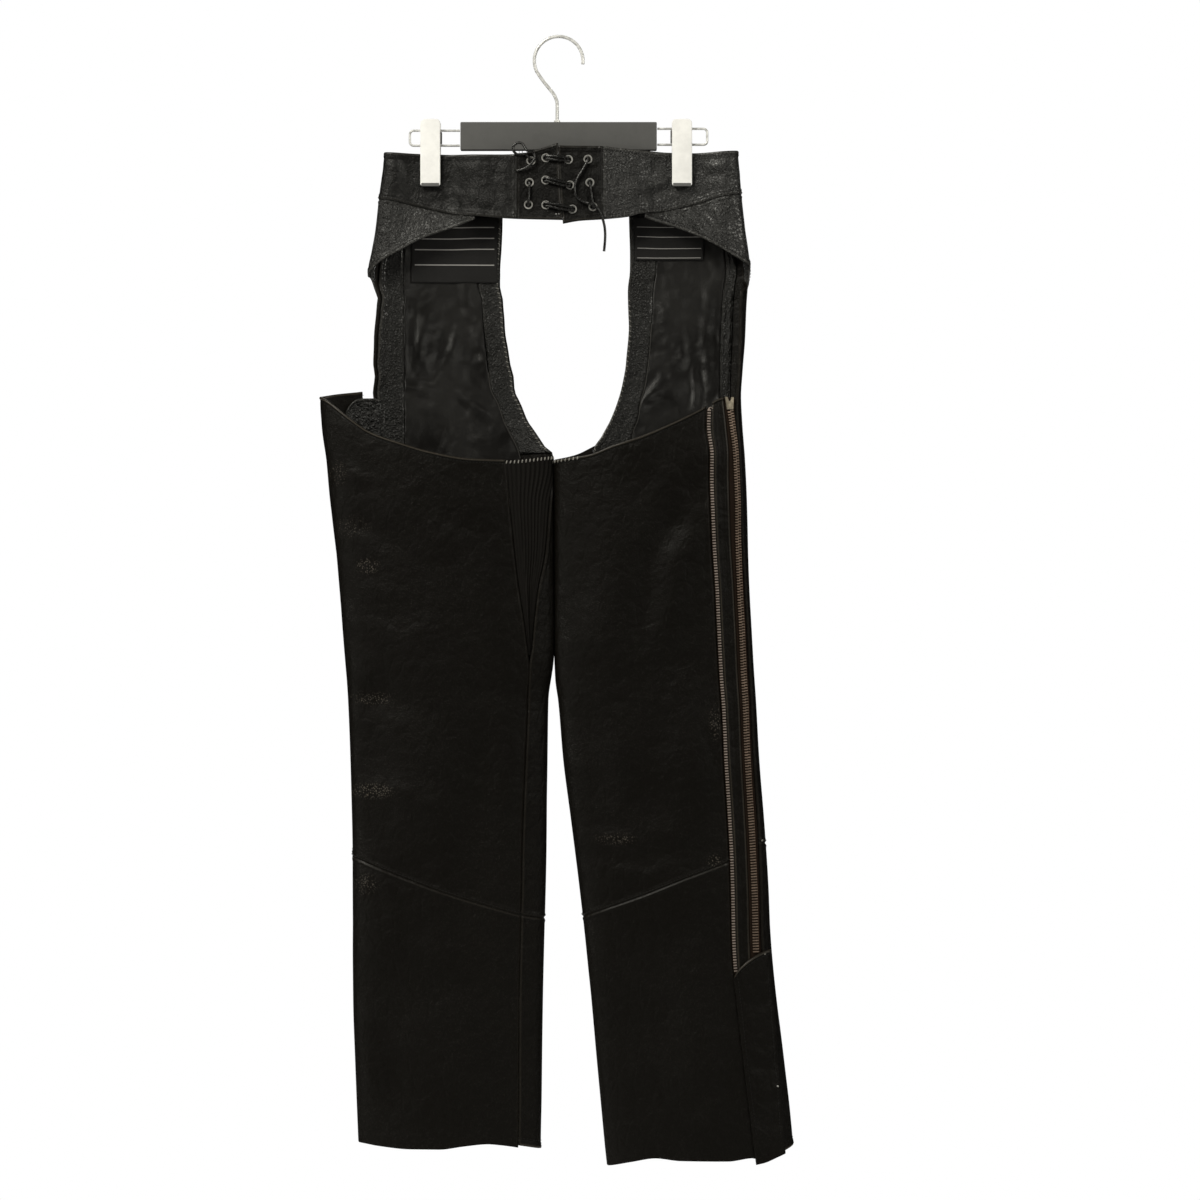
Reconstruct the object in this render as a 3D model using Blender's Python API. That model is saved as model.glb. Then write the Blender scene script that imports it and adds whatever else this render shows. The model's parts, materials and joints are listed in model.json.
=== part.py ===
"""Leather riding chaps on a clip hanger, seen from the back as they hang.

Metres, +Z up, the back of the garment faces -Y. The origin is the inner top of the hanger hook.
Every cloth piece is a thin wall between two edges and two rims on the form of its own side.
"""
import math
from collections import namedtuple

import bmesh
import bpy
import numpy as np
from mathutils import Vector

for item in list(bpy.context.scene.objects):
    bpy.data.objects.remove(item, do_unlink=True)

MM = 0.001

# Thicknesses and gaps in millimetres
GAP = 0.3
BELT_WALL = 2.6
HIDE_WALL = 1.4
LINING_WALL = 1.0
FACING_WALL = 1.2
LABEL_WALL = 1.0
TAPE_WALL = 1.0
GUSSET_WALL = 1.5
RIB_HEIGHT = 1.1
RIB_COUNT = 11
FLAP_WALL = 2.0

# Hanger in millimetres
HOOK_WIRE = 3.5
HOOK_RADIUS = 25.7
HOOK_CENTRE_Z = -23.95
BAR = {"left": -103.4, "right": 103.4, "top": -89.0, "bottom": -118.6, "depth": 11.0}
LOOP_WIRE = 2.5
CLIP = {"width": 21.0, "top": -86.2, "bottom": -156.4, "plate": 3.0, "inner": 6.3, "pad_height": 10.0}
CLIP_CENTRES = {"left": -134.9, "right": 129.9}
LOOPS = {
    "left": {"bar_end": -103.7, "far_end": -155.0, "upper": -97.6, "lower": -113.4},
    "right": {"bar_end": 103.7, "far_end": 157.2, "upper": -95.6, "lower": -112.4},
}
PINCH = {"depth": 3.2, "flat": 17.0, "reach": 50.0, "held_above": -168.0, "free_below": -236.0}

# Lacing at the centre back in millimetres: x and z of each eyelet
EYELET = {"flange": 9.6, "barrel": 6.5, "bore": 5.7, "hole": 7.3, "proud": 0.9, "lip": 0.25}
LACE_WIDTH = 2.2
Spot = namedtuple("Spot", "x z")
EYELETS_LEFT = (
    Spot(x=-28.9, z=-131.2), Spot(x=-13.2, z=-128.1),
    Spot(x=-30.4, z=-154.1), Spot(x=-13.4, z=-151.6),
    Spot(x=-31.5, z=-177.5), Spot(x=-13.2, z=-177.8),
)
EYELETS_RIGHT = (
    Spot(x=10.5, z=-129.9), Spot(x=31.0, z=-129.5),
    Spot(x=12.1, z=-156.8), Spot(x=33.0, z=-154.1),
    Spot(x=14.7, z=-182.2), Spot(x=36.2, z=-179.6),
)

# Form of each side: the fold at the left and right, the middle depth and how far back and front swell
Station = namedtuple("Station", "z left right mid back front blunt")
Edge = namedtuple("Edge", "z face at")
Rim = namedtuple("Rim", "x z")
BACK, FRONT, TURN = "back", "front", "turn"

LEFT_SIDE = (
    Station(z=-107.1, left=-181.7, right=188.5, mid=0, back=14, front=14, blunt=0.5),
    Station(z=-119.7, left=-183.2, right=189.0, mid=0, back=15, front=15, blunt=0.5),
    Station(z=-146.0, left=-186.4, right=191.1, mid=0, back=17, front=16, blunt=0.5),
    Station(z=-170.1, left=-189.5, right=193.2, mid=0, back=18, front=17, blunt=0.5),
    Station(z=-203.7, left=-193.2, right=196.9, mid=-1, back=19, front=17, blunt=0.53),
    Station(z=-224.7, left=-196.9, right=200.0, mid=-1, back=19, front=17, blunt=0.56),
    Station(z=-245.7, left=-200.6, right=202.1, mid=-2, back=19, front=18, blunt=0.6),
    Station(z=-259.4, left=-200.6, right=200.0, mid=-2, back=19, front=18, blunt=0.62),
    Station(z=-277.2, left=-195.8, right=197.9, mid=-3, back=19, front=19, blunt=0.64),
    Station(z=-319.2, left=-204.2, right=171.7, mid=-6, back=20, front=21, blunt=0.68),
    Station(z=-350.7, left=-223.1, right=127.6, mid=-9, back=22, front=23, blunt=0.72),
    Station(z=-379.1, left=-250.4, right=77.2, mid=-12, back=25, front=25, blunt=0.76),
    Station(z=-408.5, left=-248.9, right=22.6, mid=-14, back=27, front=26, blunt=0.8),
    Station(z=-443.1, left=-244.1, right=-7.4, mid=-15, back=28, front=26, blunt=0.82),
    Station(z=-487.2, left=-239.9, right=-7.6, mid=-15, back=28, front=26, blunt=0.84),
    Station(z=-550.2, left=-232.6, right=-8.4, mid=-15, back=27, front=25, blunt=0.85),
    Station(z=-634.2, left=-225.8, right=-9.5, mid=-15, back=26, front=24, blunt=0.85),
    Station(z=-697.2, left=-221.0, right=-10.5, mid=-14, back=25, front=23, blunt=0.85),
    Station(z=-781.2, left=-217.9, right=-11.6, mid=-14, back=25, front=23, blunt=0.85),
    Station(z=-865.2, left=-216.3, right=-12.6, mid=-13, back=24, front=22, blunt=0.85),
    Station(z=-949.2, left=-216.3, right=-14.7, mid=-13, back=23, front=21, blunt=0.85),
    Station(z=-1012.2, left=-215.8, right=-16.1, mid=-12, back=23, front=21, blunt=0.85),
    Station(z=-1075.2, left=-213.7, right=-17.0, mid=-12, back=23, front=21, blunt=0.85),
    Station(z=-1117.2, left=-212.1, right=-17.5, mid=-12, back=23, front=21, blunt=0.85),
    Station(z=-1169.7, left=-210.0, right=-18.4, mid=-12, back=23, front=21, blunt=0.85),
    Station(z=-1196.0, left=-209.0, right=-18.4, mid=-12, back=23, front=21, blunt=0.85),
)
RIGHT_SIDE = (
    Station(z=-107.1, left=-181.7, right=188.5, mid=0, back=14, front=14, blunt=0.5),
    Station(z=-119.7, left=-183.2, right=189.0, mid=0, back=15, front=15, blunt=0.5),
    Station(z=-146.0, left=-186.4, right=191.1, mid=0, back=17, front=16, blunt=0.5),
    Station(z=-170.1, left=-189.5, right=193.2, mid=0, back=18, front=17, blunt=0.5),
    Station(z=-203.7, left=-193.2, right=196.9, mid=-1, back=19, front=17, blunt=0.53),
    Station(z=-224.7, left=-196.9, right=200.0, mid=-1, back=19, front=17, blunt=0.56),
    Station(z=-245.7, left=-200.6, right=202.1, mid=-2, back=19, front=18, blunt=0.6),
    Station(z=-259.4, left=-200.6, right=200.0, mid=-2, back=19, front=18, blunt=0.62),
    Station(z=-277.2, left=-195.8, right=198.2, mid=-3, back=19, front=19, blunt=0.64),
    Station(z=-319.2, left=-176.9, right=196.3, mid=-6, back=20, front=21, blunt=0.68),
    Station(z=-350.7, left=-134.9, right=193.7, mid=-9, back=22, front=23, blunt=0.72),
    Station(z=-379.1, left=-87.7, right=191.9, mid=-12, back=25, front=25, blunt=0.76),
    Station(z=-408.5, left=-35.2, right=193.2, mid=-14, back=27, front=26, blunt=0.8),
    Station(z=-443.1, left=-5.2, right=195.8, mid=-15, back=28, front=26, blunt=0.82),
    Station(z=-487.2, left=-5.1, right=197.9, mid=-15, back=28, front=26, blunt=0.84),
    Station(z=-550.2, left=-4.8, right=199.5, mid=-15, back=27, front=25, blunt=0.85),
    Station(z=-634.2, left=-4.2, right=203.7, mid=-15, back=26, front=24, blunt=0.85),
    Station(z=-676.2, left=-3.4, right=206.3, mid=-14, back=25, front=23, blunt=0.85),
    Station(z=-697.2, left=-0.5, right=207.7, mid=-14, back=25, front=23, blunt=0.85),
    Station(z=-760.2, left=5.0, right=211.1, mid=-14, back=25, front=23, blunt=0.85),
    Station(z=-823.2, left=13.1, right=216.1, mid=-13, back=24, front=22, blunt=0.85),
    Station(z=-886.2, left=21.0, right=220.3, mid=-13, back=24, front=22, blunt=0.85),
    Station(z=-949.2, left=28.1, right=223.4, mid=-13, back=23, front=21, blunt=0.85),
    Station(z=-1012.2, left=34.4, right=229.4, mid=-12, back=23, front=21, blunt=0.85),
    Station(z=-1075.2, left=40.1, right=237.3, mid=-12, back=23, front=21, blunt=0.85),
    Station(z=-1117.2, left=44.1, right=242.3, mid=-12, back=23, front=21, blunt=0.85),
    Station(z=-1169.7, left=49.1, right=247.3, mid=-12, back=23, front=21, blunt=0.85),
    Station(z=-1196.0, left=52.0, right=249.9, mid=-12, back=23, front=21, blunt=0.85),
)
LEFT_FRONT_INNER = (
    Edge(z=-177.5, face=FRONT, at=-59.3),
    Edge(z=-277.2, face=FRONT, at=-58.8),
    Edge(z=-298.2, face=FRONT, at=-57.2),
    Edge(z=-319.2, face=FRONT, at=-55.1),
    Edge(z=-340.2, face=FRONT, at=-51.7),
    Edge(z=-361.2, face=FRONT, at=-47.2),
    Edge(z=-382.2, face=FRONT, at=-41.5),
    Edge(z=-403.2, face=FRONT, at=-32.6),
    Edge(z=-424.2, face=FRONT, at=-18.4),
    Edge(z=-434.7, face=FRONT, at=-10.5),
    Edge(z=-441.0, face=TURN, at=0),
    Edge(z=-451.5, face=TURN, at=0),
    Edge(z=-487.2, face=BACK, at=-8.7),
    Edge(z=-541.8, face=BACK, at=-13.2),
    Edge(z=-582.8, face=BACK, at=-21.5),
    Edge(z=-618.5, face=BACK, at=-25.7),
    Edge(z=-650.0, face=BACK, at=-28.6),
    Edge(z=-657.3, face=BACK, at=-29.9),
    Edge(z=-697.2, face=BACK, at=-31.5),
    Edge(z=-760.2, face=BACK, at=-34.1),
    Edge(z=-865.2, face=BACK, at=-37.7),
    Edge(z=-970.2, face=BACK, at=-39.9),
    Edge(z=-1075.2, face=BACK, at=-41.0),
    Edge(z=-1196.0, face=BACK, at=-41.5),
)
LEFT_BACK_INNER = (
    Edge(z=-424.2, face=BACK, at=-55.7),
    Edge(z=-448.4, face=BACK, at=-54.1),
    Edge(z=-496.7, face=BACK, at=-49.9),
    Edge(z=-568.1, face=BACK, at=-42.5),
    Edge(z=-613.2, face=BACK, at=-35.7),
    Edge(z=-650.0, face=BACK, at=-31.0),
    Edge(z=-657.3, face=BACK, at=-29.9),
    Edge(z=-697.2, face=BACK, at=-31.5),
    Edge(z=-760.2, face=BACK, at=-34.1),
    Edge(z=-865.2, face=BACK, at=-37.7),
    Edge(z=-970.2, face=BACK, at=-39.9),
    Edge(z=-1075.2, face=BACK, at=-41.0),
    Edge(z=-1196.0, face=BACK, at=-41.5),
)
RIGHT_FRONT_INNER = (
    Edge(z=-177.5, face=FRONT, at=74.0),
    Edge(z=-298.2, face=FRONT, at=74.0),
    Edge(z=-319.2, face=FRONT, at=73.3),
    Edge(z=-340.2, face=FRONT, at=71.2),
    Edge(z=-361.2, face=FRONT, at=68.0),
    Edge(z=-382.2, face=FRONT, at=62.5),
    Edge(z=-403.2, face=FRONT, at=54.1),
    Edge(z=-424.2, face=FRONT, at=42.5),
    Edge(z=-432.6, face=FRONT, at=35.7),
    Edge(z=-448.4, face=FRONT, at=34.6),
    Edge(z=-496.7, face=FRONT, at=33.1),
    Edge(z=-550.2, face=FRONT, at=28.9),
    Edge(z=-592.2, face=FRONT, at=23.6),
    Edge(z=-650.0, face=FRONT, at=18.7),
    Edge(z=-657.3, face=FRONT, at=17.3),
    Edge(z=-697.2, face=FRONT, at=20.5),
    Edge(z=-760.2, face=FRONT, at=26.8),
    Edge(z=-865.2, face=FRONT, at=40.4),
    Edge(z=-970.2, face=FRONT, at=52.5),
    Edge(z=-1075.2, face=FRONT, at=62.0),
    Edge(z=-1196.0, face=FRONT, at=73.0),
)
RIGHT_BACK_INNER = (
    Edge(z=-424.2, face=TURN, at=-180),
    Edge(z=-455.7, face=TURN, at=-180),
    Edge(z=-497.7, face=FRONT, at=-3.5),
    Edge(z=-541.8, face=FRONT, at=-0.5),
    Edge(z=-582.8, face=FRONT, at=7.9),
    Edge(z=-618.5, face=FRONT, at=12.1),
    Edge(z=-650.0, face=FRONT, at=16.0),
    Edge(z=-657.3, face=FRONT, at=17.3),
    Edge(z=-697.2, face=FRONT, at=20.5),
    Edge(z=-760.2, face=FRONT, at=26.8),
    Edge(z=-865.2, face=FRONT, at=40.4),
    Edge(z=-970.2, face=FRONT, at=52.5),
    Edge(z=-1075.2, face=FRONT, at=62.0),
    Edge(z=-1196.0, face=FRONT, at=73.0),
)
LEFT_FRONT_OUTER = (
    Edge(z=-172.2, face=TURN, at=-166),
    Edge(z=-268.8, face=TURN, at=-166),
    Edge(z=-281.4, face=FRONT, at=-192.4),
    Edge(z=-298.2, face=FRONT, at=-193.7),
    Edge(z=-319.2, face=FRONT, at=-195.3),
    Edge(z=-340.2, face=FRONT, at=-196.1),
    Edge(z=-379.1, face=FRONT, at=-195.8),
    Edge(z=-413.7, face=FRONT, at=-195.3),
    Edge(z=-592.2, face=FRONT, at=-193.7),
    Edge(z=-802.2, face=FRONT, at=-189.5),
    Edge(z=-959.7, face=FRONT, at=-183.2),
    Edge(z=-1196.0, face=FRONT, at=-174.8),
)
RIGHT_FRONT_OUTER = (
    Edge(z=-172.2, face=TURN, at=-14),
    Edge(z=-255.2, face=TURN, at=-14),
    Edge(z=-266.7, face=TURN, at=0),
    Edge(z=-278.2, face=BACK, at=190.1),
    Edge(z=-319.2, face=BACK, at=189.5),
    Edge(z=-361.2, face=BACK, at=188.0),
    Edge(z=-379.1, face=BACK, at=186.4),
    Edge(z=-393.8, face=BACK, at=185.6),
    Edge(z=-487.2, face=BACK, at=190.6),
    Edge(z=-592.2, face=BACK, at=196.1),
    Edge(z=-697.2, face=BACK, at=201.7),
    Edge(z=-832.7, face=BACK, at=209.5),
    Edge(z=-891.5, face=BACK, at=211.6),
    Edge(z=-959.7, face=BACK, at=213.2),
    Edge(z=-996.5, face=BACK, at=216.8),
    Edge(z=-1075.2, face=BACK, at=222.1),
    Edge(z=-1180.2, face=BACK, at=230.5),
    Edge(z=-1196.0, face=BACK, at=231.5),
)
RIGHT_STRIP_OUTER = (
    Edge(z=-371.7, face=BACK, at=173.1),
    Edge(z=-393.8, face=BACK, at=173.8),
    Edge(z=-487.2, face=BACK, at=178.5),
    Edge(z=-592.2, face=BACK, at=184.0),
    Edge(z=-697.2, face=BACK, at=189.5),
    Edge(z=-832.7, face=BACK, at=196.3),
    Edge(z=-959.7, face=BACK, at=200.6),
    Edge(z=-976.5, face=BACK, at=201.4),
    Edge(z=-996.5, face=BACK, at=208.4),
    Edge(z=-1075.2, face=BACK, at=215.8),
    Edge(z=-1180.2, face=BACK, at=224.2),
    Edge(z=-1196.0, face=BACK, at=225.2),
)
RIGHT_STRIP_INNER = (
    Edge(z=-371.7, face=BACK, at=162.9),
    Edge(z=-424.2, face=BACK, at=160.8),
    Edge(z=-487.2, face=BACK, at=163.3),
    Edge(z=-592.2, face=BACK, at=168.7),
    Edge(z=-697.2, face=BACK, at=174.8),
    Edge(z=-832.7, face=BACK, at=182.4),
    Edge(z=-959.7, face=BACK, at=186.6),
    Edge(z=-978.6, face=BACK, at=187.8),
    Edge(z=-1001.7, face=BACK, at=191.6),
    Edge(z=-1075.2, face=BACK, at=203.2),
    Edge(z=-1180.2, face=BACK, at=215.8),
    Edge(z=-1196.0, face=BACK, at=216.8),
)
RIGHT_BACK_OUTER = (
    Edge(z=-371.7, face=BACK, at=157.6),
    Edge(z=-424.2, face=BACK, at=155.7),
    Edge(z=-487.2, face=BACK, at=158.2),
    Edge(z=-592.2, face=BACK, at=163.7),
    Edge(z=-697.2, face=BACK, at=169.8),
    Edge(z=-832.7, face=BACK, at=177.3),
    Edge(z=-959.7, face=BACK, at=181.5),
    Edge(z=-978.6, face=BACK, at=182.8),
    Edge(z=-1001.7, face=BACK, at=191.6),
    Edge(z=-1075.2, face=BACK, at=203.2),
    Edge(z=-1180.2, face=BACK, at=215.8),
    Edge(z=-1196.0, face=BACK, at=216.8),
)
LEFT_RIM_BACK = (
    Rim(x=-271.4, z=-369.6),
    Rim(x=-250.4, z=-378.5),
    Rim(x=-242.0, z=-383.2),
    Rim(x=-234.7, z=-388.5),
    Rim(x=-218.9, z=-401.1),
    Rim(x=-197.9, z=-415.8),
    Rim(x=-166.4, z=-427.4),
    Rim(x=-134.9, z=-436.8),
    Rim(x=-92.9, z=-444.2),
    Rim(x=-55.1, z=-445.7),
)
LEFT_RIM_FRONT = (
    Rim(x=-271.4, z=-384.3),
    Rim(x=-250.4, z=-378.5),
    Rim(x=-234.7, z=-375.4),
    Rim(x=-211.6, z=-372.8),
)
LEFT_GUSSET_TOP = (
    Rim(x=-61.4, z=-446.8),
    Rim(x=-54.1, z=-446.8),
    Rim(x=-7.4, z=-442.1),
)
RIGHT_RIM_BACK = (
    Rim(x=-14.2, z=-449.4),
    Rim(x=-5.2, z=-446.2),
    Rim(x=33.1, z=-440.0),
    Rim(x=54.1, z=-431.6),
    Rim(x=85.6, z=-421.1),
    Rim(x=127.6, z=-403.2),
    Rim(x=148.6, z=-392.7),
    Rim(x=171.7, z=-380.1),
    Rim(x=184.3, z=-378.0),
    Rim(x=195.8, z=-378.0),
)
RIGHT_GUSSET_TOP = (
    Rim(x=-5.2, z=-444.7),
    Rim(x=17.3, z=-439.4),
    Rim(x=35.2, z=-431.0),
    Rim(x=43.6, z=-426.3),
)
BELT_TOP_LEFT = (
    Rim(x=-197.9, z=-120.2),
    Rim(x=-183.2, z=-120.8),
    Rim(x=-134.9, z=-122.9),
    Rim(x=-61.4, z=-124.4),
    Rim(x=-42.5, z=-123.9),
    Rim(x=-24.7, z=-119.7),
    Rim(x=-1.1, z=-112.4),
)
BELT_TOP_RIGHT = (
    Rim(x=-1.1, z=-115.0),
    Rim(x=43.6, z=-115.5),
    Rim(x=64.6, z=-117.6),
    Rim(x=106.6, z=-120.8),
    Rim(x=138.1, z=-121.8),
    Rim(x=188.5, z=-119.2),
    Rim(x=201.1, z=-118.7),
)
BELT_BOTTOM_LEFT = (
    Rim(x=-208.4, z=-170.1),
    Rim(x=-189.5, z=-170.1),
    Rim(x=-176.9, z=-171.7),
    Rim(x=-145.4, z=-178.5),
    Rim(x=-119.2, z=-184.8),
    Rim(x=-82.4, z=-189.5),
    Rim(x=-42.5, z=-192.2),
    Rim(x=-1.1, z=-193.2),
)
BELT_BOTTOM_RIGHT = (
    Rim(x=-1.1, z=-198.5),
    Rim(x=6.8, z=-196.9),
    Rim(x=22.6, z=-194.2),
    Rim(x=45.7, z=-192.7),
    Rim(x=71.9, z=-190.1),
    Rim(x=86.6, z=-186.4),
    Rim(x=106.6, z=-183.8),
    Rim(x=127.6, z=-179.6),
    Rim(x=148.6, z=-174.3),
    Rim(x=169.6, z=-168.0),
    Rim(x=193.7, z=-164.8),
    Rim(x=207.4, z=-164.8),
)
LEFT_YOKE_EDGE = (
    Rim(x=-208.4, z=-252.0),
    Rim(x=-200.0, z=-247.8),
    Rim(x=-189.5, z=-237.8),
    Rim(x=-168.5, z=-225.8),
    Rim(x=-145.4, z=-213.2),
    Rim(x=-108.7, z=-200.0),
    Rim(x=-85.6, z=-191.7),
)
LEFT_YOKE_TURN = (
    Rim(x=-208.4, z=-252.0),
    Rim(x=-200.0, z=-252.0),
    Rim(x=-191.6, z=-273.0),
)
RIGHT_YOKE_EDGE = (
    Rim(x=85.6, z=-189.0),
    Rim(x=127.6, z=-202.1),
    Rim(x=148.6, z=-210.5),
    Rim(x=169.6, z=-221.6),
    Rim(x=185.3, z=-231.0),
    Rim(x=201.1, z=-239.4),
    Rim(x=211.6, z=-243.6),
)
RIGHT_YOKE_TURN = (
    Rim(x=194.8, z=-255.2),
    Rim(x=203.2, z=-245.7),
    Rim(x=211.6, z=-243.6),
)
LEFT_KNEE_BACK = (
    Rim(x=-229.4, z=-855.8),
    Rim(x=-216.8, z=-861.0),
    Rim(x=-166.4, z=-881.0),
    Rim(x=-113.9, z=-899.9),
    Rim(x=-61.4, z=-915.6),
    Rim(x=-38.3, z=-921.9),
    Rim(x=-12.1, z=-926.1),
)
LEFT_KNEE_FRONT = (
    Rim(x=-229.4, z=-855.8),
    Rim(x=-212.6, z=-854.7),
    Rim(x=-166.4, z=-873.6),
    Rim(x=-113.9, z=-891.5),
    Rim(x=-61.4, z=-912.5),
    Rim(x=-12.1, z=-926.1),
)
RIGHT_KNEE_BACK = (
    Rim(x=17.3, z=-926.6),
    Rim(x=33.1, z=-920.9),
    Rim(x=85.6, z=-902.0),
    Rim(x=127.6, z=-885.2),
    Rim(x=174.8, z=-867.3),
    Rim(x=196.9, z=-858.9),
)
RIGHT_KNEE_WRAP = (
    Rim(x=190.6, z=-842.1),
    Rim(x=220.0, z=-846.3),
)
RIGHT_KNEE_FRONT = (
    Rim(x=17.3, z=-926.6),
    Rim(x=43.6, z=-921.9),
    Rim(x=85.6, z=-905.1),
    Rim(x=138.1, z=-886.2),
    Rim(x=190.6, z=-861.0),
    Rim(x=220.0, z=-846.3),
)
LEFT_HEM = (
    Rim(x=-229.4, z=-1161.3),
    Rim(x=-210.5, z=-1161.3),
    Rim(x=-187.4, z=-1163.9),
    Rim(x=-153.8, z=-1166.5),
    Rim(x=-124.4, z=-1166.5),
    Rim(x=-99.2, z=-1163.4),
    Rim(x=-74.0, z=-1161.3),
    Rim(x=-61.4, z=-1162.4),
    Rim(x=-36.2, z=-1166.5),
    Rim(x=-18.4, z=-1170.2),
)
RIGHT_HEM = (
    Rim(x=33.1, z=-1188.6),
    Rim(x=49.9, z=-1186.0),
    Rim(x=77.2, z=-1180.2),
    Rim(x=102.4, z=-1176.0),
    Rim(x=127.6, z=-1178.6),
    Rim(x=178.0, z=-1179.2),
    Rim(x=203.2, z=-1176.0),
    Rim(x=215.8, z=-1179.2),
    Rim(x=228.4, z=-1175.0),
    Rim(x=246.2, z=-1166.5),
    Rim(x=253.6, z=-1161.3),
)
FLAP_TOP = (
    Rim(x=183.2, z=-987.0),
    Rim(x=186.4, z=-980.7),
    Rim(x=191.6, z=-974.9),
    Rim(x=200.0, z=-968.1),
    Rim(x=209.5, z=-962.3),
    Rim(x=221.0, z=-958.1),
    Rim(x=227.3, z=-956.6),
)
FLAP_BOTTOM = (
    Rim(x=190.6, z=-1186.5),
    Rim(x=206.3, z=-1182.8),
    Rim(x=215.8, z=-1180.7),
    Rim(x=228.4, z=-1175.5),
    Rim(x=246.2, z=-1167.6),
    Rim(x=253.6, z=-1163.4),
)
FLAP_INNER = (
    Edge(z=-949.2, face=BACK, at=181.1),
    Edge(z=-986.0, face=BACK, at=183.2),
    Edge(z=-1012.2, face=BACK, at=186.4),
    Edge(z=-1096.2, face=BACK, at=195.8),
    Edge(z=-1180.2, face=BACK, at=206.3),
    Edge(z=-1196.0, face=BACK, at=208.4),
)
FLAP_OUTER = (
    Edge(z=-949.2, face=BACK, at=220.3),
    Edge(z=-975.5, face=BACK, at=221.4),
    Edge(z=-1012.2, face=BACK, at=224.4),
    Edge(z=-1075.2, face=BACK, at=229.7),
    Edge(z=-1148.7, face=BACK, at=235.2),
    Edge(z=-1196.0, face=BACK, at=238.9),
)
FRONT_BELT_TOP = (
    Rim(x=-197.9, z=-121.3),
    Rim(x=-183.2, z=-121.8),
    Rim(x=-134.9, z=-124.4),
    Rim(x=-42.5, z=-126.0),
    Rim(x=43.6, z=-126.0),
    Rim(x=106.6, z=-122.9),
    Rim(x=138.1, z=-123.4),
    Rim(x=188.5, z=-120.8),
    Rim(x=201.1, z=-120.8),
)
FRONT_BELT_BOTTOM = (
    Rim(x=-208.4, z=-170.1),
    Rim(x=-189.5, z=-170.6),
    Rim(x=-166.4, z=-175.3),
    Rim(x=-124.4, z=-181.7),
    Rim(x=-61.4, z=-184.3),
    Rim(x=-1.1, z=-184.8),
    Rim(x=59.3, z=-184.3),
    Rim(x=127.6, z=-179.6),
    Rim(x=169.6, z=-171.2),
    Rim(x=193.7, z=-165.4),
    Rim(x=207.4, z=-165.2),
)
TAB_EDGE_LEFT = (
    Edge(z=-98.7, face=BACK, at=-1.3),
    Edge(z=-203.7, face=BACK, at=-1.8),
)
TAB_EDGE_RIGHT = (
    Edge(z=-98.7, face=BACK, at=-0.1),
    Edge(z=-140.7, face=BACK, at=0.5),
    Edge(z=-203.7, face=BACK, at=5.2),
)
RIGHT_CHAIN = (
    Edge(z=-371.7, face=BACK, at=178.4),
    Edge(z=-393.8, face=BACK, at=179.6),
    Edge(z=-613.2, face=BACK, at=191.2),
    Edge(z=-832.7, face=BACK, at=202.3),
    Edge(z=-959.7, face=BACK, at=206.6),
    Edge(z=-991.2, face=BACK, at=207.6),
)
LEFT_FACING_OUT = (
    Edge(z=-177.5, face=FRONT, at=-164.3),
    Edge(z=-277.2, face=FRONT, at=-164.3),
    Edge(z=-413.7, face=FRONT, at=-163.3),
    Edge(z=-592.2, face=FRONT, at=-162.2),
    Edge(z=-854.7, face=FRONT, at=-160.1),
)
LEFT_PIPING = (
    Edge(z=-177.5, face=FRONT, at=-82.4),
    Edge(z=-277.2, face=FRONT, at=-81.4),
    Edge(z=-319.2, face=FRONT, at=-78.2),
    Edge(z=-350.7, face=FRONT, at=-74.5),
    Edge(z=-382.2, face=FRONT, at=-65.6),
    Edge(z=-413.7, face=FRONT, at=-53.0),
    Edge(z=-441.0, face=FRONT, at=-40.4),
    Edge(z=-461.0, face=FRONT, at=-36.2),
    Edge(z=-550.2, face=FRONT, at=-38.3),
    Edge(z=-697.2, face=FRONT, at=-44.6),
    Edge(z=-854.7, face=FRONT, at=-48.8),
)
RIGHT_PIPING = (
    Edge(z=-177.5, face=FRONT, at=101.3),
    Edge(z=-277.2, face=FRONT, at=99.2),
    Edge(z=-319.2, face=FRONT, at=97.1),
    Edge(z=-361.2, face=FRONT, at=92.4),
    Edge(z=-392.7, face=FRONT, at=85.6),
    Edge(z=-424.2, face=FRONT, at=78.2),
    Edge(z=-461.0, face=FRONT, at=73.0),
    Edge(z=-550.2, face=FRONT, at=77.2),
    Edge(z=-697.2, face=FRONT, at=85.6),
    Edge(z=-854.7, face=FRONT, at=98.2),
)
RIGHT_FACING_IN = (
    Edge(z=-177.5, face=FRONT, at=171.7),
    Edge(z=-382.2, face=FRONT, at=171.2),
    Edge(z=-466.2, face=FRONT, at=171.7),
    Edge(z=-854.7, face=FRONT, at=190.6),
)
RIGHT_FACING_OUT = (
    Edge(z=-177.5, face=FRONT, at=181.0),
    Edge(z=-382.2, face=FRONT, at=182.0),
    Edge(z=-466.2, face=FRONT, at=184.0),
)
GUARD_TOP = (
    Rim(x=-229.4, z=-399.0),
    Rim(x=-225.2, z=-394.3),
    Rim(x=-221.0, z=-386.9),
    Rim(x=-216.8, z=-382.7),
    Rim(x=-211.6, z=-380.1),
    Rim(x=-196.9, z=-379.6),
    Rim(x=-188.5, z=-380.6),
)

ROW_STEP = 0.8
LAYER_GAP = 0.55
TAB_PROUD = 0.0
TAB_SEAMS = {"left": -43.6, "right": 46.7}
YOKE_TIPS = {"left": -87.7, "right": 90.8}
CLOSING = {"left": -40.0, "right": 44.0, "bottom": -178.0, "top": -130.0, "snap_x": 24.0,
           "snap_z": -154.0, "snap_radius": 6.5}
GUSSET_TIP = -650.0

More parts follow.
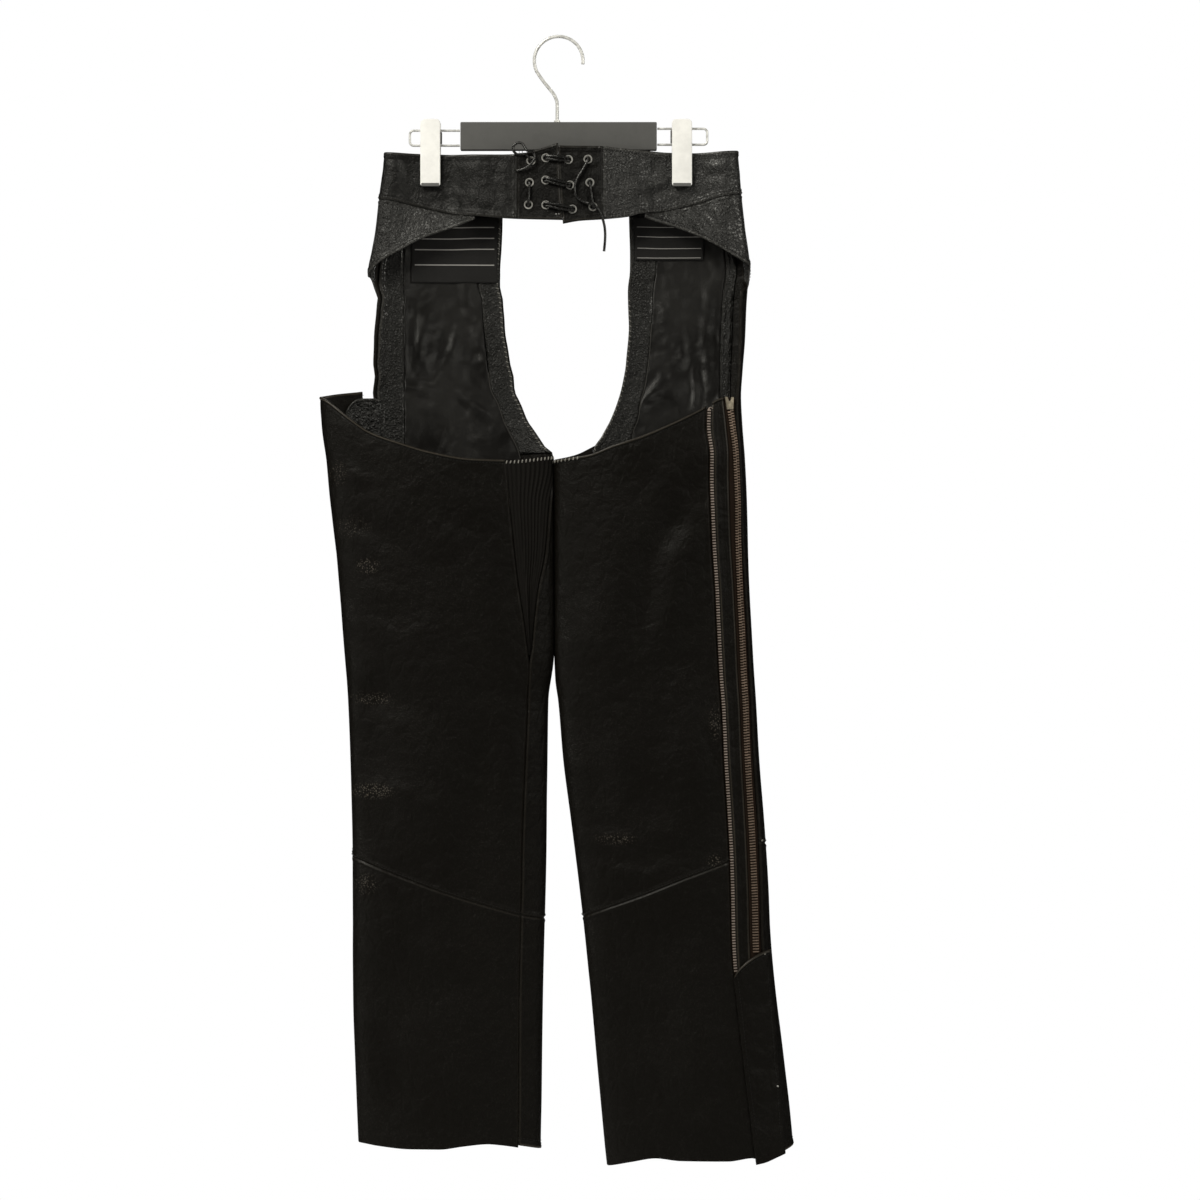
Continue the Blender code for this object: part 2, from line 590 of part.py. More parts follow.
# Heights of the rows that neighbouring pieces share, so that their seams follow one another
HIP_ROWS = (-446, -434, -420, -404, -384, -355, -318, -285, -258, -232, -210, -186)
LEG_ROWS = (-926, -840, -760, -690, -650, -620, -590, -555, -520, -485)
CALF_ROWS = (-1190, -1130, -1060, -1010, -985, -970, -950)
THIGH_LEVELS = LEG_ROWS + HIP_ROWS
BACK_LEVELS = LEG_ROWS + HIP_ROWS[:5]
GUSSET_LEVELS = LEG_ROWS[4:] + HIP_ROWS[:1]
CALF_LEVELS = CALF_ROWS + (-926, -880)
ZIP_LEVELS = CALF_ROWS[5:] + (-926, -880, -840, -760, -690, -620, -555, -485) + HIP_ROWS[:5]
SPARE_LEVELS = (-966, -950, -926, -880, -840, -690, -590, -485, -446, -420, -404)
STRIP_LEVELS = CALF_ROWS + (-926, -880, -840) + LEG_ROWS[2:4] + LEG_ROWS[5:] + HIP_ROWS[:5]
LINING_LEVELS = (-802, -650, -555, -485) + HIP_ROWS
FACING_LEVELS = (-466, -462) + HIP_ROWS
FACING_LEVELS_LOW = (-466,) + HIP_ROWS[1:]
GUARD_LEVELS = (-955, -840, -690, -590, -520, -462) + HIP_ROWS[:5] + (-380,)
FLAP_LEVELS = (-1180, -1130, -1060, -1010, -985, -970, -962)
LINING_END = -802.0
FACING_END = -466.0
FACING_END_LEFT = -438.0
FACING_END_RIGHT = -455.0
LABELS = {
    "left": {"left": -155.9, "right": -64.6, "bottom": -257.3, "top": -187.5},
    "right": {"left": 80.3, "right": 153.3, "bottom": -231.0, "top": -187.5},
}
GUARD = {"left": -225.2, "right": -188.5, "bottom": -955.0}
ZIP_TOP, ZIP_END = -380.1, -972.0
SPARE_TOP, SPARE_END = -391.7, -966.0
CHAIN_TOP, CHAIN_END = -394.2, -960.2
CHAIN_WIDTH = 5.9
SPARE_SHARES = (0.0, 0.26, 0.30, 0.74, 0.78, 1.0)
SPARE_RIDGE = (0.0, 0.0, 1.4, 1.4, 0.0, 0.0)
SLIDER = {"width": 10.0, "top": -379.6, "bottom": -393.8}
LEFT_ZIP = {"tape": 11.0}
LEFT_FLAP = {"far": 30.0, "near": 8.0, "bottom": -1158.0, "top": -961.0}

# Free ends of the lace: x, z and lift off the tabs
Turn = namedtuple("Turn", "x z lift")
LACE_TAIL = (
    Turn(31.0, -129.5, -4.3), Turn(31.0, -129.5, 1.4), Turn(29.4, -133.6, 2.8), Turn(25.7, -140.7, 2.9),
    Turn(20.4, -149.0, 3.1), Turn(17.6, -156.5, 3.2), Turn(17.5, -166.0, 3.1), Turn(21.0, -171.6, 3.3),
    Turn(27.5, -175.4, 4.2), Turn(33.0, -176.8, 5.2), Turn(37.3, -178.8, 5.7), Turn(41.8, -183.4, 4.8),
    Turn(44.9, -189.0, 3.6), Turn(47.4, -196.5, 3.0), Turn(48.8, -204.7, 2.8), Turn(48.9, -214.0, 2.6),
    Turn(47.8, -226.8, 2.4),
)
LACE_KNOT = (
    Turn(-28.9, -131.2, -4.3), Turn(-28.9, -131.2, 1.2), Turn(-31.0, -128.2, 2.6), Turn(-34.6, -124.6, 2.6),
    Turn(-38.8, -124.6, 2.4), Turn(-43.6, -124.5, 2.4), Turn(-47.4, -120.6, 2.4), Turn(-47.0, -115.6, 2.5),
    Turn(-43.0, -112.6, 2.8), Turn(-38.2, -113.5, 3.2), Turn(-35.4, -117.2, 4.2), Turn(-33.0, -121.2, 5.4),
    Turn(-29.0, -122.0, 5.4), Turn(-25.9, -124.0, 5.2), Turn(-25.2, -128.5, 5.0), Turn(-26.6, -133.0, 5.0),
    Turn(-31.5, -137.6, 4.0), Turn(-37.6, -140.6, 3.0), Turn(-43.6, -142.0, 2.4),
)


def smooth(rows, key, value):
    """Returns a monotone smooth reading of one column of a table against another."""
    rows = sorted(rows, key=lambda row: getattr(row, key))
    xs = np.array([getattr(row, key) for row in rows], float)
    ys = np.array([getattr(row, value) for row in rows], float)
    step = np.diff(xs)
    slope = np.diff(ys) / step
    bend = np.zeros(len(xs))
    bend[0], bend[-1] = slope[0], slope[-1]
    for k in range(1, len(xs) - 1):
        if slope[k - 1] * slope[k] > 0:
            a = 2 * step[k] + step[k - 1]
            b = step[k] + 2 * step[k - 1]
            bend[k] = (a + b) / (a / slope[k - 1] + b / slope[k])

    def read(x):
        x = np.asarray(x, float)
        k = np.clip(np.searchsorted(xs, x) - 1, 0, len(step) - 1)
        t = (x - xs[k]) / step[k]
        low, high = t < 0, t > 1
        t = np.clip(t, 0, 1)
        y = ((1 + 2 * t) * (1 - t) ** 2 * ys[k] + t * (1 - t) ** 2 * step[k] * bend[k]
             + t * t * (3 - 2 * t) * ys[k + 1] + t * t * (t - 1) * step[k] * bend[k + 1])
        y = np.where(low, ys[0] + (x - xs[0]) * bend[0], y)
        return np.where(high, ys[-1] + (x - xs[-1]) * bend[-1], y)

    return read


def ramp(z, low, high):
    """Returns 0 at low and 1 at high with soft ends."""
    t = np.clip((np.asarray(z, float) - low) / (high - low), 0, 1)
    return t * t * (3 - 2 * t)


class Side:
    """Form of one half of the garment, read by the angle round it and the height."""

    def __init__(self, rows):
        self.read = {name: smooth(rows, "z", name) for name in Station._fields if name != "z"}

    def place(self, angle, z):
        """Returns the point on the form in millimetres at an angle in degrees and a height."""
        left, right = self.read["left"](z), self.read["right"](z)
        blunt = self.read["blunt"](z)
        turn = np.radians(angle)
        c, s = np.cos(turn), np.sin(turn)
        x = (left + right) / 2 + (right - left) / 2 * c
        swell = np.abs(s) ** blunt
        depth = np.where(s > 0, self.read["back"](z), self.read["front"](z))
        held = ramp(z, PINCH["free_below"], PINCH["held_above"])
        near = np.zeros_like(x)
        for centre in CLIP_CENTRES.values():
            near = np.maximum(near, 1 - ramp(np.abs(x - centre), PINCH["flat"], PINCH["reach"]))
        full = depth * swell
        pinch = held * near
        flat = np.minimum(full, PINCH["depth"])
        y = full * (1 - pinch) + flat * pinch
        middle = self.read["mid"](z) * (1 - held)
        return np.stack([x, middle - np.sign(s) * y, z + 0 * x], axis=-1)

    def outward(self, angle, z):
        """Returns the unit direction out of the form."""
        a = self.place(angle + 0.6, z) - self.place(angle - 0.6, z)
        b = self.place(angle, z + 1.0) - self.place(angle, z - 1.0)
        n = np.cross(b, a)
        return n / np.maximum(np.linalg.norm(n, axis=-1, keepdims=True), 1e-9)

    def skin(self, angle, z, off):
        """Returns the point that lies off millimetres outside the form."""
        return self.place(angle, z) + self.outward(angle, z) * np.asarray(off)[..., None]

    def angle_at(self, x, z, face):
        """Returns the angle of the place at x on the back or the front."""
        left, right = self.read["left"](z), self.read["right"](z)
        t = np.clip((x - (left + right) / 2) / ((right - left) / 2), -1, 1)
        turn = np.degrees(np.arccos(t))
        return turn if face == BACK else -turn

    def edge(self, rows, past=0.0):
        """Returns the angle of an edge against height; past adds a whole turn to front places."""
        fixed = []
        for row in rows:
            angle = row.at if row.face == TURN else self.angle_at(row.at, row.z, row.face)
            if past and angle < 0:
                angle += past
            fixed.append(Edge(z=row.z, face=row.face, at=float(angle)))
        return smooth(fixed, "z", "at")

    def arc(self, angle, z):
        """Returns millimetres for each degree at a place."""
        return np.linalg.norm(self.place(angle + 0.3, z) - self.place(angle - 0.3, z), axis=-1) / 0.6


LEFT = Side(LEFT_SIDE)
RIGHT = Side(RIGHT_SIDE)


def faces_rim(back, front=None, trim=0.0):
    """Returns a rim read by x and by whether the place is on the back or the front."""
    on_back = smooth(back, "x", "z")
    on_front = smooth(front if front else back, "x", "z")

    def read(x, angle):
        wrapped = (np.asarray(angle) + 720.0) % 360.0
        return np.where(wrapped <= 180.0, on_back(x), on_front(x)) + trim

    return read


def level_rim(z):
    """Returns a rim at one height."""
    return lambda x, angle: z + 0 * np.asarray(x, float)


def offset_edge(side, read, millimetres):
    """Returns an edge moved along the form, towards greater angles when positive."""
    return lambda z: read(z) + millimetres / np.maximum(side.arc(read(z), z), 0.05)


MATERIALS = {
    "leather_smooth": ((0.014, 0.013, 0.012), 0.0, 0.42),
    "leather_grain": ((0.018, 0.018, 0.018), 0.0, 0.48),
    "lining_satin": ((0.010, 0.010, 0.011), 0.0, 0.34),
    "stretch_rib": ((0.009, 0.008, 0.008), 0.0, 0.62),
    "label_woven": ((0.012, 0.012, 0.013), 0.0, 0.72),
    "zip_tape": ((0.030, 0.018, 0.012), 0.0, 0.85),
    "zip_bronze": ((0.300, 0.210, 0.140), 1.0, 0.40),
    "slider_metal": ((0.520, 0.480, 0.380), 1.0, 0.32),
    "eyelet_steel": ((0.420, 0.420, 0.420), 1.0, 0.30),
    "lace_black": ((0.010, 0.010, 0.010), 0.0, 0.50),
    "hanger_bar_grey": ((0.070, 0.072, 0.070), 0.0, 0.45),
    "hanger_chrome": ((0.700, 0.700, 0.710), 1.0, 0.16),
    "clip_cream": ((0.800, 0.780, 0.720), 0.0, 0.38),
}
SLOTS = {}
for slot, (colour, metal, rough) in MATERIALS.items():
    made = bpy.data.materials.new(slot)
    made.use_nodes = True
    surface = made.node_tree.nodes["Principled BSDF"]
    surface.inputs["Base Color"].default_value = (*colour, 1.0)
    surface.inputs["Metallic"].default_value = metal
    surface.inputs["Roughness"].default_value = rough
    SLOTS[slot] = made


def solid(name, points, faces, slot, flat=False):
    """Makes one closed object from points in millimetres and face indices."""
    mesh = bpy.data.meshes.new(name)
    mesh.from_pydata([tuple(float(v) * MM for v in p) for p in points], [], [tuple(f) for f in faces])
    body = bmesh.new()
    body.from_mesh(mesh)
    bmesh.ops.remove_doubles(body, verts=body.verts, dist=0.00001)
    bmesh.ops.recalc_face_normals(body, faces=body.faces)
    body.to_mesh(mesh)
    body.free()
    for face in mesh.polygons:
        face.use_smooth = not flat
    mesh.materials.append(SLOTS[slot])
    made = bpy.data.objects.new(name, mesh)
    bpy.context.scene.collection.objects.link(made)
    return made


def wall_from(name, outer, inner, slot, flat=False):
    """Closes two grids of points of the same size into a thin wall."""
    rows, cols = outer.shape[:2]
    points = np.concatenate([outer.reshape(-1, 3), inner.reshape(-1, 3)])
    half = rows * cols
    faces = []
    for j in range(rows - 1):
        for i in range(cols - 1):
            a, b = j * cols + i, j * cols + i + 1
            c, d = a + cols, b + cols
            faces.append((a, b, d, c))
            faces.append((a + half, c + half, d + half, b + half))
    rim = [(0, i) for i in range(cols)] + [(j, cols - 1) for j in range(1, rows)]
    rim += [(rows - 1, i) for i in range(cols - 2, -1, -1)] + [(j, 0) for j in range(rows - 2, 0, -1)]
    for k, (j, i) in enumerate(rim):
        n, m = rim[(k + 1) % len(rim)]
        p, q = j * cols + i, n * cols + m
        faces.append((p, p + half, q + half, q))
    return solid(name, points, faces, slot, flat)


def grid(side, start, end, bottom, top, across, levels):
    """Returns angles and heights of a panel's grid between two edges and two rims."""
    share = np.linspace(0, 1, across + 1) if np.isscalar(across) else np.asarray(across, float)
    across = len(share) - 1
    ends = []
    for rim in (bottom, top):
        z = np.full(across + 1, float(rim(0.0, 0.0)))
        for _ in range(14):
            angle = start(z) * (1 - share) + end(z) * share
            x = side.place(angle, z)[..., 0]
            z = 0.4 * z + 0.6 * rim(x, angle)
        ends.append(z)
    levels = np.asarray(levels, float)
    if levels.max() > 0:
        z = ends[0][None, :] * (1 - levels[:, None]) + ends[1][None, :] * levels[:, None]
    else:
        order = np.arange(len(levels))[:, None]
        low = ends[0][None, :] + ROW_STEP * order
        high = ends[1][None, :] - ROW_STEP * (len(levels) - 1 - order)
        z = np.minimum(np.maximum(levels[:, None], low), high)
        z[0], z[-1] = ends
    angle = start(z) * (1 - share) + end(z) * share
    return angle, z


def panel(name, side, start, end, bottom, top, across, levels, slot, off=0.0, wall=HIDE_WALL,
          trims=(GAP / 2, GAP / 2), ribs=0, ridge=None):
    """Makes a cloth piece as a wall on its side's form, trimmed at both edges for the seams."""
    first = offset_edge(side, start, trims[0])
    last = offset_edge(side, end, -trims[1])
    angle, z = grid(side, first, last, bottom, top, across, levels)
    raised = np.full(angle.shape, float(off))
    if ribs:
        raised = raised + RIB_HEIGHT * (np.arange(angle.shape[1]) % 2)[None, :]
    if ridge is not None:
        raised = raised + np.asarray(ridge, float)[None, :]
    outer = side.skin(angle, z, raised)
    inner = side.skin(angle, z, np.full(angle.shape, off - wall))
    return wall_from(name, outer, inner, slot)


def steps(count):
    """Returns even levels for a panel's rows."""
    return np.linspace(0, 1, count + 1)


def seam(rim, half):
    """Returns a rim moved up or down by half a seam gap."""
    return lambda x, angle: rim(x, angle) + half


def upright(side, x, face):
    """Returns an edge at one x all the way down."""
    heights = (-100, -140, -180, -230, -300, -360, -420, -500, -640, -800, -900)
    return side.edge(tuple(Edge(z, face, x) for z in heights))


# Shared edges and rims
left_in = LEFT.edge(LEFT_FRONT_INNER)
left_back_in = LEFT.edge(LEFT_BACK_INNER)
left_out = LEFT.edge(LEFT_FRONT_OUTER)
left_out_round = LEFT.edge(LEFT_FRONT_OUTER, past=360.0)
right_in = RIGHT.edge(RIGHT_FRONT_INNER)
right_back_in = RIGHT.edge(RIGHT_BACK_INNER)
right_back_in_round = RIGHT.edge(RIGHT_BACK_INNER, past=360.0)
right_out = RIGHT.edge(RIGHT_FRONT_OUTER)
strip_out = RIGHT.edge(RIGHT_STRIP_OUTER)
strip_in = RIGHT.edge(RIGHT_STRIP_INNER)
right_back_out = RIGHT.edge(RIGHT_BACK_OUTER)

belt_top_left = faces_rim(BELT_TOP_LEFT)
belt_top_right = faces_rim(BELT_TOP_RIGHT)
belt_low_left = faces_rim(BELT_BOTTOM_LEFT)
belt_low_right = faces_rim(BELT_BOTTOM_RIGHT)
front_top = faces_rim(FRONT_BELT_TOP)
front_low = faces_rim(FRONT_BELT_BOTTOM)
left_knee = faces_rim(LEFT_KNEE_BACK, LEFT_KNEE_FRONT)
left_rim = faces_rim(LEFT_RIM_BACK, LEFT_RIM_FRONT)
right_rim = faces_rim(RIGHT_RIM_BACK)
right_knee = faces_rim(RIGHT_KNEE_BACK, RIGHT_KNEE_FRONT)
right_knee_front = faces_rim(RIGHT_KNEE_WRAP, RIGHT_KNEE_FRONT)
left_hem = faces_rim(LEFT_HEM)
right_hem = faces_rim(RIGHT_HEM)
left_front_hem = faces_rim(LEFT_HEM, trim=2.5)
right_front_hem = faces_rim(RIGHT_HEM, trim=2.5)
HALF = GAP / 2
UNDER = HIDE_WALL + LAYER_GAP + 0.1

# Belt: a back half and a front half on each side, with the lacing tabs between the back halves
panel("belt_back_left", LEFT, upright(LEFT, TAB_SEAMS["left"], BACK), lambda z: 194.0 + 0 * z,
      seam(belt_low_left, HALF), belt_top_left, 13, steps(4), "leather_grain", wall=BELT_WALL)
panel("belt_back_right", RIGHT, lambda z: -14.0 + 0 * z, upright(RIGHT, TAB_SEAMS["right"], BACK),
      seam(belt_low_right, HALF), belt_top_right, 13, steps(4), "leather_grain", wall=BELT_WALL)
panel("belt_front_left", LEFT, lambda z: -166.0 + 0 * z, upright(LEFT, 0.0, FRONT),
      seam(front_low, HALF), front_top, 14, steps(3), "leather_grain", wall=BELT_WALL)
panel("belt_front_right", RIGHT, upright(RIGHT, 0.0, FRONT), lambda z: -14.0 + 0 * z,
      seam(front_low, HALF), front_top, 14, steps(3), "leather_grain", wall=BELT_WALL)
panel("belt_closing_tab", LEFT, upright(LEFT, CLOSING["left"], FRONT), upright(LEFT, CLOSING["right"], FRONT),
      level_rim(CLOSING["bottom"]), level_rim(CLOSING["top"]), 5, steps(3), "leather_grain",
      off=LAYER_GAP + FLAP_WALL, wall=FLAP_WALL)
tab_left = panel("lacing_tab_left", LEFT, LEFT.edge(TAB_EDGE_LEFT),
                 upright(LEFT, TAB_SEAMS["left"], BACK), belt_low_left, belt_top_left, 5, steps(4),
                 "leather_grain", off=TAB_PROUD, wall=BELT_WALL)
tab_right = panel("lacing_tab_right", RIGHT, upright(RIGHT, TAB_SEAMS["right"], BACK),
                  RIGHT.edge(TAB_EDGE_RIGHT), belt_low_right, belt_top_right, 5, steps(4),
                  "leather_grain", off=TAB_PROUD, wall=BELT_WALL)


def frame_at(side, x, z):
    """Returns the point on the tab's face, its outward direction and two directions across it."""
    angle = side.angle_at(x, z, BACK)
    point = side.skin(angle, np.float64(z), TAB_PROUD)
    out = Vector(side.outward(angle, np.float64(z)))
    across = Vector((0, 0, 1)).cross(out).normalized()
    return Vector(point), out, across, out.cross(across).normalized()


def turned(side, spot, profile, sides):
    """Returns a turned ring on the tab's face from radii and heights in millimetres."""
    point, out, across, up = frame_at(side, spot.x, spot.z)
    points, faces = [], []
    for k in range(sides):
        a = 2 * math.pi * k / sides
        spoke = across * math.cos(a) + up * math.sin(a)
        points += [tuple(point + spoke * r + out * h) for r, h in profile]
    n = len(profile)
    for k in range(sides):
        for i in range(n):
            a, b = k * n + i, k * n + (i + 1) % n
            c, d = (k + 1) % sides * n + (i + 1) % n, (k + 1) % sides * n + i
            faces.append((a, b, c, d))
    return points, faces


def pierce(tab, side, spots):
    """Cuts the lacing holes through a tab."""
    for k, spot in enumerate(spots):
        point, out, across, up = frame_at(side, spot.x, spot.z)
        points, faces = [], []
        count = 10
        for h in (-BELT_WALL - 2.0, 2.0):
            for i in range(count):
                a = 2 * math.pi * (i + 0.5) / count
                r = EYELET["hole"] / 2
                points.append(tuple(point + (across * math.cos(a) + up * math.sin(a)) * r + out * h))
        faces.append(tuple(range(count)))
        faces.append(tuple(range(2 * count - 1, count - 1, -1)))
        for i in range(count):
            j = (i + 1) % count
            faces.append((i, i + count, j + count, j))
        cutter = solid(f"cutter_{tab.name}_{k}", points, faces, "leather_grain", flat=True)
        cut = tab.modifiers.new("hole", "BOOLEAN")
        cut.operation = "DIFFERENCE"
        cut.solver = "EXACT"
        cut.object = cutter
        cutter.hide_render = True
        cutter.display_type = "WIRE"


pierce(tab_left, LEFT, EYELETS_LEFT)
pierce(tab_right, RIGHT, EYELETS_RIGHT)
RING = (
    (EYELET["bore"] / 2, 0.2 - BELT_WALL), (EYELET["barrel"] / 2, 0.2 - BELT_WALL),
    (EYELET["barrel"] / 2, EYELET["lip"]), (EYELET["flange"] / 2, EYELET["lip"]),
    (EYELET["flange"] / 2 - 0.5, EYELET["proud"]), (EYELET["bore"] / 2, EYELET["proud"]),
)
for label, side, spots in (("left", LEFT, EYELETS_LEFT), ("right", RIGHT, EYELETS_RIGHT)):
    for k, spot in enumerate(spots):
        solid(f"eyelet_{label}_{k + 1}", *turned(side, spot, RING, 8), "eyelet_steel")

# Yokes under the back belt
panel("yoke_left", LEFT, upright(LEFT, YOKE_TIPS["left"], BACK), lambda z: 194.0 + 0 * z,
      faces_rim(LEFT_YOKE_EDGE, LEFT_YOKE_TURN), seam(belt_low_left, -HALF), 13, steps(4), "leather_grain",
      wall=HIDE_WALL, trims=(0.15, 0.8))
panel("yoke_right", RIGHT, lambda z: -14.0 + 0 * z, upright(RIGHT, YOKE_TIPS["right"], BACK),
      faces_rim(RIGHT_YOKE_EDGE, RIGHT_YOKE_TURN), seam(belt_low_right, -HALF), 13, steps(4), "leather_grain",
      wall=HIDE_WALL, trims=(0.8, 0.15))

# Front panels: thigh and calf of each leg
panel("front_thigh_left", LEFT, left_out, left_in, seam(left_knee, HALF), seam(front_low, -HALF), 12,
      THIGH_LEVELS, "leather_smooth", trims=(0.4, 0.35))
panel("front_thigh_right", RIGHT, right_in, right_out, seam(right_knee_front, HALF),
      seam(front_low, -HALF), 12, THIGH_LEVELS, "leather_smooth", trims=(0.4, 0.4))
panel("front_calf_left", LEFT, left_out, left_in, left_front_hem, seam(left_knee, -HALF), 12,
      (-1190, -1060, -970, -926, -880),
      "leather_smooth")
panel("front_calf_right", RIGHT, right_in, right_out, right_front_hem, seam(right_knee_front, -HALF), 12,
      CALF_LEVELS, "leather_smooth")

# Back panels
left_back_out = offset_edge(LEFT, left_out_round, -LEFT_ZIP["tape"])
panel("back_thigh_left", LEFT, left_back_in, left_back_out, seam(left_knee, HALF), left_rim, 13, BACK_LEVELS,
      "leather_smooth", trims=(0.3, 0.3))
panel("back_calf_left", LEFT, left_back_in, left_back_out, left_hem, seam(left_knee, -HALF), 13,
      (-1190, -1060, -970, -926, -880),
      "leather_smooth")
panel("back_thigh_right", RIGHT, right_back_out, right_back_in_round, seam(right_knee, HALF), right_rim, 13,
      BACK_LEVELS, "leather_smooth", trims=(0.3, 0.3))
panel("back_calf_right", RIGHT, right_back_out, right_back_in_round, right_hem, seam(right_knee, -HALF), 13,
      CALF_LEVELS, "leather_smooth")

# Ribbed stretch gussets
panel("gusset_left", LEFT, left_in, left_back_in, level_rim(GUSSET_TIP), faces_rim(LEFT_GUSSET_TOP),
      2 * RIB_COUNT, GUSSET_LEVELS, "stretch_rib", off=-0.5, wall=GUSSET_WALL, ribs=RIB_COUNT,
      trims=(0.3, 0.3))
panel("gusset_right", RIGHT, right_back_in, right_in, level_rim(GUSSET_TIP), faces_rim(RIGHT_GUSSET_TOP),
      2 * RIB_COUNT, GUSSET_LEVELS, "stretch_rib", off=-0.5, wall=GUSSET_WALL, ribs=RIB_COUNT,
      trims=(0.3, 0.7))

# Linings and facings on the inside of the front panels
lining_rows = LINING_LEVELS
facing_left_in = LEFT.edge(LEFT_FACING_OUT)
piping_left = LEFT.edge(LEFT_PIPING)
piping_right = RIGHT.edge(RIGHT_PIPING)
facing_right_in = RIGHT.edge(RIGHT_FACING_IN)
facing_right_out = RIGHT.edge(RIGHT_FACING_OUT)
under_front = seam(front_low, -1.0)
panel("lining_left", LEFT, facing_left_in, piping_left, level_rim(LINING_END), under_front, 7, lining_rows,
      "lining_satin", off=-UNDER - 0.35, wall=LINING_WALL, trims=(0.35, 0.35))
panel("lining_right", RIGHT, piping_right, facing_right_in, level_rim(LINING_END), under_front, 7,
      lining_rows, "lining_satin", off=-UNDER - 0.35, wall=LINING_WALL, trims=(0.35, 0.35))
panel("facing_left_outer", LEFT, offset_edge(LEFT, left_out, 4.0), facing_left_in,
      level_rim(FACING_END), under_front, 3, FACING_LEVELS, "leather_grain", off=-UNDER,
      wall=FACING_WALL, trims=(0.3, 0.3))
panel("facing_left_inner", LEFT, piping_left, left_in, level_rim(FACING_END_LEFT), under_front, 5,
      FACING_LEVELS_LOW, "leather_grain", off=-UNDER, wall=FACING_WALL, trims=(0.3, 1.8))
panel("facing_right_inner", RIGHT, right_in, piping_right, level_rim(FACING_END_RIGHT), under_front, 5,
      FACING_LEVELS, "leather_grain", off=-UNDER - 0.3, wall=FACING_WALL, trims=(0.3, 0.3))
panel("facing_right_outer", RIGHT, facing_right_in, facing_right_out, level_rim(FACING_END), under_front, 3,
      FACING_LEVELS, "leather_grain", off=-UNDER - 0.6, wall=FACING_WALL, trims=(0.3, 0.3))
DEEP = UNDER + FACING_WALL + LAYER_GAP
for label, side, box in (("left", LEFT, LABELS["left"]), ("right", RIGHT, LABELS["right"])):
    panel(f"label_{label}", side, upright(side, box["left"], FRONT), upright(side, box["right"], FRONT),
          level_rim(box["bottom"]), level_rim(box["top"]), 8, steps(3), "label_woven", off=-DEEP - 0.35,
          wall=LABEL_WALL)
panel("zip_guard_left", LEFT, upright(LEFT, GUARD["left"], FRONT), upright(LEFT, GUARD["right"], FRONT),
      level_rim(GUARD["bottom"]), faces_rim(GUARD_TOP), 4, GUARD_LEVELS, "leather_grain", off=-DEEP,
      wall=FACING_WALL)

# Zips of the right leg, which show on the back
zip_rows = ZIP_LEVELS
zip_end = level_rim(ZIP_END)
tape_top = level_rim(ZIP_TOP)
panel("zip_tape_right", RIGHT, right_out, strip_out, zip_end, tape_top, 1, zip_rows, "zip_tape", off=-0.4,
      wall=TAPE_WALL, trims=(0.6, 0.3))
panel("zip_strip_right", RIGHT, strip_out, strip_in, right_hem, right_rim, 1, STRIP_LEVELS, "leather_smooth")
panel("spare_zip_right", RIGHT, strip_in, right_back_out, level_rim(SPARE_END), level_rim(SPARE_TOP),
      SPARE_SHARES, SPARE_LEVELS, "zip_tape", off=-0.4, wall=TAPE_WALL, ridge=SPARE_RIDGE, trims=(0.5, 0.45))
chain_right = RIGHT.edge(RIGHT_CHAIN)
panel("zip_chain_right", RIGHT, offset_edge(RIGHT, chain_right, -CHAIN_WIDTH / 2),
      offset_edge(RIGHT, chain_right, CHAIN_WIDTH / 2), level_rim(CHAIN_END), level_rim(CHAIN_TOP), 1,
      zip_rows, "zip_bronze", off=1.3, wall=1.2)
panel("slider_right", RIGHT, offset_edge(RIGHT, chain_right, -SLIDER["width"] / 2),
      offset_edge(RIGHT, chain_right, SLIDER["width"] / 2), level_rim(SLIDER["bottom"]),
      level_rim(SLIDER["top"]), 2, steps(2), "slider_metal", off=2.6, wall=2.6)

# Zip of the left leg, on its front side
panel("zip_tape_left", LEFT, offset_edge(LEFT, left_out, -LEFT_ZIP["tape"]), left_out, zip_end, tape_top, 1,
      zip_rows, "zip_tape", off=-0.4, wall=TAPE_WALL, trims=(0.7, 0.35))
left_chain = LEFT_ZIP["tape"] / 2
panel("zip_chain_left", LEFT, offset_edge(LEFT, left_out, -left_chain - CHAIN_WIDTH / 2),
      offset_edge(LEFT, left_out, -left_chain + CHAIN_WIDTH / 2), level_rim(CHAIN_END),
      level_rim(CHAIN_TOP), 1, zip_rows, "zip_bronze", off=1.3, wall=1.2)
panel("slider_left", LEFT, offset_edge(LEFT, left_out, -left_chain - SLIDER["width"] / 2),
      offset_edge(LEFT, left_out, -left_chain + SLIDER["width"] / 2), level_rim(SLIDER["bottom"]),
      level_rim(SLIDER["top"]), 2, steps(2), "slider_metal", off=2.6, wall=2.6)

# Flaps that close the hems over the zips' lower ends
panel("hem_flap_right", RIGHT, RIGHT.edge(FLAP_OUTER), RIGHT.edge(FLAP_INNER), faces_rim(FLAP_BOTTOM),
      faces_rim(FLAP_TOP), 8, FLAP_LEVELS, "leather_smooth", off=LAYER_GAP + FLAP_WALL, wall=FLAP_WALL)
panel("hem_flap_left", LEFT, offset_edge(LEFT, left_out, -LEFT_FLAP["far"]),
      offset_edge(LEFT, left_out, LEFT_FLAP["near"]), level_rim(LEFT_FLAP["bottom"]),
      level_rim(LEFT_FLAP["top"]), 4, steps(4), "leather_smooth", off=LAYER_GAP + FLAP_WALL, wall=FLAP_WALL)


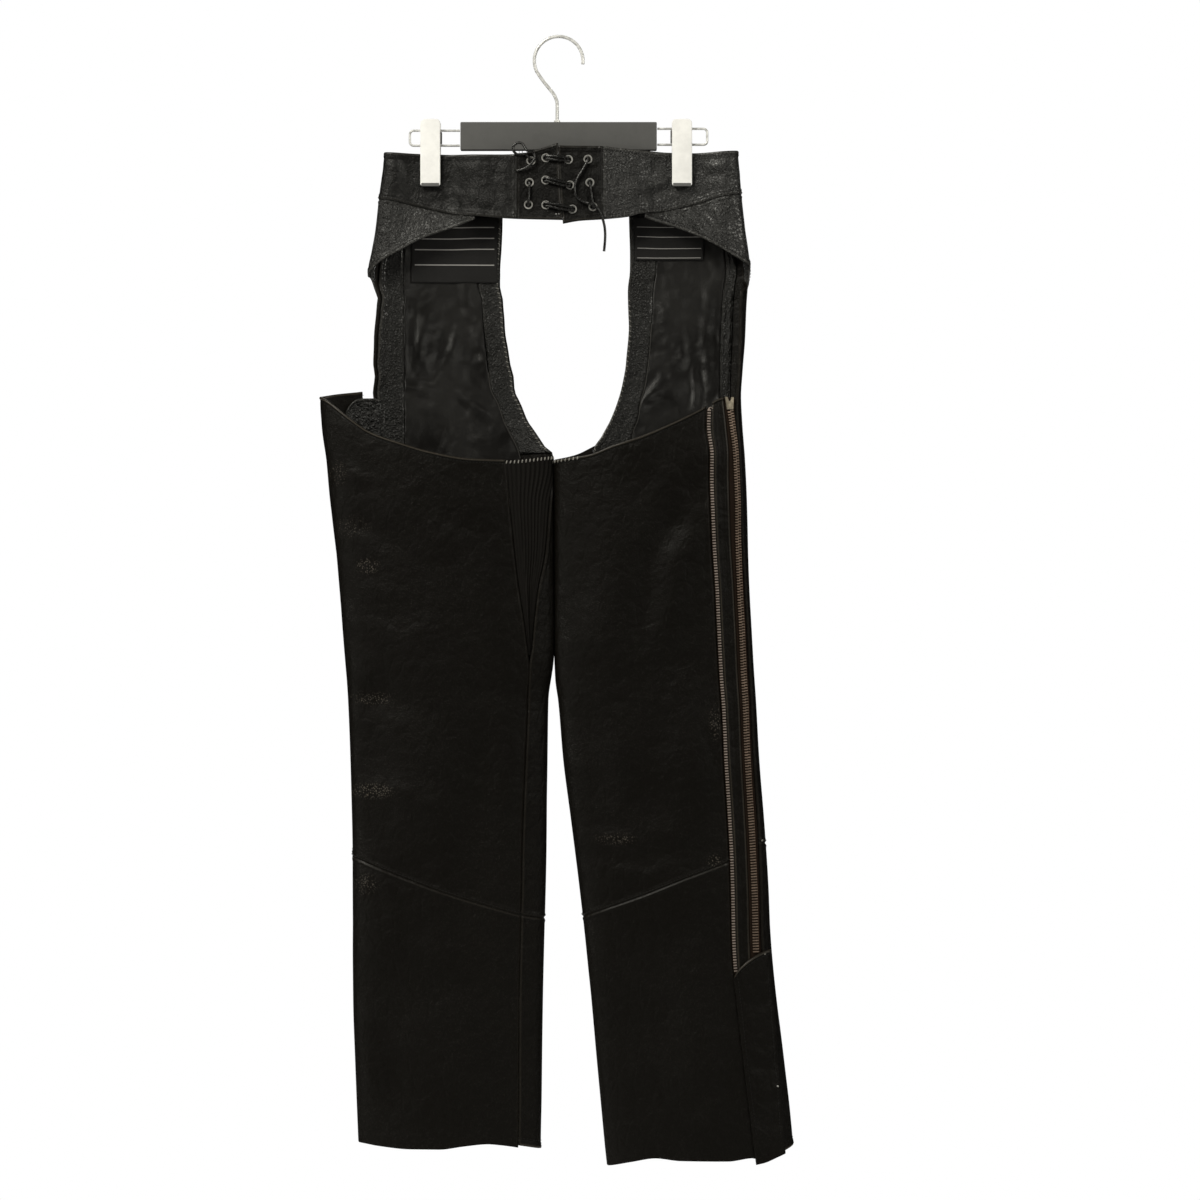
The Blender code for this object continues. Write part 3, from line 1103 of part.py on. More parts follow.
def stud(side, x, z, face, radius, low, high):
    """Returns a small domed stud on the form."""
    angle = side.angle_at(x, z, face)
    out = Vector(side.outward(angle, np.float64(z)))
    point = Vector(side.place(angle, np.float64(z)))
    across = Vector((0, 0, 1)).cross(out).normalized()
    up = out.cross(across)
    points, faces = [], []
    count = 10
    for r, h in ((radius, low), (radius, (low + high) / 2), (radius * 0.6, high)):
        for k in range(count):
            a = 2 * math.pi * k / count
            points.append(tuple(point + (across * math.cos(a) + up * math.sin(a)) * r + out * h))
    for j in range(2):
        for k in range(count):
            a, b = j * count + k, j * count + (k + 1) % count
            faces.append((a, b, b + count, a + count))
    faces.append(tuple(range(count - 1, -1, -1)))
    faces.append(tuple(range(2 * count, 3 * count)))
    return points, faces


proud = LAYER_GAP + FLAP_WALL + GAP
solid("belt_snap", *stud(LEFT, CLOSING["snap_x"], CLOSING["snap_z"], FRONT, CLOSING["snap_radius"], proud,
                         proud + 1.8), "slider_metal", flat=True)


def rod(name, path, width, slot, sides=8):
    """Makes a closed round wire along a path in millimetres."""
    path = [Vector(p) for p in path]
    points, faces = [], []
    aside = None
    for k, p in enumerate(path):
        ahead = (path[min(k + 1, len(path) - 1)] - path[max(k - 1, 0)]).normalized()
        if aside is None:
            aside = ahead.cross(Vector((0, 1, 0))).normalized()
        aside = (aside - ahead * aside.dot(ahead)).normalized()
        over = ahead.cross(aside)
        for i in range(sides):
            a = 2 * math.pi * i / sides
            points.append(tuple(p + (aside * math.cos(a) + over * math.sin(a)) * width / 2))
    for k in range(len(path) - 1):
        for i in range(sides):
            a, b = k * sides + i, k * sides + (i + 1) % sides
            faces.append((a, b, b + sides, a + sides))
    faces.append(tuple(range(sides)))
    last = (len(path) - 1) * sides
    faces.append(tuple(range(last + sides - 1, last - 1, -1)))
    return solid(name, points, faces, slot)


def arc_path(cx, cz, radius, start, stop, count, y=0.0):
    """Returns points on an arc in the upright plane, angles in degrees."""
    turns = [math.radians(start + (stop - start) * k / count) for k in range(count + 1)]
    return [(cx + radius * math.cos(a), y, cz + radius * math.sin(a)) for a in turns]


# Hanger: hook, bar, wire loops and clips
hook = [(-1.6, 0, BAR["top"] + GAP), (-1.6, 0, -70.0), (-2.6, 0, -64.5), (-5.6, 0, -58.5)]
hook += [(-12.5, 0, -50.0), (-19.0, 0, -41.5)] + arc_path(0.0, HOOK_CENTRE_Z, HOOK_RADIUS, 207, -8, 17)
rod("hanger_hook", hook, HOOK_WIRE, "hanger_chrome")


def block(x0, x1, y0, y1, z0, z1, corner=0.0, corner_low=0.0):
    """Returns a block with rounded top and bottom corners in the front view."""
    outline = []
    corners = ((x1, z1, 0, corner), (x0, z1, 90, corner))
    corners += ((x0, z0, 180, corner_low), (x1, z0, 270, corner_low))
    for cx, cz, start, r in corners:
        if r <= 0:
            outline.append((cx, cz))
            continue
        mx, mz = cx + (r if cx == x0 else -r), cz + (r if cz == z0 else -r)
        outline += [(p[0], p[2]) for p in arc_path(mx, mz, r, start, start + 90, 4)]
    n = len(outline)
    points = [(x, y, z) for y in (y0, y1) for x, z in outline]
    faces = [tuple(range(n)), tuple(range(2 * n - 1, n - 1, -1))]
    faces += [(k, k + n, (k + 1) % n + n, (k + 1) % n) for k in range(n)]
    return points, faces


half_bar = BAR["depth"] / 2
bar_block = block(BAR["left"], BAR["right"], -half_bar, half_bar, BAR["bottom"], BAR["top"], 1.0, 1.0)
solid("hanger_bar", *bar_block, "hanger_bar_grey", flat=True)


def clip(name, centre, loop):
    """Makes a clip with two jaws joined by a web between its loop's wires, rounded at the corners."""
    web_low, web_high = loop["lower"] + LOOP_WIRE / 2 + GAP, loop["upper"] - LOOP_WIRE / 2 - GAP
    half, deep, thin = CLIP["width"] / 2, CLIP["inner"] + CLIP["plate"], CLIP["inner"]
    grip = PINCH["depth"] + GAP
    low, high, foot = CLIP["bottom"], CLIP["top"], CLIP["bottom"] + CLIP["pad_height"]
    near = [(-deep, low), (-grip, low), (-grip, foot), (-thin, foot + 2.8), (-thin, web_low)]
    profile = near + [(-y, z) for y, z in reversed(near)]
    profile += [(deep, high), (thin, high), (thin, web_high), (-thin, web_high), (-thin, high), (-deep, high)]
    n = len(profile)
    points = [(centre + x, y, z) for x in (-half - 1, half + 1) for y, z in profile]
    faces = [tuple(range(n)), tuple(range(2 * n - 1, n - 1, -1))]
    faces += [(k, k + n, (k + 1) % n + n, (k + 1) % n) for k in range(n)]
    made = solid(name, points, faces, "clip_cream", flat=True)
    shape = block(centre - half, centre + half, -deep - 2, deep + 2, low - 0.001, high + 0.001, 4.5, 2.0)
    trim = solid(f"cutter_{name}", *shape, "clip_cream", flat=True)
    cut = made.modifiers.new("corners", "BOOLEAN")
    cut.operation = "INTERSECT"
    cut.solver = "EXACT"
    cut.object = trim
    trim.hide_render = True
    trim.display_type = "WIRE"


for label, centre in CLIP_CENTRES.items():
    loop = LOOPS[label]
    way = -1 if label == "left" else 1
    r = 4.0
    far, low, high = loop["far_end"] - way * LOOP_WIRE / 2, loop["lower"], loop["upper"]
    near = loop["bar_end"] + way * GAP
    path = [(near, 0, low)] + [(far - way * r, 0, low)]
    path += [(far - way * r * (1 - math.sin(a)), 0, low + r * (1 - math.cos(a))) for a in (0.52, 1.05)]
    path += [(far, 0, low + r), (far, 0, high - r)]
    path += [(far - way * r * (1 - math.cos(a)), 0, high - r * (1 - math.sin(a))) for a in (0.52, 1.05)]
    path += [(far - way * r, 0, high), (near, 0, high)]
    rod(f"wire_loop_{label}", path, LOOP_WIRE, "hanger_chrome")
    clip(f"clip_{label}", centre, loop)


# Lace: cords through the eyelets with the photo's free ends
def lace_point(x, z, lift):
    """Returns a point lifted off the tabs' face at x and z."""
    side = LEFT if x < 0 else RIGHT
    angle = side.angle_at(x, z, BACK)
    return side.skin(angle, np.float64(z), TAB_PROUD + lift)


def lace(name, track):
    """Makes a round cord along a track of x, z and lift off the tabs."""
    line = bpy.data.curves.new(name, "CURVE")
    line.dimensions = "3D"
    line.bevel_depth = LACE_WIDTH / 2 * MM
    line.bevel_resolution = 2
    line.use_fill_caps = True
    strand = line.splines.new("POLY")
    strand.points.add(len(track) - 1)
    for k, (x, z, lift) in enumerate(track):
        p = lace_point(x, z, lift)
        strand.points[k].co = (p[0] * MM, p[1] * MM, p[2] * MM, 1.0)
    line.materials.append(SLOTS["lace_black"])
    made = bpy.data.objects.new(name, line)
    bpy.context.scene.collection.objects.link(made)


OUT, IN = EYELET["proud"] + LACE_WIDTH / 2 + 0.5, -BELT_WALL - LACE_WIDTH / 2 - 0.6
STEP = LACE_WIDTH / 2 + 0.13


def crossing(first, second):
    """Returns the track of a strand that wraps twice from one eyelet to the one it faces."""
    a, b = first, second
    way = math.copysign(1.0, b.x - a.x)
    half = ((a.x + b.x) / 2, (a.z + b.z) / 2)
    track = [(a.x - 1.0 * way, a.z + STEP, IN), (a.x, a.z + STEP, OUT * 0.5)]
    track += [(a.x + 2.0 * way, a.z + STEP, OUT + 0.2), (half[0], half[1] + STEP + 0.5, OUT + 1.4)]
    track += [(b.x - 2.0 * way, b.z + STEP, OUT + 0.2), (b.x, b.z + STEP, OUT * 0.5)]
    track += [(b.x - 1.0 * way, b.z + STEP, IN), (half[0], half[1], IN - 0.6)]
    track += [(a.x + 1.0 * way, a.z - STEP, IN), (a.x, a.z - STEP, OUT * 0.5)]
    track += [(a.x + 2.0 * way, a.z - STEP, OUT + 0.2), (half[0], half[1] - STEP - 0.5, OUT + 1.4)]
    track += [(b.x - 2.0 * way, b.z - STEP, OUT + 0.2), (b.x, b.z - STEP, OUT * 0.5)]
    return track + [(b.x + 1.0 * way, b.z - STEP, IN)]


def standing_strand(first, second):
    """Returns the track of a strand from one eyelet out and down or up into the next."""
    way = math.copysign(2.0, second.z - first.z)
    half = ((first.x + second.x) / 2, (first.z + second.z) / 2, OUT + 0.6)
    track = [(first.x, first.z, IN), (first.x, first.z, OUT * 0.5), (first.x, first.z + way, OUT + 0.2), half]
    track += [(second.x, second.z - way, OUT + 0.2), (second.x, second.z, OUT * 0.5)]
    return track + [(second.x, second.z, IN)]


through = standing_strand(EYELETS_RIGHT[3], EYELETS_RIGHT[5]) + crossing(EYELETS_RIGHT[4], EYELETS_LEFT[5])
through += standing_strand(EYELETS_LEFT[4], EYELETS_LEFT[2]) + crossing(EYELETS_LEFT[3], EYELETS_RIGHT[2])
through += crossing(EYELETS_RIGHT[0], EYELETS_LEFT[1])
lace("lace_through", through)
lace("lace_tail", [tuple(point) for point in LACE_TAIL])
lace("lace_knot", [tuple(point) for point in LACE_KNOT])
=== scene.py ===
"""Looks of the leather riding chaps as they hang from their clip hanger, seen from the back.

Every hide, lining, zip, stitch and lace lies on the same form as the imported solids. The tables and
the wall offsets are in millimetres, and everything becomes metres when a mesh is made.
"""
from __future__ import annotations

import json
import logging
import math
from dataclasses import dataclass, field
from enum import Enum
from typing import Callable, Sequence

import bmesh
import bpy
import numpy as np
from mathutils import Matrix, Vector

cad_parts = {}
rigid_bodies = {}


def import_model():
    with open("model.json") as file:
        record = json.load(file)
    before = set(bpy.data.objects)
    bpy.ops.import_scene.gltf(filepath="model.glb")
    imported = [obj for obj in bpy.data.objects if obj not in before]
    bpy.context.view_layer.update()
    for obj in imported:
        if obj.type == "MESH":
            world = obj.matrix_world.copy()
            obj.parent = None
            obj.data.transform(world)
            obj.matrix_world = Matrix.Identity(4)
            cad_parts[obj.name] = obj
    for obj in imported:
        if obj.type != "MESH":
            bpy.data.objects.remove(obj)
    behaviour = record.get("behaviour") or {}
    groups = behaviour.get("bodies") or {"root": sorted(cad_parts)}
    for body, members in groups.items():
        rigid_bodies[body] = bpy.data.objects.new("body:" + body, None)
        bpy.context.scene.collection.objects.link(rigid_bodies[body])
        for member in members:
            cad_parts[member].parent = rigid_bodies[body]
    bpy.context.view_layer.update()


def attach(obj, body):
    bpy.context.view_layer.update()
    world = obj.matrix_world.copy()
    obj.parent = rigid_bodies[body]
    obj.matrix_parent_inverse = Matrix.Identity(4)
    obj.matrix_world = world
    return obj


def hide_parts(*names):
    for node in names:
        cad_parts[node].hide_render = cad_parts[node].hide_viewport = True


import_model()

LOG = logging.getLogger("chaps")
MM = 0.001
PIXEL = 1.05
Rows = tuple[tuple, ...]
Reader = Callable[[np.ndarray], np.ndarray]
RimReader = Callable[[np.ndarray, np.ndarray], np.ndarray]


class Face(Enum):
    """Where an edge place is read: on the front, on the back, or as a plain angle."""

    FRONT = "front"
    BACK = "back"
    TURN = "turn"


F, B, T = Face.FRONT, Face.BACK, Face.TURN

# Form of each half: height, left end, right end, middle, depth at the back and front, bluntness.
# An edge row is height, place and face; a rim row is place across and height.
LEFT_SIDE: Rows = (
    (-107.1, -181.7, 188.5, 0, 14, 14, 0.5), (-119.7, -183.2, 189.0, 0, 15, 15, 0.5),
    (-146.0, -186.4, 191.1, 0, 17, 16, 0.5), (-170.1, -189.5, 193.2, 0, 18, 17, 0.5),
    (-203.7, -193.2, 196.9, -1, 19, 17, 0.53), (-224.7, -196.9, 200.0, -1, 19, 17, 0.56),
    (-245.7, -200.6, 202.1, -2, 19, 18, 0.6), (-259.4, -200.6, 200.0, -2, 19, 18, 0.62),
    (-277.2, -195.8, 197.9, -3, 19, 19, 0.64), (-319.2, -204.2, 171.7, -6, 20, 21, 0.68),
    (-350.7, -223.1, 127.6, -9, 22, 23, 0.72), (-379.1, -250.4, 77.2, -12, 25, 25, 0.76),
    (-408.5, -248.9, 22.6, -14, 27, 26, 0.8), (-443.1, -244.1, -4.9, -15, 28, 26, 0.82),
    (-487.2, -239.9, -4.5, -15, 28, 26, 0.84), (-550.2, -232.6, -4.0, -15, 27, 25, 0.85),
    (-634.2, -225.8, -3.6, -15, 26, 24, 0.85), (-655.0, -224.1, -4.6, -15, 26, 24, 0.85),
    (-697.2, -221.0, -10.5, -14, 25, 23, 0.85),
    (-781.2, -217.9, -11.6, -14, 25, 23, 0.85), (-865.2, -216.3, -12.6, -13, 24, 22, 0.85),
    (-949.2, -216.3, -14.7, -13, 23, 21, 0.85), (-1012.2, -215.8, -16.1, -12, 23, 21, 0.85),
    (-1075.2, -213.7, -17.0, -12, 23, 21, 0.85), (-1117.2, -212.1, -17.5, -12, 23, 21, 0.85),
    (-1169.7, -210.0, -18.4, -12, 23, 21, 0.85), (-1196.0, -209.0, -18.4, -12, 23, 21, 0.85),
)
RIGHT_SIDE: Rows = (
    (-107.1, -181.7, 188.5, 0, 14, 14, 0.5), (-119.7, -183.2, 189.0, 0, 15, 15, 0.5),
    (-146.0, -186.4, 191.1, 0, 17, 16, 0.5), (-170.1, -189.5, 193.2, 0, 18, 17, 0.5),
    (-203.7, -193.2, 196.9, -1, 19, 17, 0.53), (-224.7, -196.9, 200.0, -1, 19, 17, 0.56),
    (-245.7, -200.6, 202.1, -2, 19, 18, 0.6), (-259.4, -200.6, 200.0, -2, 19, 18, 0.62),
    (-277.2, -195.8, 198.2, -3, 19, 19, 0.64), (-319.2, -176.9, 196.3, -6, 20, 21, 0.68),
    (-350.7, -134.9, 193.7, -9, 22, 23, 0.72), (-379.1, -87.7, 191.9, -12, 25, 25, 0.76),
    (-408.5, -35.2, 193.2, -14, 27, 26, 0.8), (-443.1, -4.9, 195.8, -15, 28, 26, 0.82),
    (-487.2, -4.9, 197.9, -15, 28, 26, 0.84), (-550.2, -4.9, 199.5, -15, 27, 25, 0.85),
    (-634.2, -4.8, 203.7, -15, 26, 24, 0.85), (-676.2, -3.4, 206.3, -14, 25, 23, 0.85),
    (-697.2, -0.5, 207.7, -14, 25, 23, 0.85), (-760.2, 5.0, 211.1, -14, 25, 23, 0.85),
    (-823.2, 13.1, 216.1, -13, 24, 22, 0.85), (-886.2, 21.0, 220.3, -13, 24, 22, 0.85),
    (-949.2, 28.1, 223.4, -13, 23, 21, 0.85), (-1012.2, 34.4, 229.4, -12, 23, 21, 0.85),
    (-1075.2, 40.1, 237.3, -12, 23, 21, 0.85), (-1117.2, 44.1, 242.3, -12, 23, 21, 0.85),
    (-1169.7, 49.1, 247.3, -12, 23, 21, 0.85), (-1196.0, 52.0, 249.9, -12, 23, 21, 0.85),
)
LEFT_FRONT_INNER: Rows = (
    (-177.5, -59.3, F), (-277.2, -58.8, F), (-298.2, -57.2, F), (-319.2, -55.1, F), (-340.2, -51.7, F),
    (-361.2, -47.2, F), (-382.2, -41.5, F), (-403.2, -32.6, F), (-424.2, -18.4, F), (-434.7, -10.5, F),
    (-441.0, 0, T), (-451.5, 0, T), (-487.2, -8.7, B), (-541.8, -13.2, B), (-582.8, -21.5, B),
    (-618.5, -25.7, B), (-650.0, -28.6, B), (-657.3, -29.9, B), (-697.2, -31.5, B), (-760.2, -34.1, B),
    (-865.2, -37.7, B), (-970.2, -39.9, B), (-1075.2, -41.0, B), (-1196.0, -41.5, B),
)
LEFT_BACK_INNER: Rows = (
    (-424.2, -55.7, B), (-448.4, -54.1, B), (-496.7, -49.9, B), (-568.1, -42.5, B), (-613.2, -35.7, B),
    (-650.0, -31.0, B), (-657.3, -29.9, B), (-697.2, -31.5, B), (-760.2, -34.1, B), (-865.2, -37.7, B),
    (-970.2, -39.9, B), (-1075.2, -41.0, B), (-1196.0, -41.5, B),
)
RIGHT_FRONT_INNER: Rows = (
    (-177.5, 74.0, F), (-298.2, 74.0, F), (-319.2, 73.3, F), (-340.2, 71.2, F), (-361.2, 68.0, F),
    (-382.2, 62.5, F), (-403.2, 54.1, F), (-424.2, 42.5, F), (-432.6, 35.7, F), (-448.4, 34.6, F),
    (-496.7, 33.1, F), (-550.2, 28.9, F), (-592.2, 23.6, F), (-650.0, 18.7, F), (-657.3, 17.3, F),
    (-697.2, 20.5, F), (-760.2, 26.8, F), (-865.2, 40.4, F), (-970.2, 52.5, F), (-1075.2, 62.0, F),
    (-1196.0, 73.0, F),
)
RIGHT_BACK_INNER: Rows = (
    (-424.2, -180, T), (-455.7, -180, T), (-497.7, -3.5, F), (-541.8, -0.5, F), (-582.8, 7.9, F),
    (-618.5, 12.1, F), (-650.0, 16.0, F), (-657.3, 17.3, F), (-697.2, 20.5, F), (-760.2, 26.8, F),
    (-865.2, 40.4, F), (-970.2, 52.5, F), (-1075.2, 62.0, F), (-1196.0, 73.0, F),
)
LEFT_FRONT_OUTER: Rows = (
    (-172.2, -166, T), (-268.8, -166, T), (-281.4, -192.4, F), (-298.2, -193.7, F), (-319.2, -195.3, F),
    (-340.2, -196.1, F), (-379.1, -195.8, F), (-413.7, -195.3, F), (-592.2, -193.7, F), (-802.2, -189.5, F),
    (-959.7, -183.2, F), (-1196.0, -174.8, F),
)
RIGHT_FRONT_OUTER: Rows = (
    (-172.2, -14, T), (-254.0, -14, T), (-260.0, 0, T), (-268.0, 190.6, B), (-319.2, 189.5, B),
    (-361.2, 188.0, B), (-379.1, 186.4, B), (-393.8, 185.6, B), (-487.2, 190.6, B), (-592.2, 196.1, B),
    (-697.2, 201.7, B), (-832.7, 209.5, B), (-891.5, 211.6, B), (-959.7, 213.2, B), (-996.5, 216.8, B),
    (-1075.2, 222.1, B), (-1180.2, 230.5, B), (-1196.0, 231.5, B),
)
RIGHT_STRIP_OUTER: Rows = (
    (-371.7, 173.1, B), (-393.8, 173.8, B), (-487.2, 178.5, B), (-592.2, 184.0, B), (-697.2, 189.5, B),
    (-832.7, 196.3, B), (-959.7, 200.6, B), (-976.5, 201.4, B), (-996.5, 208.4, B), (-1075.2, 215.8, B),
    (-1180.2, 224.2, B), (-1196.0, 225.2, B),
)
RIGHT_STRIP_INNER: Rows = (
    (-371.7, 162.9, B), (-424.2, 160.8, B), (-487.2, 163.3, B), (-592.2, 168.7, B), (-697.2, 174.8, B),
    (-832.7, 182.4, B), (-959.7, 186.6, B), (-978.6, 187.8, B), (-1001.7, 191.6, B), (-1075.2, 203.2, B),
    (-1180.2, 215.8, B), (-1196.0, 216.8, B),
)
RIGHT_BACK_OUTER: Rows = (
    (-371.7, 157.6, B), (-424.2, 155.7, B), (-487.2, 158.2, B), (-592.2, 163.7, B), (-697.2, 169.8, B),
    (-832.7, 177.3, B), (-959.7, 181.5, B), (-978.6, 182.8, B), (-1001.7, 191.6, B), (-1075.2, 203.2, B),
    (-1180.2, 215.8, B), (-1196.0, 216.8, B),
)
LEFT_RIM_BACK: Rows = (
    (-271.4, -369.6), (-250.4, -378.5), (-242.0, -383.2), (-234.7, -388.5), (-218.9, -401.1),
    (-197.9, -415.8), (-166.4, -427.4), (-134.9, -436.8), (-92.9, -444.2), (-55.1, -445.7),
)
LEFT_RIM_FRONT: Rows = (
    (-271.4, -384.3), (-250.4, -378.5), (-234.7, -375.4), (-211.6, -372.8),
)
LEFT_GUSSET_TOP: Rows = (
    (-61.4, -446.8), (-54.1, -446.8), (-7.4, -442.1),
)
RIGHT_RIM_BACK: Rows = (
    (-14.2, -449.4), (-5.2, -446.2), (33.1, -440.0), (54.1, -431.6), (85.6, -421.1), (127.6, -403.2),
    (148.6, -392.7), (171.7, -380.1), (184.3, -378.0), (195.8, -378.0),
)
RIGHT_GUSSET_TOP: Rows = (
    (-5.2, -444.7), (17.3, -439.4), (35.2, -431.0), (43.6, -426.3),
)
BELT_TOP_LEFT: Rows = (
    (-197.9, -120.2), (-183.2, -120.8), (-134.9, -122.9), (-61.4, -124.4), (-42.5, -123.9), (-24.7, -119.7),
    (-1.1, -112.4),
)
BELT_TOP_RIGHT: Rows = (
    (-1.1, -115.0), (43.6, -115.5), (64.6, -117.6), (106.6, -120.8), (138.1, -121.8), (188.5, -119.2),
    (201.1, -118.7),
)
BELT_BOTTOM_LEFT: Rows = (
    (-208.4, -170.1), (-189.5, -170.1), (-176.9, -171.7), (-145.4, -178.5), (-119.2, -184.8),
    (-82.4, -189.5), (-42.5, -192.2), (-1.1, -193.2),
)
BELT_BOTTOM_RIGHT: Rows = (
    (-1.1, -198.5), (6.8, -196.9), (22.6, -194.2), (45.7, -192.7), (71.9, -190.1), (86.6, -186.4),
    (106.6, -183.8), (127.6, -179.6), (148.6, -174.3), (169.6, -168.0), (193.7, -164.8), (207.4, -164.8),
)
LEFT_YOKE_EDGE: Rows = (
    (-208.4, -252.0), (-200.0, -247.8), (-189.5, -237.8), (-168.5, -225.8), (-145.4, -213.2),
    (-108.7, -200.0), (-85.6, -191.7),
)
LEFT_YOKE_TURN: Rows = (
    (-208.4, -252.0), (-200.0, -252.0), (-191.6, -273.0),
)
RIGHT_YOKE_EDGE: Rows = (
    (85.6, -189.0), (127.6, -202.1), (148.6, -210.5), (169.6, -221.6), (185.3, -231.0), (201.1, -239.4),
    (211.6, -243.6),
)
RIGHT_YOKE_TURN: Rows = (
    (194.8, -266.0), (203.2, -258.0), (211.6, -250.0),
)
LEFT_KNEE_BACK: Rows = (
    (-229.4, -855.8), (-216.8, -861.0), (-166.4, -881.0), (-113.9, -899.9), (-61.4, -915.6),
    (-38.3, -921.9), (-12.1, -926.1),
)
LEFT_KNEE_FRONT: Rows = (
    (-229.4, -855.8), (-212.6, -854.7), (-166.4, -873.6), (-113.9, -891.5), (-61.4, -912.5),
    (-12.1, -926.1),
)
RIGHT_KNEE_BACK: Rows = (
    (17.3, -926.6), (33.1, -920.9), (85.6, -902.0), (127.6, -885.2), (174.8, -867.3), (196.9, -858.9),
)
RIGHT_KNEE_WRAP: Rows = (
    (190.6, -842.1), (220.0, -846.3),
)
RIGHT_KNEE_FRONT: Rows = (
    (17.3, -926.6), (43.6, -921.9), (85.6, -905.1), (138.1, -886.2), (190.6, -861.0), (220.0, -846.3),
)
LEFT_HEM: Rows = (
    (-229.4, -1161.3), (-210.5, -1161.3), (-187.4, -1163.9), (-153.8, -1166.5), (-124.4, -1166.5),
    (-99.2, -1163.4), (-74.0, -1161.3), (-61.4, -1162.4), (-36.2, -1166.5), (-18.4, -1170.2),
)
RIGHT_HEM: Rows = (
    (33.1, -1188.6), (49.9, -1186.0), (77.2, -1180.2), (102.4, -1176.0), (127.6, -1178.6), (178.0, -1179.2),
    (203.2, -1176.0), (215.8, -1179.2), (228.4, -1175.0), (246.2, -1166.5), (253.6, -1161.3),
)
FLAP_TOP: Rows = (
    (183.2, -987.0), (186.4, -980.7), (191.6, -974.9), (200.0, -968.1), (209.5, -962.3), (221.0, -958.1),
    (227.3, -956.6),
)
FLAP_BOTTOM: Rows = (
    (190.6, -1186.5), (206.3, -1182.8), (215.8, -1180.7), (228.4, -1175.5), (246.2, -1167.6),
    (253.6, -1163.4),
)
FLAP_INNER: Rows = (
    (-949.2, 181.1, B), (-986.0, 183.2, B), (-1012.2, 186.4, B), (-1096.2, 195.8, B), (-1180.2, 206.3, B),
    (-1196.0, 208.4, B),
)
FLAP_OUTER: Rows = (
    (-949.2, 220.3, B), (-975.5, 221.4, B), (-1012.2, 224.4, B), (-1075.2, 229.7, B), (-1148.7, 235.2, B),
    (-1196.0, 238.9, B),
)
FRONT_BELT_TOP: Rows = (
    (-197.9, -121.3), (-183.2, -121.8), (-134.9, -124.4), (-42.5, -121.4), (43.6, -121.4), (106.6, -122.9),
    (138.1, -123.4), (188.5, -120.8), (201.1, -120.8),
)
FRONT_BELT_BOTTOM: Rows = (
    (-208.4, -170.1), (-189.5, -170.6), (-166.4, -175.3), (-124.4, -181.7), (-61.4, -184.3), (-1.1, -184.8),
    (59.3, -184.3), (127.6, -179.6), (169.6, -171.2), (193.7, -165.4), (207.4, -165.2),
)
TAB_EDGE_LEFT: Rows = (
    (-98.7, -0.5, B), (-140.7, 0.5, B), (-203.7, 5.2, B),
)
TAB_EDGE_RIGHT: Rows = (
    (-98.7, -0.5, B), (-140.7, 0.5, B), (-203.7, 5.2, B),
)
RIGHT_CHAIN: Rows = (
    (-371.7, 178.4, B), (-393.8, 179.6, B), (-613.2, 191.2, B), (-832.7, 202.3, B), (-959.7, 206.6, B),
    (-991.2, 207.6, B),
)
LEFT_FACING_OUT: Rows = tuple((z, -164.3 + (-177.5 - z) * 0.006, F) for z in np.arange(-177.5, -860, -13.0))
LEFT_PIPING: Rows = (
    (-177.5, -82.4, F), (-277.2, -81.4, F), (-319.2, -78.2, F), (-350.7, -74.5, F), (-382.2, -65.6, F),
    (-413.7, -53.0, F), (-441.0, -40.4, F), (-461.0, -36.2, F), (-550.2, -38.3, F), (-697.2, -44.6, F),
    (-854.7, -48.8, F),
)
RIGHT_PIPING: Rows = (
    (-177.5, 101.3, F), (-277.2, 99.2, F), (-319.2, 97.1, F), (-361.2, 92.4, F), (-392.7, 85.6, F),
    (-424.2, 78.2, F), (-461.0, 73.0, F), (-550.2, 77.2, F), (-697.2, 85.6, F), (-854.7, 98.2, F),
)
RIGHT_FACING_IN: Rows = (
    (-177.5, 171.7, F), (-382.2, 171.2, F), (-466.2, 171.7, F), (-854.7, 190.6, F),
)
RIGHT_FACING_OUT: Rows = (
    (-177.5, 181.0, F), (-382.2, 182.0, F), (-466.2, 184.0, F),
)
GUARD_TOP: Rows = (
    (-229.4, -399.0), (-225.2, -394.3), (-221.0, -386.9), (-216.8, -382.7), (-211.6, -380.1),
    (-196.9, -379.6), (-188.5, -380.6),
)


def photo(px: float, py: float) -> tuple[float, float]:
    """Returns the x and z in millimetres of a place in the photo's pixels."""
    return (px - 558.5) * PIXEL, (36.0 - py) * PIXEL


def ramp(value: np.ndarray, low: float, high: float) -> np.ndarray:
    """Returns 0 at low and 1 at high with soft ends."""
    t = np.clip((np.asarray(value, float) - low) / (high - low), 0, 1)
    return t * t * (3 - 2 * t)


def bump(value: np.ndarray, centre: float, width: float) -> np.ndarray:
    """Returns a bell of height 1 round a centre."""
    return np.exp(-(((np.asarray(value, float) - centre) / width) ** 2))


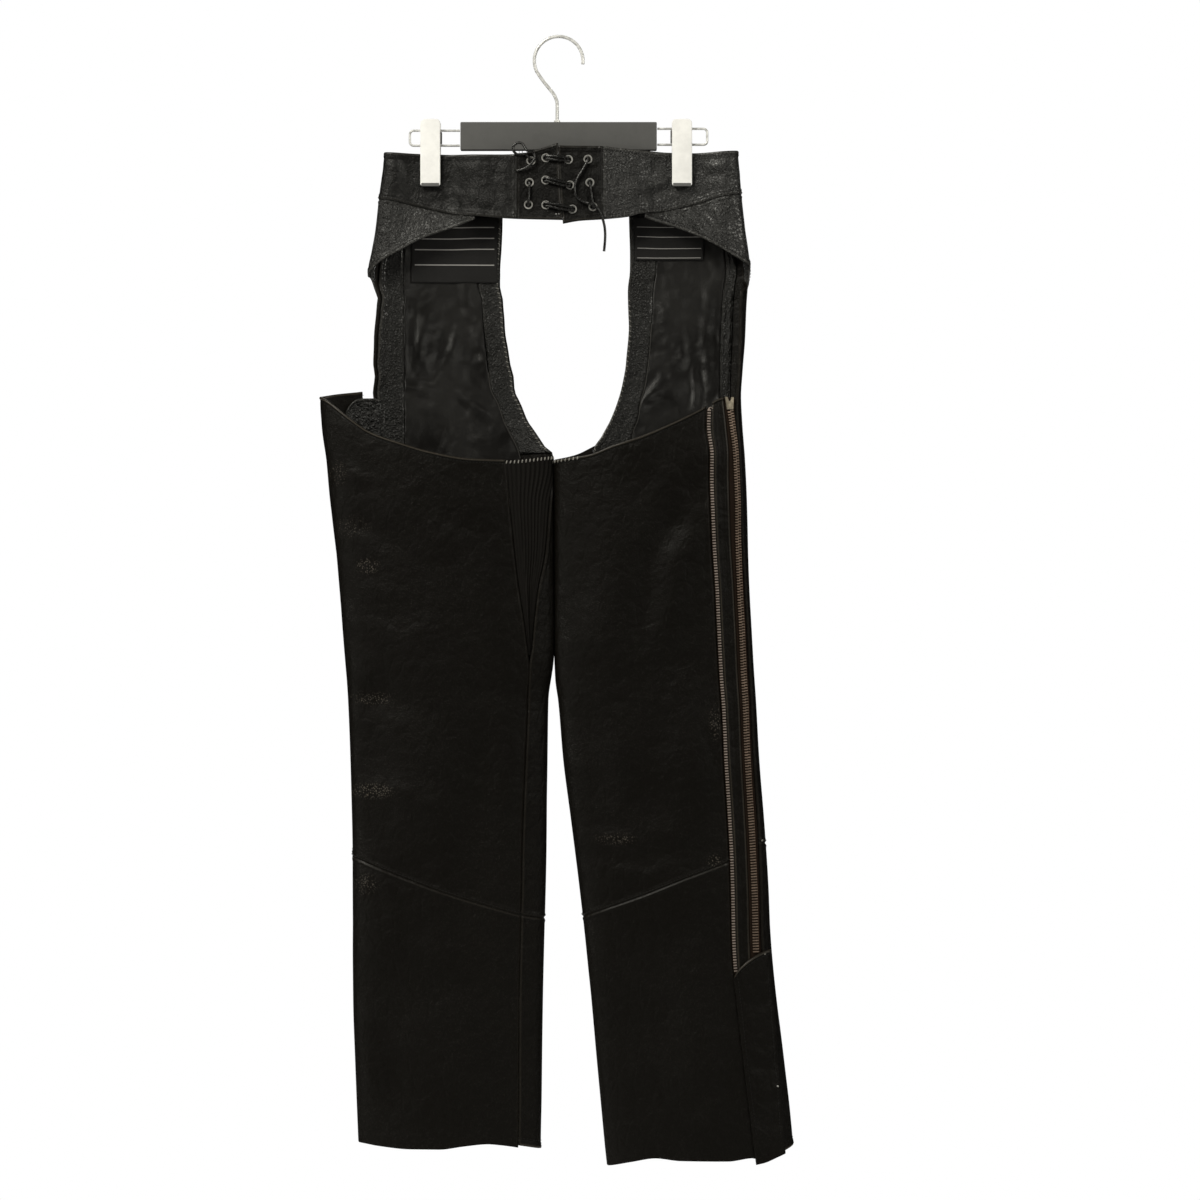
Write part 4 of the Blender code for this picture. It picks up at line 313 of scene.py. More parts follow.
class Reading:
    """Monotone smooth curve through a table, straight beyond its ends."""

    def __init__(self, places: Sequence[float], values: Sequence[float]) -> None:
        """Sorts the table and settles its slopes.

        Args:
            places: where each value holds.
            values: the values.
        """
        order = np.argsort(places)
        self.xs, self.ys = np.array(places, float)[order], np.array(values, float)[order]
        self.step = np.diff(self.xs)
        slope = np.diff(self.ys) / self.step
        self.bend = np.zeros(len(self.xs))
        self.bend[0], self.bend[-1] = slope[0], slope[-1]
        for k in range(1, len(self.xs) - 1):
            if slope[k - 1] * slope[k] > 0:
                a, b = 2 * self.step[k] + self.step[k - 1], self.step[k] + 2 * self.step[k - 1]
                self.bend[k] = (a + b) / (a / slope[k - 1] + b / slope[k])

    def __call__(self, x: np.ndarray) -> np.ndarray:
        """Returns the curve's values at x."""
        x = np.asarray(x, float)
        k = np.clip(np.searchsorted(self.xs, x) - 1, 0, len(self.step) - 1)
        t = (x - self.xs[k]) / self.step[k]
        low, high, t = t < 0, t > 1, np.clip(t, 0, 1)
        y = ((1 + 2 * t) * (1 - t) ** 2 * self.ys[k] + t * (1 - t) ** 2 * self.step[k] * self.bend[k]
             + t * t * (3 - 2 * t) * self.ys[k + 1] + t * t * (t - 1) * self.step[k] * self.bend[k + 1])
        y = np.where(low, self.ys[0] + (x - self.xs[0]) * self.bend[0], y)
        return np.where(high, self.ys[-1] + (x - self.xs[-1]) * self.bend[-1], y)


@dataclass(frozen=True)
class Crease:
    """Soft fold of a hide along a path of photo places, a trough below nought and a ridge above it."""

    path: tuple[tuple[float, float], ...]
    width: float
    depth: float
    face: Face = B

    def rise(self, x: np.ndarray, z: np.ndarray) -> np.ndarray:
        """Returns the millimetres that the fold lifts places on the form.

        Args:
            x: places across in millimetres.
            z: heights in millimetres.

        Returns:
            The lift at each place, with a low shoulder of the other sign beside the fold.
        """
        points = np.array([photo(*p) for p in self.path])
        gone = np.r_[0, np.cumsum(np.hypot(*np.diff(points, axis=0).T))]
        away, along = np.full(x.shape, 1e9), np.zeros(x.shape)
        for k in range(len(points) - 1):
            a, d = points[k], points[k + 1] - points[k]
            t = np.clip(((x - a[0]) * d[0] + (z - a[1]) * d[1]) / (d @ d), 0, 1)
            here = np.hypot(x - a[0] - t * d[0], z - a[1] - t * d[1])
            along = np.where(here < away, (gone[k] + t * (gone[k + 1] - gone[k])) / gone[-1], along)
            away = np.minimum(away, here)
        shape = bump(away, 0, self.width) - 0.4 * bump(away, 1.9 * self.width, self.width)
        return self.depth * shape * np.sin(np.pi * np.clip(along, 0, 1)) ** 0.7


class Side:
    """Form of one half of the garment, read by the angle round it and the height."""

    CLIPS = (-134.9, 129.9)
    PINCH = (3.2, 17.0, 50.0, -168.0, -236.0)

    def __init__(self, rows: Rows, creases: Sequence[Crease]) -> None:
        """Reads the stations.

        Args:
            rows: one row for each station.
            creases: the folds that all hides of this half share.
        """
        columns = np.array(rows, float).T
        self.heights = np.arange(-1280.0, -40.0)
        self.read = [Reading(columns[0], column)(self.heights) for column in columns[1:]]
        self.creases = creases

    def place(self, angle: np.ndarray, z: np.ndarray) -> np.ndarray:
        """Returns the points on the form at angles in degrees and heights."""
        left, right, mid, back, front, blunt = (np.interp(z, self.heights, read) for read in self.read)
        c, s = np.cos(np.radians(angle)), np.sin(np.radians(angle))
        x = (left + right) / 2 + (right - left) / 2 * c
        full = np.where(s > 0, back, front) * np.abs(s) ** blunt
        depth, flat, reach, held_above, free_below = self.PINCH
        held = ramp(z, free_below, held_above)
        near = np.zeros_like(x)
        for centre in self.CLIPS:
            near = np.maximum(near, 1 - ramp(np.abs(x - centre), flat, reach))
        pinch = held * near
        y = full * (1 - pinch) + np.minimum(full, depth) * pinch
        return np.stack([x, mid * (1 - held) - np.sign(s) * y, z + 0 * x], axis=-1)

    def outward(self, angle: np.ndarray, z: np.ndarray) -> np.ndarray:
        """Returns the unit directions out of the form."""
        a = self.place(angle + 0.6, z) - self.place(angle - 0.6, z)
        b = self.place(angle, z + 1.0) - self.place(angle, z - 1.0)
        n = np.cross(b, a)
        return n / np.maximum(np.linalg.norm(n, axis=-1, keepdims=True), 1e-9)

    def relief(self, angle: np.ndarray, z: np.ndarray) -> np.ndarray:
        """Returns the shared folds' lift, nought at the belt and at both outer turns."""
        x = self.place(angle, z)[..., 0]
        s = np.sin(np.radians(angle))
        lift = 0.55 * np.sin(x / 23 + z / 61 + 1.3) * np.sin(z / 47 - x / 90)
        lift = lift + 0.35 * np.sin(x / 11 - z / 19 + 0.5) * np.sin(z / 29 + x / 53)
        for crease in self.creases:
            facing = s > 0 if crease.face is B else s < 0
            lift = lift + np.where(facing, crease.rise(x, z + 0 * x), 0.0)
        return lift * ramp(np.abs(s), 0.0, 0.4) * ramp(-z, 192.0, 262.0)

    def skin(self, angle: np.ndarray, z: np.ndarray, off: np.ndarray) -> np.ndarray:
        """Returns the points that lie off millimetres outside the folded form."""
        lift = np.asarray(off + self.relief(angle, z), float)
        return self.place(angle, z) + self.outward(angle, z) * lift[..., None]

    def angle_at(self, x: float, z: float, face: Face) -> float:
        """Returns the angle of the place at x on the back or the front."""
        left, right = np.interp(z, self.heights, self.read[0]), np.interp(z, self.heights, self.read[1])
        turn = np.degrees(np.arccos(np.clip((x - (left + right) / 2) / ((right - left) / 2), -1, 1)))
        return turn if face is B else -turn

    def edge(self, rows: Rows, past: float = 0.0) -> Reader:
        """Returns the angle of an edge against height.

        Args:
            rows: height, place and face of each place on it.
            past: a turn that is added to front places, for edges that go on round the back.
        """
        angles = []
        for z, at, face in rows:
            angle = at if face is T else float(self.angle_at(at, z, face))
            angles.append(angle + past if past and angle < 0 else angle)
        return Reading([row[0] for row in rows], angles)

    def upright(self, x: float, face: Face) -> Reader:
        """Returns an edge at one x all the way down."""
        return self.edge(tuple((z, x, face) for z in np.arange(-900.0, -99.0, 20.0)))

    def arc(self, angle: np.ndarray, z: np.ndarray) -> np.ndarray:
        """Returns millimetres for each degree at a place."""
        return np.linalg.norm(self.place(angle + 0.3, z) - self.place(angle - 0.3, z), axis=-1) / 0.6

    def shifted(self, read: Reader, distance: float) -> Reader:
        """Returns an edge moved along the form, towards greater angles when positive."""
        return lambda z: read(z) + distance / np.maximum(self.arc(read(z), z), 0.05)

    def frame_at(self, x: float, z: float, face: Face = B) -> tuple[Vector, Vector, Vector, Vector]:
        """Returns the point on the form with its outward, across and up directions."""
        angle, z = self.angle_at(x, z, face), np.float64(z)
        out = Vector(self.outward(angle, z))
        across = Vector((0, 0, 1)).cross(out).normalized()
        return Vector(self.skin(angle, z, 0.0)), out, across, out.cross(across).normalized()


def rim(back: Rows, front: Rows = (), lift: float = 0.0) -> RimReader:
    """Returns a rim's height, read by x and by whether the place is on the back or the front.

    Args:
        back: place across and height of the rim's rows on the back.
        front: the same on the front, where it differs.
        lift: millimetres that the rim stands above its rows.
    """
    on_back = Reading(*zip(*back))
    on_front = Reading(*zip(*(front or back)))

    def read(x: np.ndarray, angle: np.ndarray) -> np.ndarray:
        wrapped = (np.asarray(angle) + 720.0) % 360.0
        return np.where(wrapped <= 180.0, on_back(x), on_front(x)) + lift

    return read


def level(z: float) -> RimReader:
    """Returns a rim at one height."""
    return lambda x, angle: z + 0 * np.asarray(x, float)


class Wire:
    """One output of a shader graph; arithmetic on it adds Math and Vector Math nodes."""

    def __init__(self, graph: Graph, socket: bpy.types.NodeSocket) -> None:
        """Wraps a socket of a graph."""
        self.graph, self.socket = graph, socket

    def _join(self, work: str, other: object, flipped: bool = False) -> Wire:
        """Returns the outcome of one operation with another wire, number or vector."""
        pair = (other, self) if flipped else (self, other)
        vectors = [p for p in pair if isinstance(p, tuple) or isinstance(p, Wire) and p.socket.type == "VECTOR"]
        kind = "ShaderNodeVectorMath" if vectors else "ShaderNodeMath"
        if vectors:
            pair = tuple((p, p, p) if isinstance(p, (int, float)) else p for p in pair)
        return self.graph.node(kind, {"operation": work}, *pair)

    def __add__(self, other: object) -> Wire:
        """Returns the sum."""
        return self._join("ADD", other)

    def __sub__(self, other: object) -> Wire:
        """Returns the difference."""
        return self._join("SUBTRACT", other)

    def __mul__(self, other: object) -> Wire:
        """Returns the product."""
        return self._join("MULTIPLY", other)

    def __truediv__(self, other: object) -> Wire:
        """Returns the quotient."""
        return self._join("DIVIDE", other)

    def __pow__(self, other: object) -> Wire:
        """Returns the power."""
        return self._join("POWER", other)

    def __rsub__(self, other: object) -> Wire:
        """Returns the difference from a number."""
        return self._join("SUBTRACT", other, True)

    def __rtruediv__(self, other: object) -> Wire:
        """Returns a number's quotient by this."""
        return self._join("DIVIDE", other, True)

    __radd__, __rmul__ = __add__, __mul__

    def done(self, work: str, other: object = 0.0) -> Wire:
        """Returns the outcome of a Math operation by its name."""
        return self._join(work, other)

    def between(self, low: float, high: float, start: float = 0.0, end: float = 1.0) -> Wire:
        """Returns start at low and end at high, with soft ends."""
        return self.graph.node("ShaderNodeMapRange", {"interpolation_type": "SMOOTHSTEP"}, self, low, high,
                               start, end)


class Graph:
    """Shader graph of one material, built from wires."""

    def __init__(self, name: str) -> None:
        """Starts an empty material."""
        self.material = bpy.data.materials.new(name)
        self.material.use_nodes = True
        self.tree = self.material.node_tree
        self.tree.nodes.clear()

    def node(self, kind: str, settings: dict[str, object], *values: object, out: int | str = 0,
             **named: object) -> Wire:
        """Adds a node, fills its inputs and returns one of its outputs.

        Args:
            kind: Blender's type name.
            settings: the node's own properties.
            values: inputs in their order, each a wire, a value or None.
            out: the output's index or name.
            named: inputs by name, with _ for a space.
        """
        made = self.tree.nodes.new(kind)
        for key, value in settings.items():
            setattr(made, key, value)
        pairs = list(zip(made.inputs, values)) + [(made.inputs[k.replace("_", " ")], v) for k, v in named.items()]
        for socket, value in pairs:
            if isinstance(value, Wire):
                self.tree.links.new(value.socket, socket)
            elif value is not None:
                socket.default_value = value
        return Wire(self, made.outputs[out])

    def places(self) -> Wire:
        """Returns the object's own coordinates in metres."""
        return self.node("ShaderNodeTexCoord", {}, out="Object")

    def mark(self, name: str) -> Wire:
        """Returns a number that the mesh carries under a name."""
        return self.node("ShaderNodeAttribute", {"attribute_name": name}, out="Fac")

    def noise(self, at: Wire, scale: float, detail: float = 2.0, rough: float = 0.5, twist: float = 0.0) -> Wire:
        """Returns noise from 0 to 1."""
        return self.node("ShaderNodeTexNoise", {}, Vector=at, Scale=scale, Detail=detail, Roughness=rough,
                         Distortion=twist)

    def cells(self, at: Wire, scale: float, feature: str = "F1", random: float = 1.0) -> Wire:
        """Returns the distance field of scattered cells."""
        return self.node("ShaderNodeTexVoronoi", {"feature": feature}, Vector=at, Scale=scale,
                         Randomness=random)

    def mix(self, factor: object, a: object, b: object) -> Wire:
        """Returns a colour between two."""
        made = self.node("ShaderNodeMix", {"data_type": "RGBA"}, out=2)
        sockets = made.socket.node.inputs
        for socket, value in ((sockets[0], factor), (sockets[6], a), (sockets[7], b)):
            if isinstance(value, Wire):
                self.tree.links.new(value.socket, socket)
            else:
                socket.default_value = value if isinstance(value, (int, float)) else (*value, 1.0)
        return made

    def raised(self, height: Wire, reach: float, strength: float = 1.0) -> Wire:
        """Returns the normal of a height from 0 to 1 that stands reach metres high."""
        return self.node("ShaderNodeBump", {}, Strength=strength, Distance=reach, Height=height)

    def close(self, **inputs: object) -> bpy.types.Material:
        """Ends the graph in one Principled shader and returns the material."""
        fixed = {k: (*v, 1.0) if isinstance(v, tuple) and len(v) == 3 else v for k, v in inputs.items()}
        shader = self.node("ShaderNodeBsdfPrincipled", {}, **fixed)
        end = self.tree.nodes.new("ShaderNodeOutputMaterial")
        self.tree.links.new(shader.socket, end.inputs["Surface"])
        return self.material


@dataclass(frozen=True)
class Hide:
    """Leather finish: pebbled grain, pores, creased lines and border wear, with painted light: darker hollows, lighter
    pebble tops, a lighter strip and a bright line along lit borders, and glints in given spots.

    Attributes:
        name: the material's name.
        colour: base colour.
        grain: width of one pebble in metres.
        deep: height of the pebbles in metres.
        lines: height of the fine creased lines in metres.
        gloss: roughness on rubbed places and in hollows.
        swell: height of the soft unevenness in metres.
        shine: how much the surface reflects.
        worn: how much lighter the border strip is, as edge wear and painted highlight, and how bright the painted
            highlight line is.
        polished: photo places and half sizes where the grain is glossier and its pebble tops are painted a light glint
            colour.
        glint: how much gloss the tops of the pebbles have beyond the hollows.
    """

    name: str
    colour: tuple[float, float, float] = (0.0056, 0.0046, 0.0033)
    grain: float = 0.0019
    deep: float = 0.00034
    lines: float = 0.0003
    gloss: tuple[float, float] = (0.30, 0.46)
    swell: float = 0.0016
    shine: float = 0.10
    worn: float = 1.8
    polished: tuple[tuple[float, float, float, float], ...] = ()
    glint: float = 0.16

    def make(self) -> bpy.types.Material:
        """Returns the finished material."""
        g = Graph(self.name)
        at = g.places()
        soft = g.noise(at, 9.0, 3.0)
        loose = at + g.noise(at, 420.0, 1.0) * 0.0007
        pebble = g.cells(loose, 1 / self.grain).between(0.05, 0.62, 1.0, 0.0)
        small = g.cells(loose, 2.3 / self.grain).between(0.05, 0.6, 1.0, 0.0)
        patch = soft.between(0.38, 0.62)
        furrow = g.cells(loose * (1.0, 1.0, 0.6), 0.16 / self.grain, "DISTANCE_TO_EDGE").between(0.0, 0.16)
        away, lit = g.mark("border"), g.mark("lit")
        # Strip within 3.2 mm of lit borders: partly edge wear, partly a painted highlight that lightens the base
        # colour; it also adds coat gloss and roughness.
        rubbed_sheen = (1 - away.between(0.0, 0.32)) * lit
        height = (pebble * (patch * 0.5 + 0.5) + small * 0.45) * 0.69
        body = g.raised(height, self.deep)
        tilt = g.node("ShaderNodeBump", {}, Strength=0.7, Distance=self.lines, Height=furrow, Normal=body)
        tilt = g.node("ShaderNodeBump", {}, Strength=1.0, Distance=self.swell, Height=g.noise(at, 75.0, 3.0),
                      Normal=tilt)
        # light: the base colour made lighter for the border strip, as edge wear and painted highlight.
        light = tuple(min(c * self.worn, 1.0) for c in self.colour)
        # Painted shade and highlight: pebble hollows darker and pebble tops lighter, then the border strip lighter.
        shade = g.mix(rubbed_sheen * 0.8, g.mix(height.between(0.25, 0.85), tuple(c * 0.6 for c in self.colour),
                                          tuple(c * 1.25 for c in self.colour)), light)
        # Painted highlight: a thin bright line about 1 to 2 mm in from lit borders, standing in for light caught by the
        # rolled or folded edge.
        line = away.between(0.05, 0.12) * (1 - away.between(0.16, 0.26)) * lit * (soft.between(0.3, 0.6) * 0.5 + 0.5)
        shade = g.mix(line * 0.85, shade, tuple(c * self.worn * 2.6 + 0.006 for c in self.colour))
        tops = height.between(0.12, 0.5) * (g.noise(at, 42.0, 3.0).between(0.4, 0.6) * 0.85 + 0.15)
        low, high = self.gloss
        rough = height.between(0.1, 1.0, high, low) + (soft - 0.5) * 0.22 + rubbed_sheen * 0.05
        for px, py, wide, tall in self.polished:
            x, z = photo(px, py)
            reach = g.node("ShaderNodeVectorMath", {"operation": "LENGTH"},
                           (at - (x * MM, 0.0, z * MM)) * (1 / (wide * PIXEL * MM), 0.0, 1 / (tall * PIXEL * MM)),
                           out="Value")
            spot = reach.between(0.3, 1.0, 1.0, 0.0)
            # Painted glint: in these spots the pebble tops are painted a much lighter colour, besides the lower
            # roughness.
            shade = g.mix(spot * height.between(0.2, 0.6), shade, (0.080, 0.070, 0.058))
            rough = rough - spot * 0.06
        return g.close(Base_Color=shade, Roughness=rough, Normal=tilt, Specular_IOR_Level=self.shine,
                       Coat_Weight=rubbed_sheen * 0.35 + tops * self.glint, Coat_Roughness=0.26)


@dataclass(frozen=True)
class Satin:
    """Smooth lining cloth with a fine diagonal weave and a soft sheen."""

    name: str
    colour: tuple[float, float, float] = (0.0034, 0.0030, 0.0026)
    rough: float = 0.3

    def make(self) -> bpy.types.Material:
        """Returns the finished material."""
        g = Graph(self.name)
        at = g.places()
        warp = g.node("ShaderNodeTexWave", {"bands_direction": "DIAGONAL"}, Vector=at, Scale=900.0, out="Fac")
        cloud = g.noise(at, 14.0, 3.0)
        small = g.noise(at, 130.0, 3.0)
        tilt = g.raised(warp * 0.6 + small * 1.5, 0.00012)
        tilt = g.node("ShaderNodeBump", {}, Strength=1.0, Distance=0.007, Height=g.noise(at, 26.0, 2.0),
                      Normal=tilt)
        # Lighter random patches, up to 1.7 times the colour, painted as the satin's broad soft highlights.
        shade = g.mix(cloud.between(0.3, 0.7), self.colour, tuple(c * 1.7 for c in self.colour))
        return g.close(Base_Color=shade, Roughness=cloud.between(0.3, 0.7, self.rough, self.rough + 0.14),
                       Normal=tilt, Specular_IOR_Level=0.3, Anisotropic=0.4)


@dataclass(frozen=True)
class Knit:
    """Ribbed, woven or spun black cloth: matte, with fine threads."""

    name: str
    colour: tuple[float, float, float] = (0.0044, 0.0036, 0.0028)
    rough: float = 0.72
    thread: float = 0.0007
    deep: float = 0.00018
    shine: float = 0.12

    def make(self) -> bpy.types.Material:
        """Returns the finished material."""
        g = Graph(self.name)
        at = g.places()
        across = g.node("ShaderNodeTexWave", {"bands_direction": "Z"}, Vector=at, Scale=0.16 / self.thread,
                        Distortion=1.5, out="Fac")
        along = g.node("ShaderNodeTexWave", {"bands_direction": "X"}, Vector=at, Scale=0.16 / self.thread,
                       Distortion=1.5, out="Fac")
        fluff = g.noise(at, 900.0, 2.0)
        height = (across * along).done("MAXIMUM", fluff * 0.6)
        shade = g.mix(height, tuple(c * 0.6 for c in self.colour), tuple(c * 1.6 for c in self.colour))
        return g.close(Base_Color=shade, Roughness=fluff.between(0.2, 0.8, self.rough - 0.08, self.rough + 0.1),
                       Normal=g.raised(height, self.deep), Specular_IOR_Level=self.shine)


@dataclass(frozen=True)
class Rules:
    """Bare woven label: fine ribs with a few plain light rules across it."""

    name: str
    heights: tuple[float, ...] = ()
    left: float = 0.04
    right: float = 0.96

    def make(self) -> bpy.types.Material:
        """Returns the finished material."""
        g = Graph(self.name)
        at = g.places()
        weave = g.node("ShaderNodeTexWave", {"bands_direction": "Z"}, Vector=at, Scale=520.0, out="Fac")
        cross = g.node("ShaderNodeTexWave", {"bands_direction": "X"}, Vector=at, Scale=390.0, out="Fac")
        up, over = g.mark("up"), g.mark("over")
        ink = None
        for height in self.heights:
            line = 1 - (up - height).done("ABSOLUTE").between(0.004, 0.011)
            ink = line if ink is None else ink.done("MAXIMUM", line)
        inside = over.between(self.left - 0.004, self.left + 0.004) * \
            (1 - over.between(self.right - 0.004, self.right + 0.004))
        ink = ink * inside * (cross * 0.35 + 0.65)
        shade = g.mix(ink * 0.9, g.mix(weave, (0.0045, 0.0042, 0.0042), (0.0085, 0.008, 0.008)),
                      (0.40, 0.39, 0.38))
        return g.close(Base_Color=shade, Roughness=weave.between(0.0, 1.0, 0.62, 0.5),
                       Normal=g.raised(weave * 0.6 + cross * 0.4, 0.00012), Specular_IOR_Level=0.2)


@dataclass(frozen=True)
class Metal:
    """Metal finish with fine rubbing lines and dull, darker spots scattered at random."""

    name: str
    colour: tuple[float, float, float]
    rough: float
    dull: float = 0.12
    lines: float = 0.00003
    metal: float = 1.0

    def make(self) -> bpy.types.Material:
        """Returns the finished material."""
        g = Graph(self.name)
        at = g.places()
        spots, fine = g.noise(at, 260.0, 4.0), g.noise(at, 2600.0, 2.0)
        shade = g.mix(spots.between(0.35, 0.7), self.colour, tuple(c * 0.62 for c in self.colour))
        rough = spots.between(0.3, 0.7, self.rough, self.rough + self.dull)
        return g.close(Base_Color=shade, Metallic=self.metal, Roughness=rough, Normal=g.raised(fine, self.lines))


@dataclass(frozen=True)
class Moulded:
    """Moulded plastic: fine texture, faint marks and a slightly uneven colour."""

    name: str
    colour: tuple[float, float, float]
    rough: float
    fine: float = 0.00004

    def make(self) -> bpy.types.Material:
        """Returns the finished material."""
        g = Graph(self.name)
        at = g.places()
        marks, fine = g.noise(at, 60.0, 5.0, 0.6), g.noise(at, 1700.0, 3.0)
        shade = g.mix(marks.between(0.3, 0.75), self.colour, tuple(c * 0.86 for c in self.colour))
        return g.close(Base_Color=shade, Roughness=marks.between(0.25, 0.75, self.rough, self.rough + 0.12),
                       Normal=g.raised(fine, self.fine))


POLISHED_GLINTS = ((338, 474, 14, 16), (352, 527, 24, 14), (368, 566, 16, 10), (370, 698, 30, 9), (372, 790, 30, 10),
            (366, 884, 18, 14), (614, 838, 28, 8), (715, 722, 8, 24), (714, 860, 9, 9))
SMOOTH = Hide("leather_smooth", worn=2.6, polished=POLISHED_GLINTS)
GRAINED = Hide("leather_grain", (0.0066, 0.0062, 0.0052), 0.0029, 0.0015, 0.0006, (0.16, 0.50), 0.0030, 0.54,
               glint=1.0)
SOFT_GRAIN = Hide("leather_belt_smooth", (0.0050, 0.0046, 0.0038), 0.0018, 0.0004, 0.0003, (0.22, 0.44), 0.0026,
                  0.25, glint=0.5)
TAB_GRAIN = Hide("leather_tab", (0.0044, 0.0038, 0.0030), 0.0018, 0.0005, 0.0003, (0.24, 0.48), 0.0034, 0.13,
                 glint=0.7)
INNER_GRAIN = Hide("leather_grain_inside", (0.0052, 0.0048, 0.0038), 0.0026, 0.0012, 0.0005, (0.20, 0.48), 0.0022,
                   0.30, glint=1.0)
HEAVY_GRAIN = Hide("leather_heavy_grain", (0.0040, 0.0037, 0.0029), 0.0034, 0.0032, 0.0006, (0.14, 0.46), 0.0014,
                   0.50, glint=1.0)
SATIN = Satin("lining_satin")
RIBBED = Knit("stretch_rib")
LABEL_LEFT = Rules("label_left", (0.84, 0.675, 0.51, 0.27))
LABEL_RIGHT = Rules("label_right", (0.77, 0.55, 0.285, 0.06))
TAPE = Knit("zip_tape", (0.012, 0.0065, 0.0036), 0.8, 0.0008)
RUST = Knit("zip_cord", (0.060, 0.030, 0.018), 0.75, 0.0006)
THREAD = Knit("black_thread", (0.0055, 0.005, 0.0045), 0.5, 0.0004, 0.00008, 0.2)
PALE_THREAD = Knit("pale_thread", (0.24, 0.23, 0.21), 0.5, 0.0004, 0.00008)
LACING = Knit("lace_cord", (0.0035, 0.0033, 0.003), 0.24, 0.0006, 0.0001, 0.5)
PIPING = Knit("piping_cord", (0.045, 0.043, 0.040), 0.5, 0.0006, 0.0001)
BRONZE = Metal("zip_bronze", (0.20, 0.145, 0.11), 0.46, metal=0.6)
SILVERED = Metal("spare_teeth", (0.34, 0.28, 0.245), 0.4, metal=0.5)
SLIDER_METAL = Metal("slider_metal", (0.24, 0.21, 0.16), 0.42, metal=0.7)
STEEL = Metal("eyelet_steel", (0.66, 0.65, 0.62), 0.28, metal=0.5)
CHROME = Metal("hanger_chrome", (0.92, 0.92, 0.91), 0.2, 0.06, 0.00001, 0.22)
BAR_GREY = Moulded("hanger_bar_grey", (0.0828, 0.0822, 0.0806), 0.5)
CREAM = Moulded("clip_cream", (0.98, 0.975, 0.965), 0.42)
PAD_GREY = Moulded("clip_pad_grey", (0.12, 0.12, 0.12), 0.7, 0.00008)


class Border(Enum):
    """How a hide ends: rounded, sunk into a seam, folded over and stitched, or bound with a roll."""

    ROUND = "round"
    SEAM = "seam"
    TURNED = "turned"
    BOUND = "bound"

    @property
    def lit(self) -> float:
        """Returns how strongly its outermost strip is painted lighter, as edge wear and painted highlight, with a
        painted bright line.
        """
        return {Border.SEAM: 0.16, Border.ROUND: 0.0, Border.TURNED: 0.75, Border.BOUND: 1.0}[self]

    def rise(self, d: np.ndarray) -> np.ndarray:
        """Returns the millimetres that the shown face stands up at distances from the edge."""
        if self is Border.SEAM:
            return 0.5 * bump(d, 2.8, 1.4) - 0.85 * bump(d, 0, 1.2)
        if self is Border.TURNED:
            return 0.75 * (1 - ramp(d, 4.8, 6.4)) - 0.4 * bump(d, 4.1, 0.8) - 0.55 * bump(d, 0, 0.7)
        if self is Border.BOUND:
            return 1.1 * np.sqrt(np.clip(1 - ((d - 1.5) / 1.5) ** 2, 0, 1)) - 0.3 * bump(d, 3.6, 0.7)
        return -0.4 * bump(d, 0, 0.6)


def link(name: str, mesh: bpy.types.Mesh, finish: object | None = None) -> bpy.types.Object:
    """Returns a new object of a mesh, put in the scene with its finish.

    Args:
        name: the object's name.
        mesh: its mesh.
        finish: the finish, where the mesh has none yet.
    """
    made = bpy.data.objects.new(name, mesh)
    bpy.context.scene.collection.objects.link(made)
    if finish is not None:
        mesh.materials.append(Stock.of(finish))
    return made


class Stock:
    """Keeps one material for each finish."""

    kept: dict[str, bpy.types.Material] = {}

    @classmethod
    def of(cls, finish: object) -> bpy.types.Material:
        """Returns the material of a finish, made when it is first asked for."""
        if finish.name not in cls.kept:
            cls.kept[finish.name] = finish.make()
        return cls.kept[finish.name]


def show(made: bpy.types.Object, slot: str | None, *nodes: str) -> bpy.types.Object:
    """Lets a piece ride on the object and stand for CAD nodes.

    Args:
        made: the piece.
        slot: the record's material slot, or None for thread and trim; not used.
        nodes: the CAD nodes that it replaces.
    """
    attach(made, "root")
    if nodes:
        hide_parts(*nodes)
    LOG.info("%s: %d faces", made.name, len(made.data.polygons) if made.type == "MESH" else 0)
    return made


def solid(name: str, points: np.ndarray, faces: Sequence[Sequence[int]], finish: object,
          bevel: float = 0.0) -> bpy.types.Object:
    """Makes one closed object from points in millimetres.

    Args:
        name: the object's name.
        points: its corners.
        faces: corner numbers of each face.
        finish: its finish.
        bevel: how far in millimetres its sharp edges are rounded.
    """
    mesh = bpy.data.meshes.new(name)
    mesh.from_pydata((np.asarray(points, float) * MM).tolist(), [], [tuple(f) for f in faces])
    body = bmesh.new()
    body.from_mesh(mesh)
    bmesh.ops.remove_doubles(body, verts=body.verts, dist=1e-6)
    bmesh.ops.recalc_face_normals(body, faces=body.faces)
    if bevel:
        sharp = [e for e in body.edges if e.calc_face_angle(0) > 0.6]
        bmesh.ops.bevel(body, geom=sharp, offset=bevel * MM, segments=3, profile=0.6, affect="EDGES",
                        clamp_overlap=True)
    for face in body.faces:
        face.smooth = True
    for line in body.edges:
        line.smooth = line.calc_face_angle(0) < 0.7
    body.to_mesh(mesh)
    body.free()
    return link(name, mesh, finish)


GRID_STOPS = (0.0, 0.5, 1.1, 1.8, 2.6, 3.4, 4.2, 5.0, 5.8, 6.8, 8.5)
Stops = tuple[float, ...]


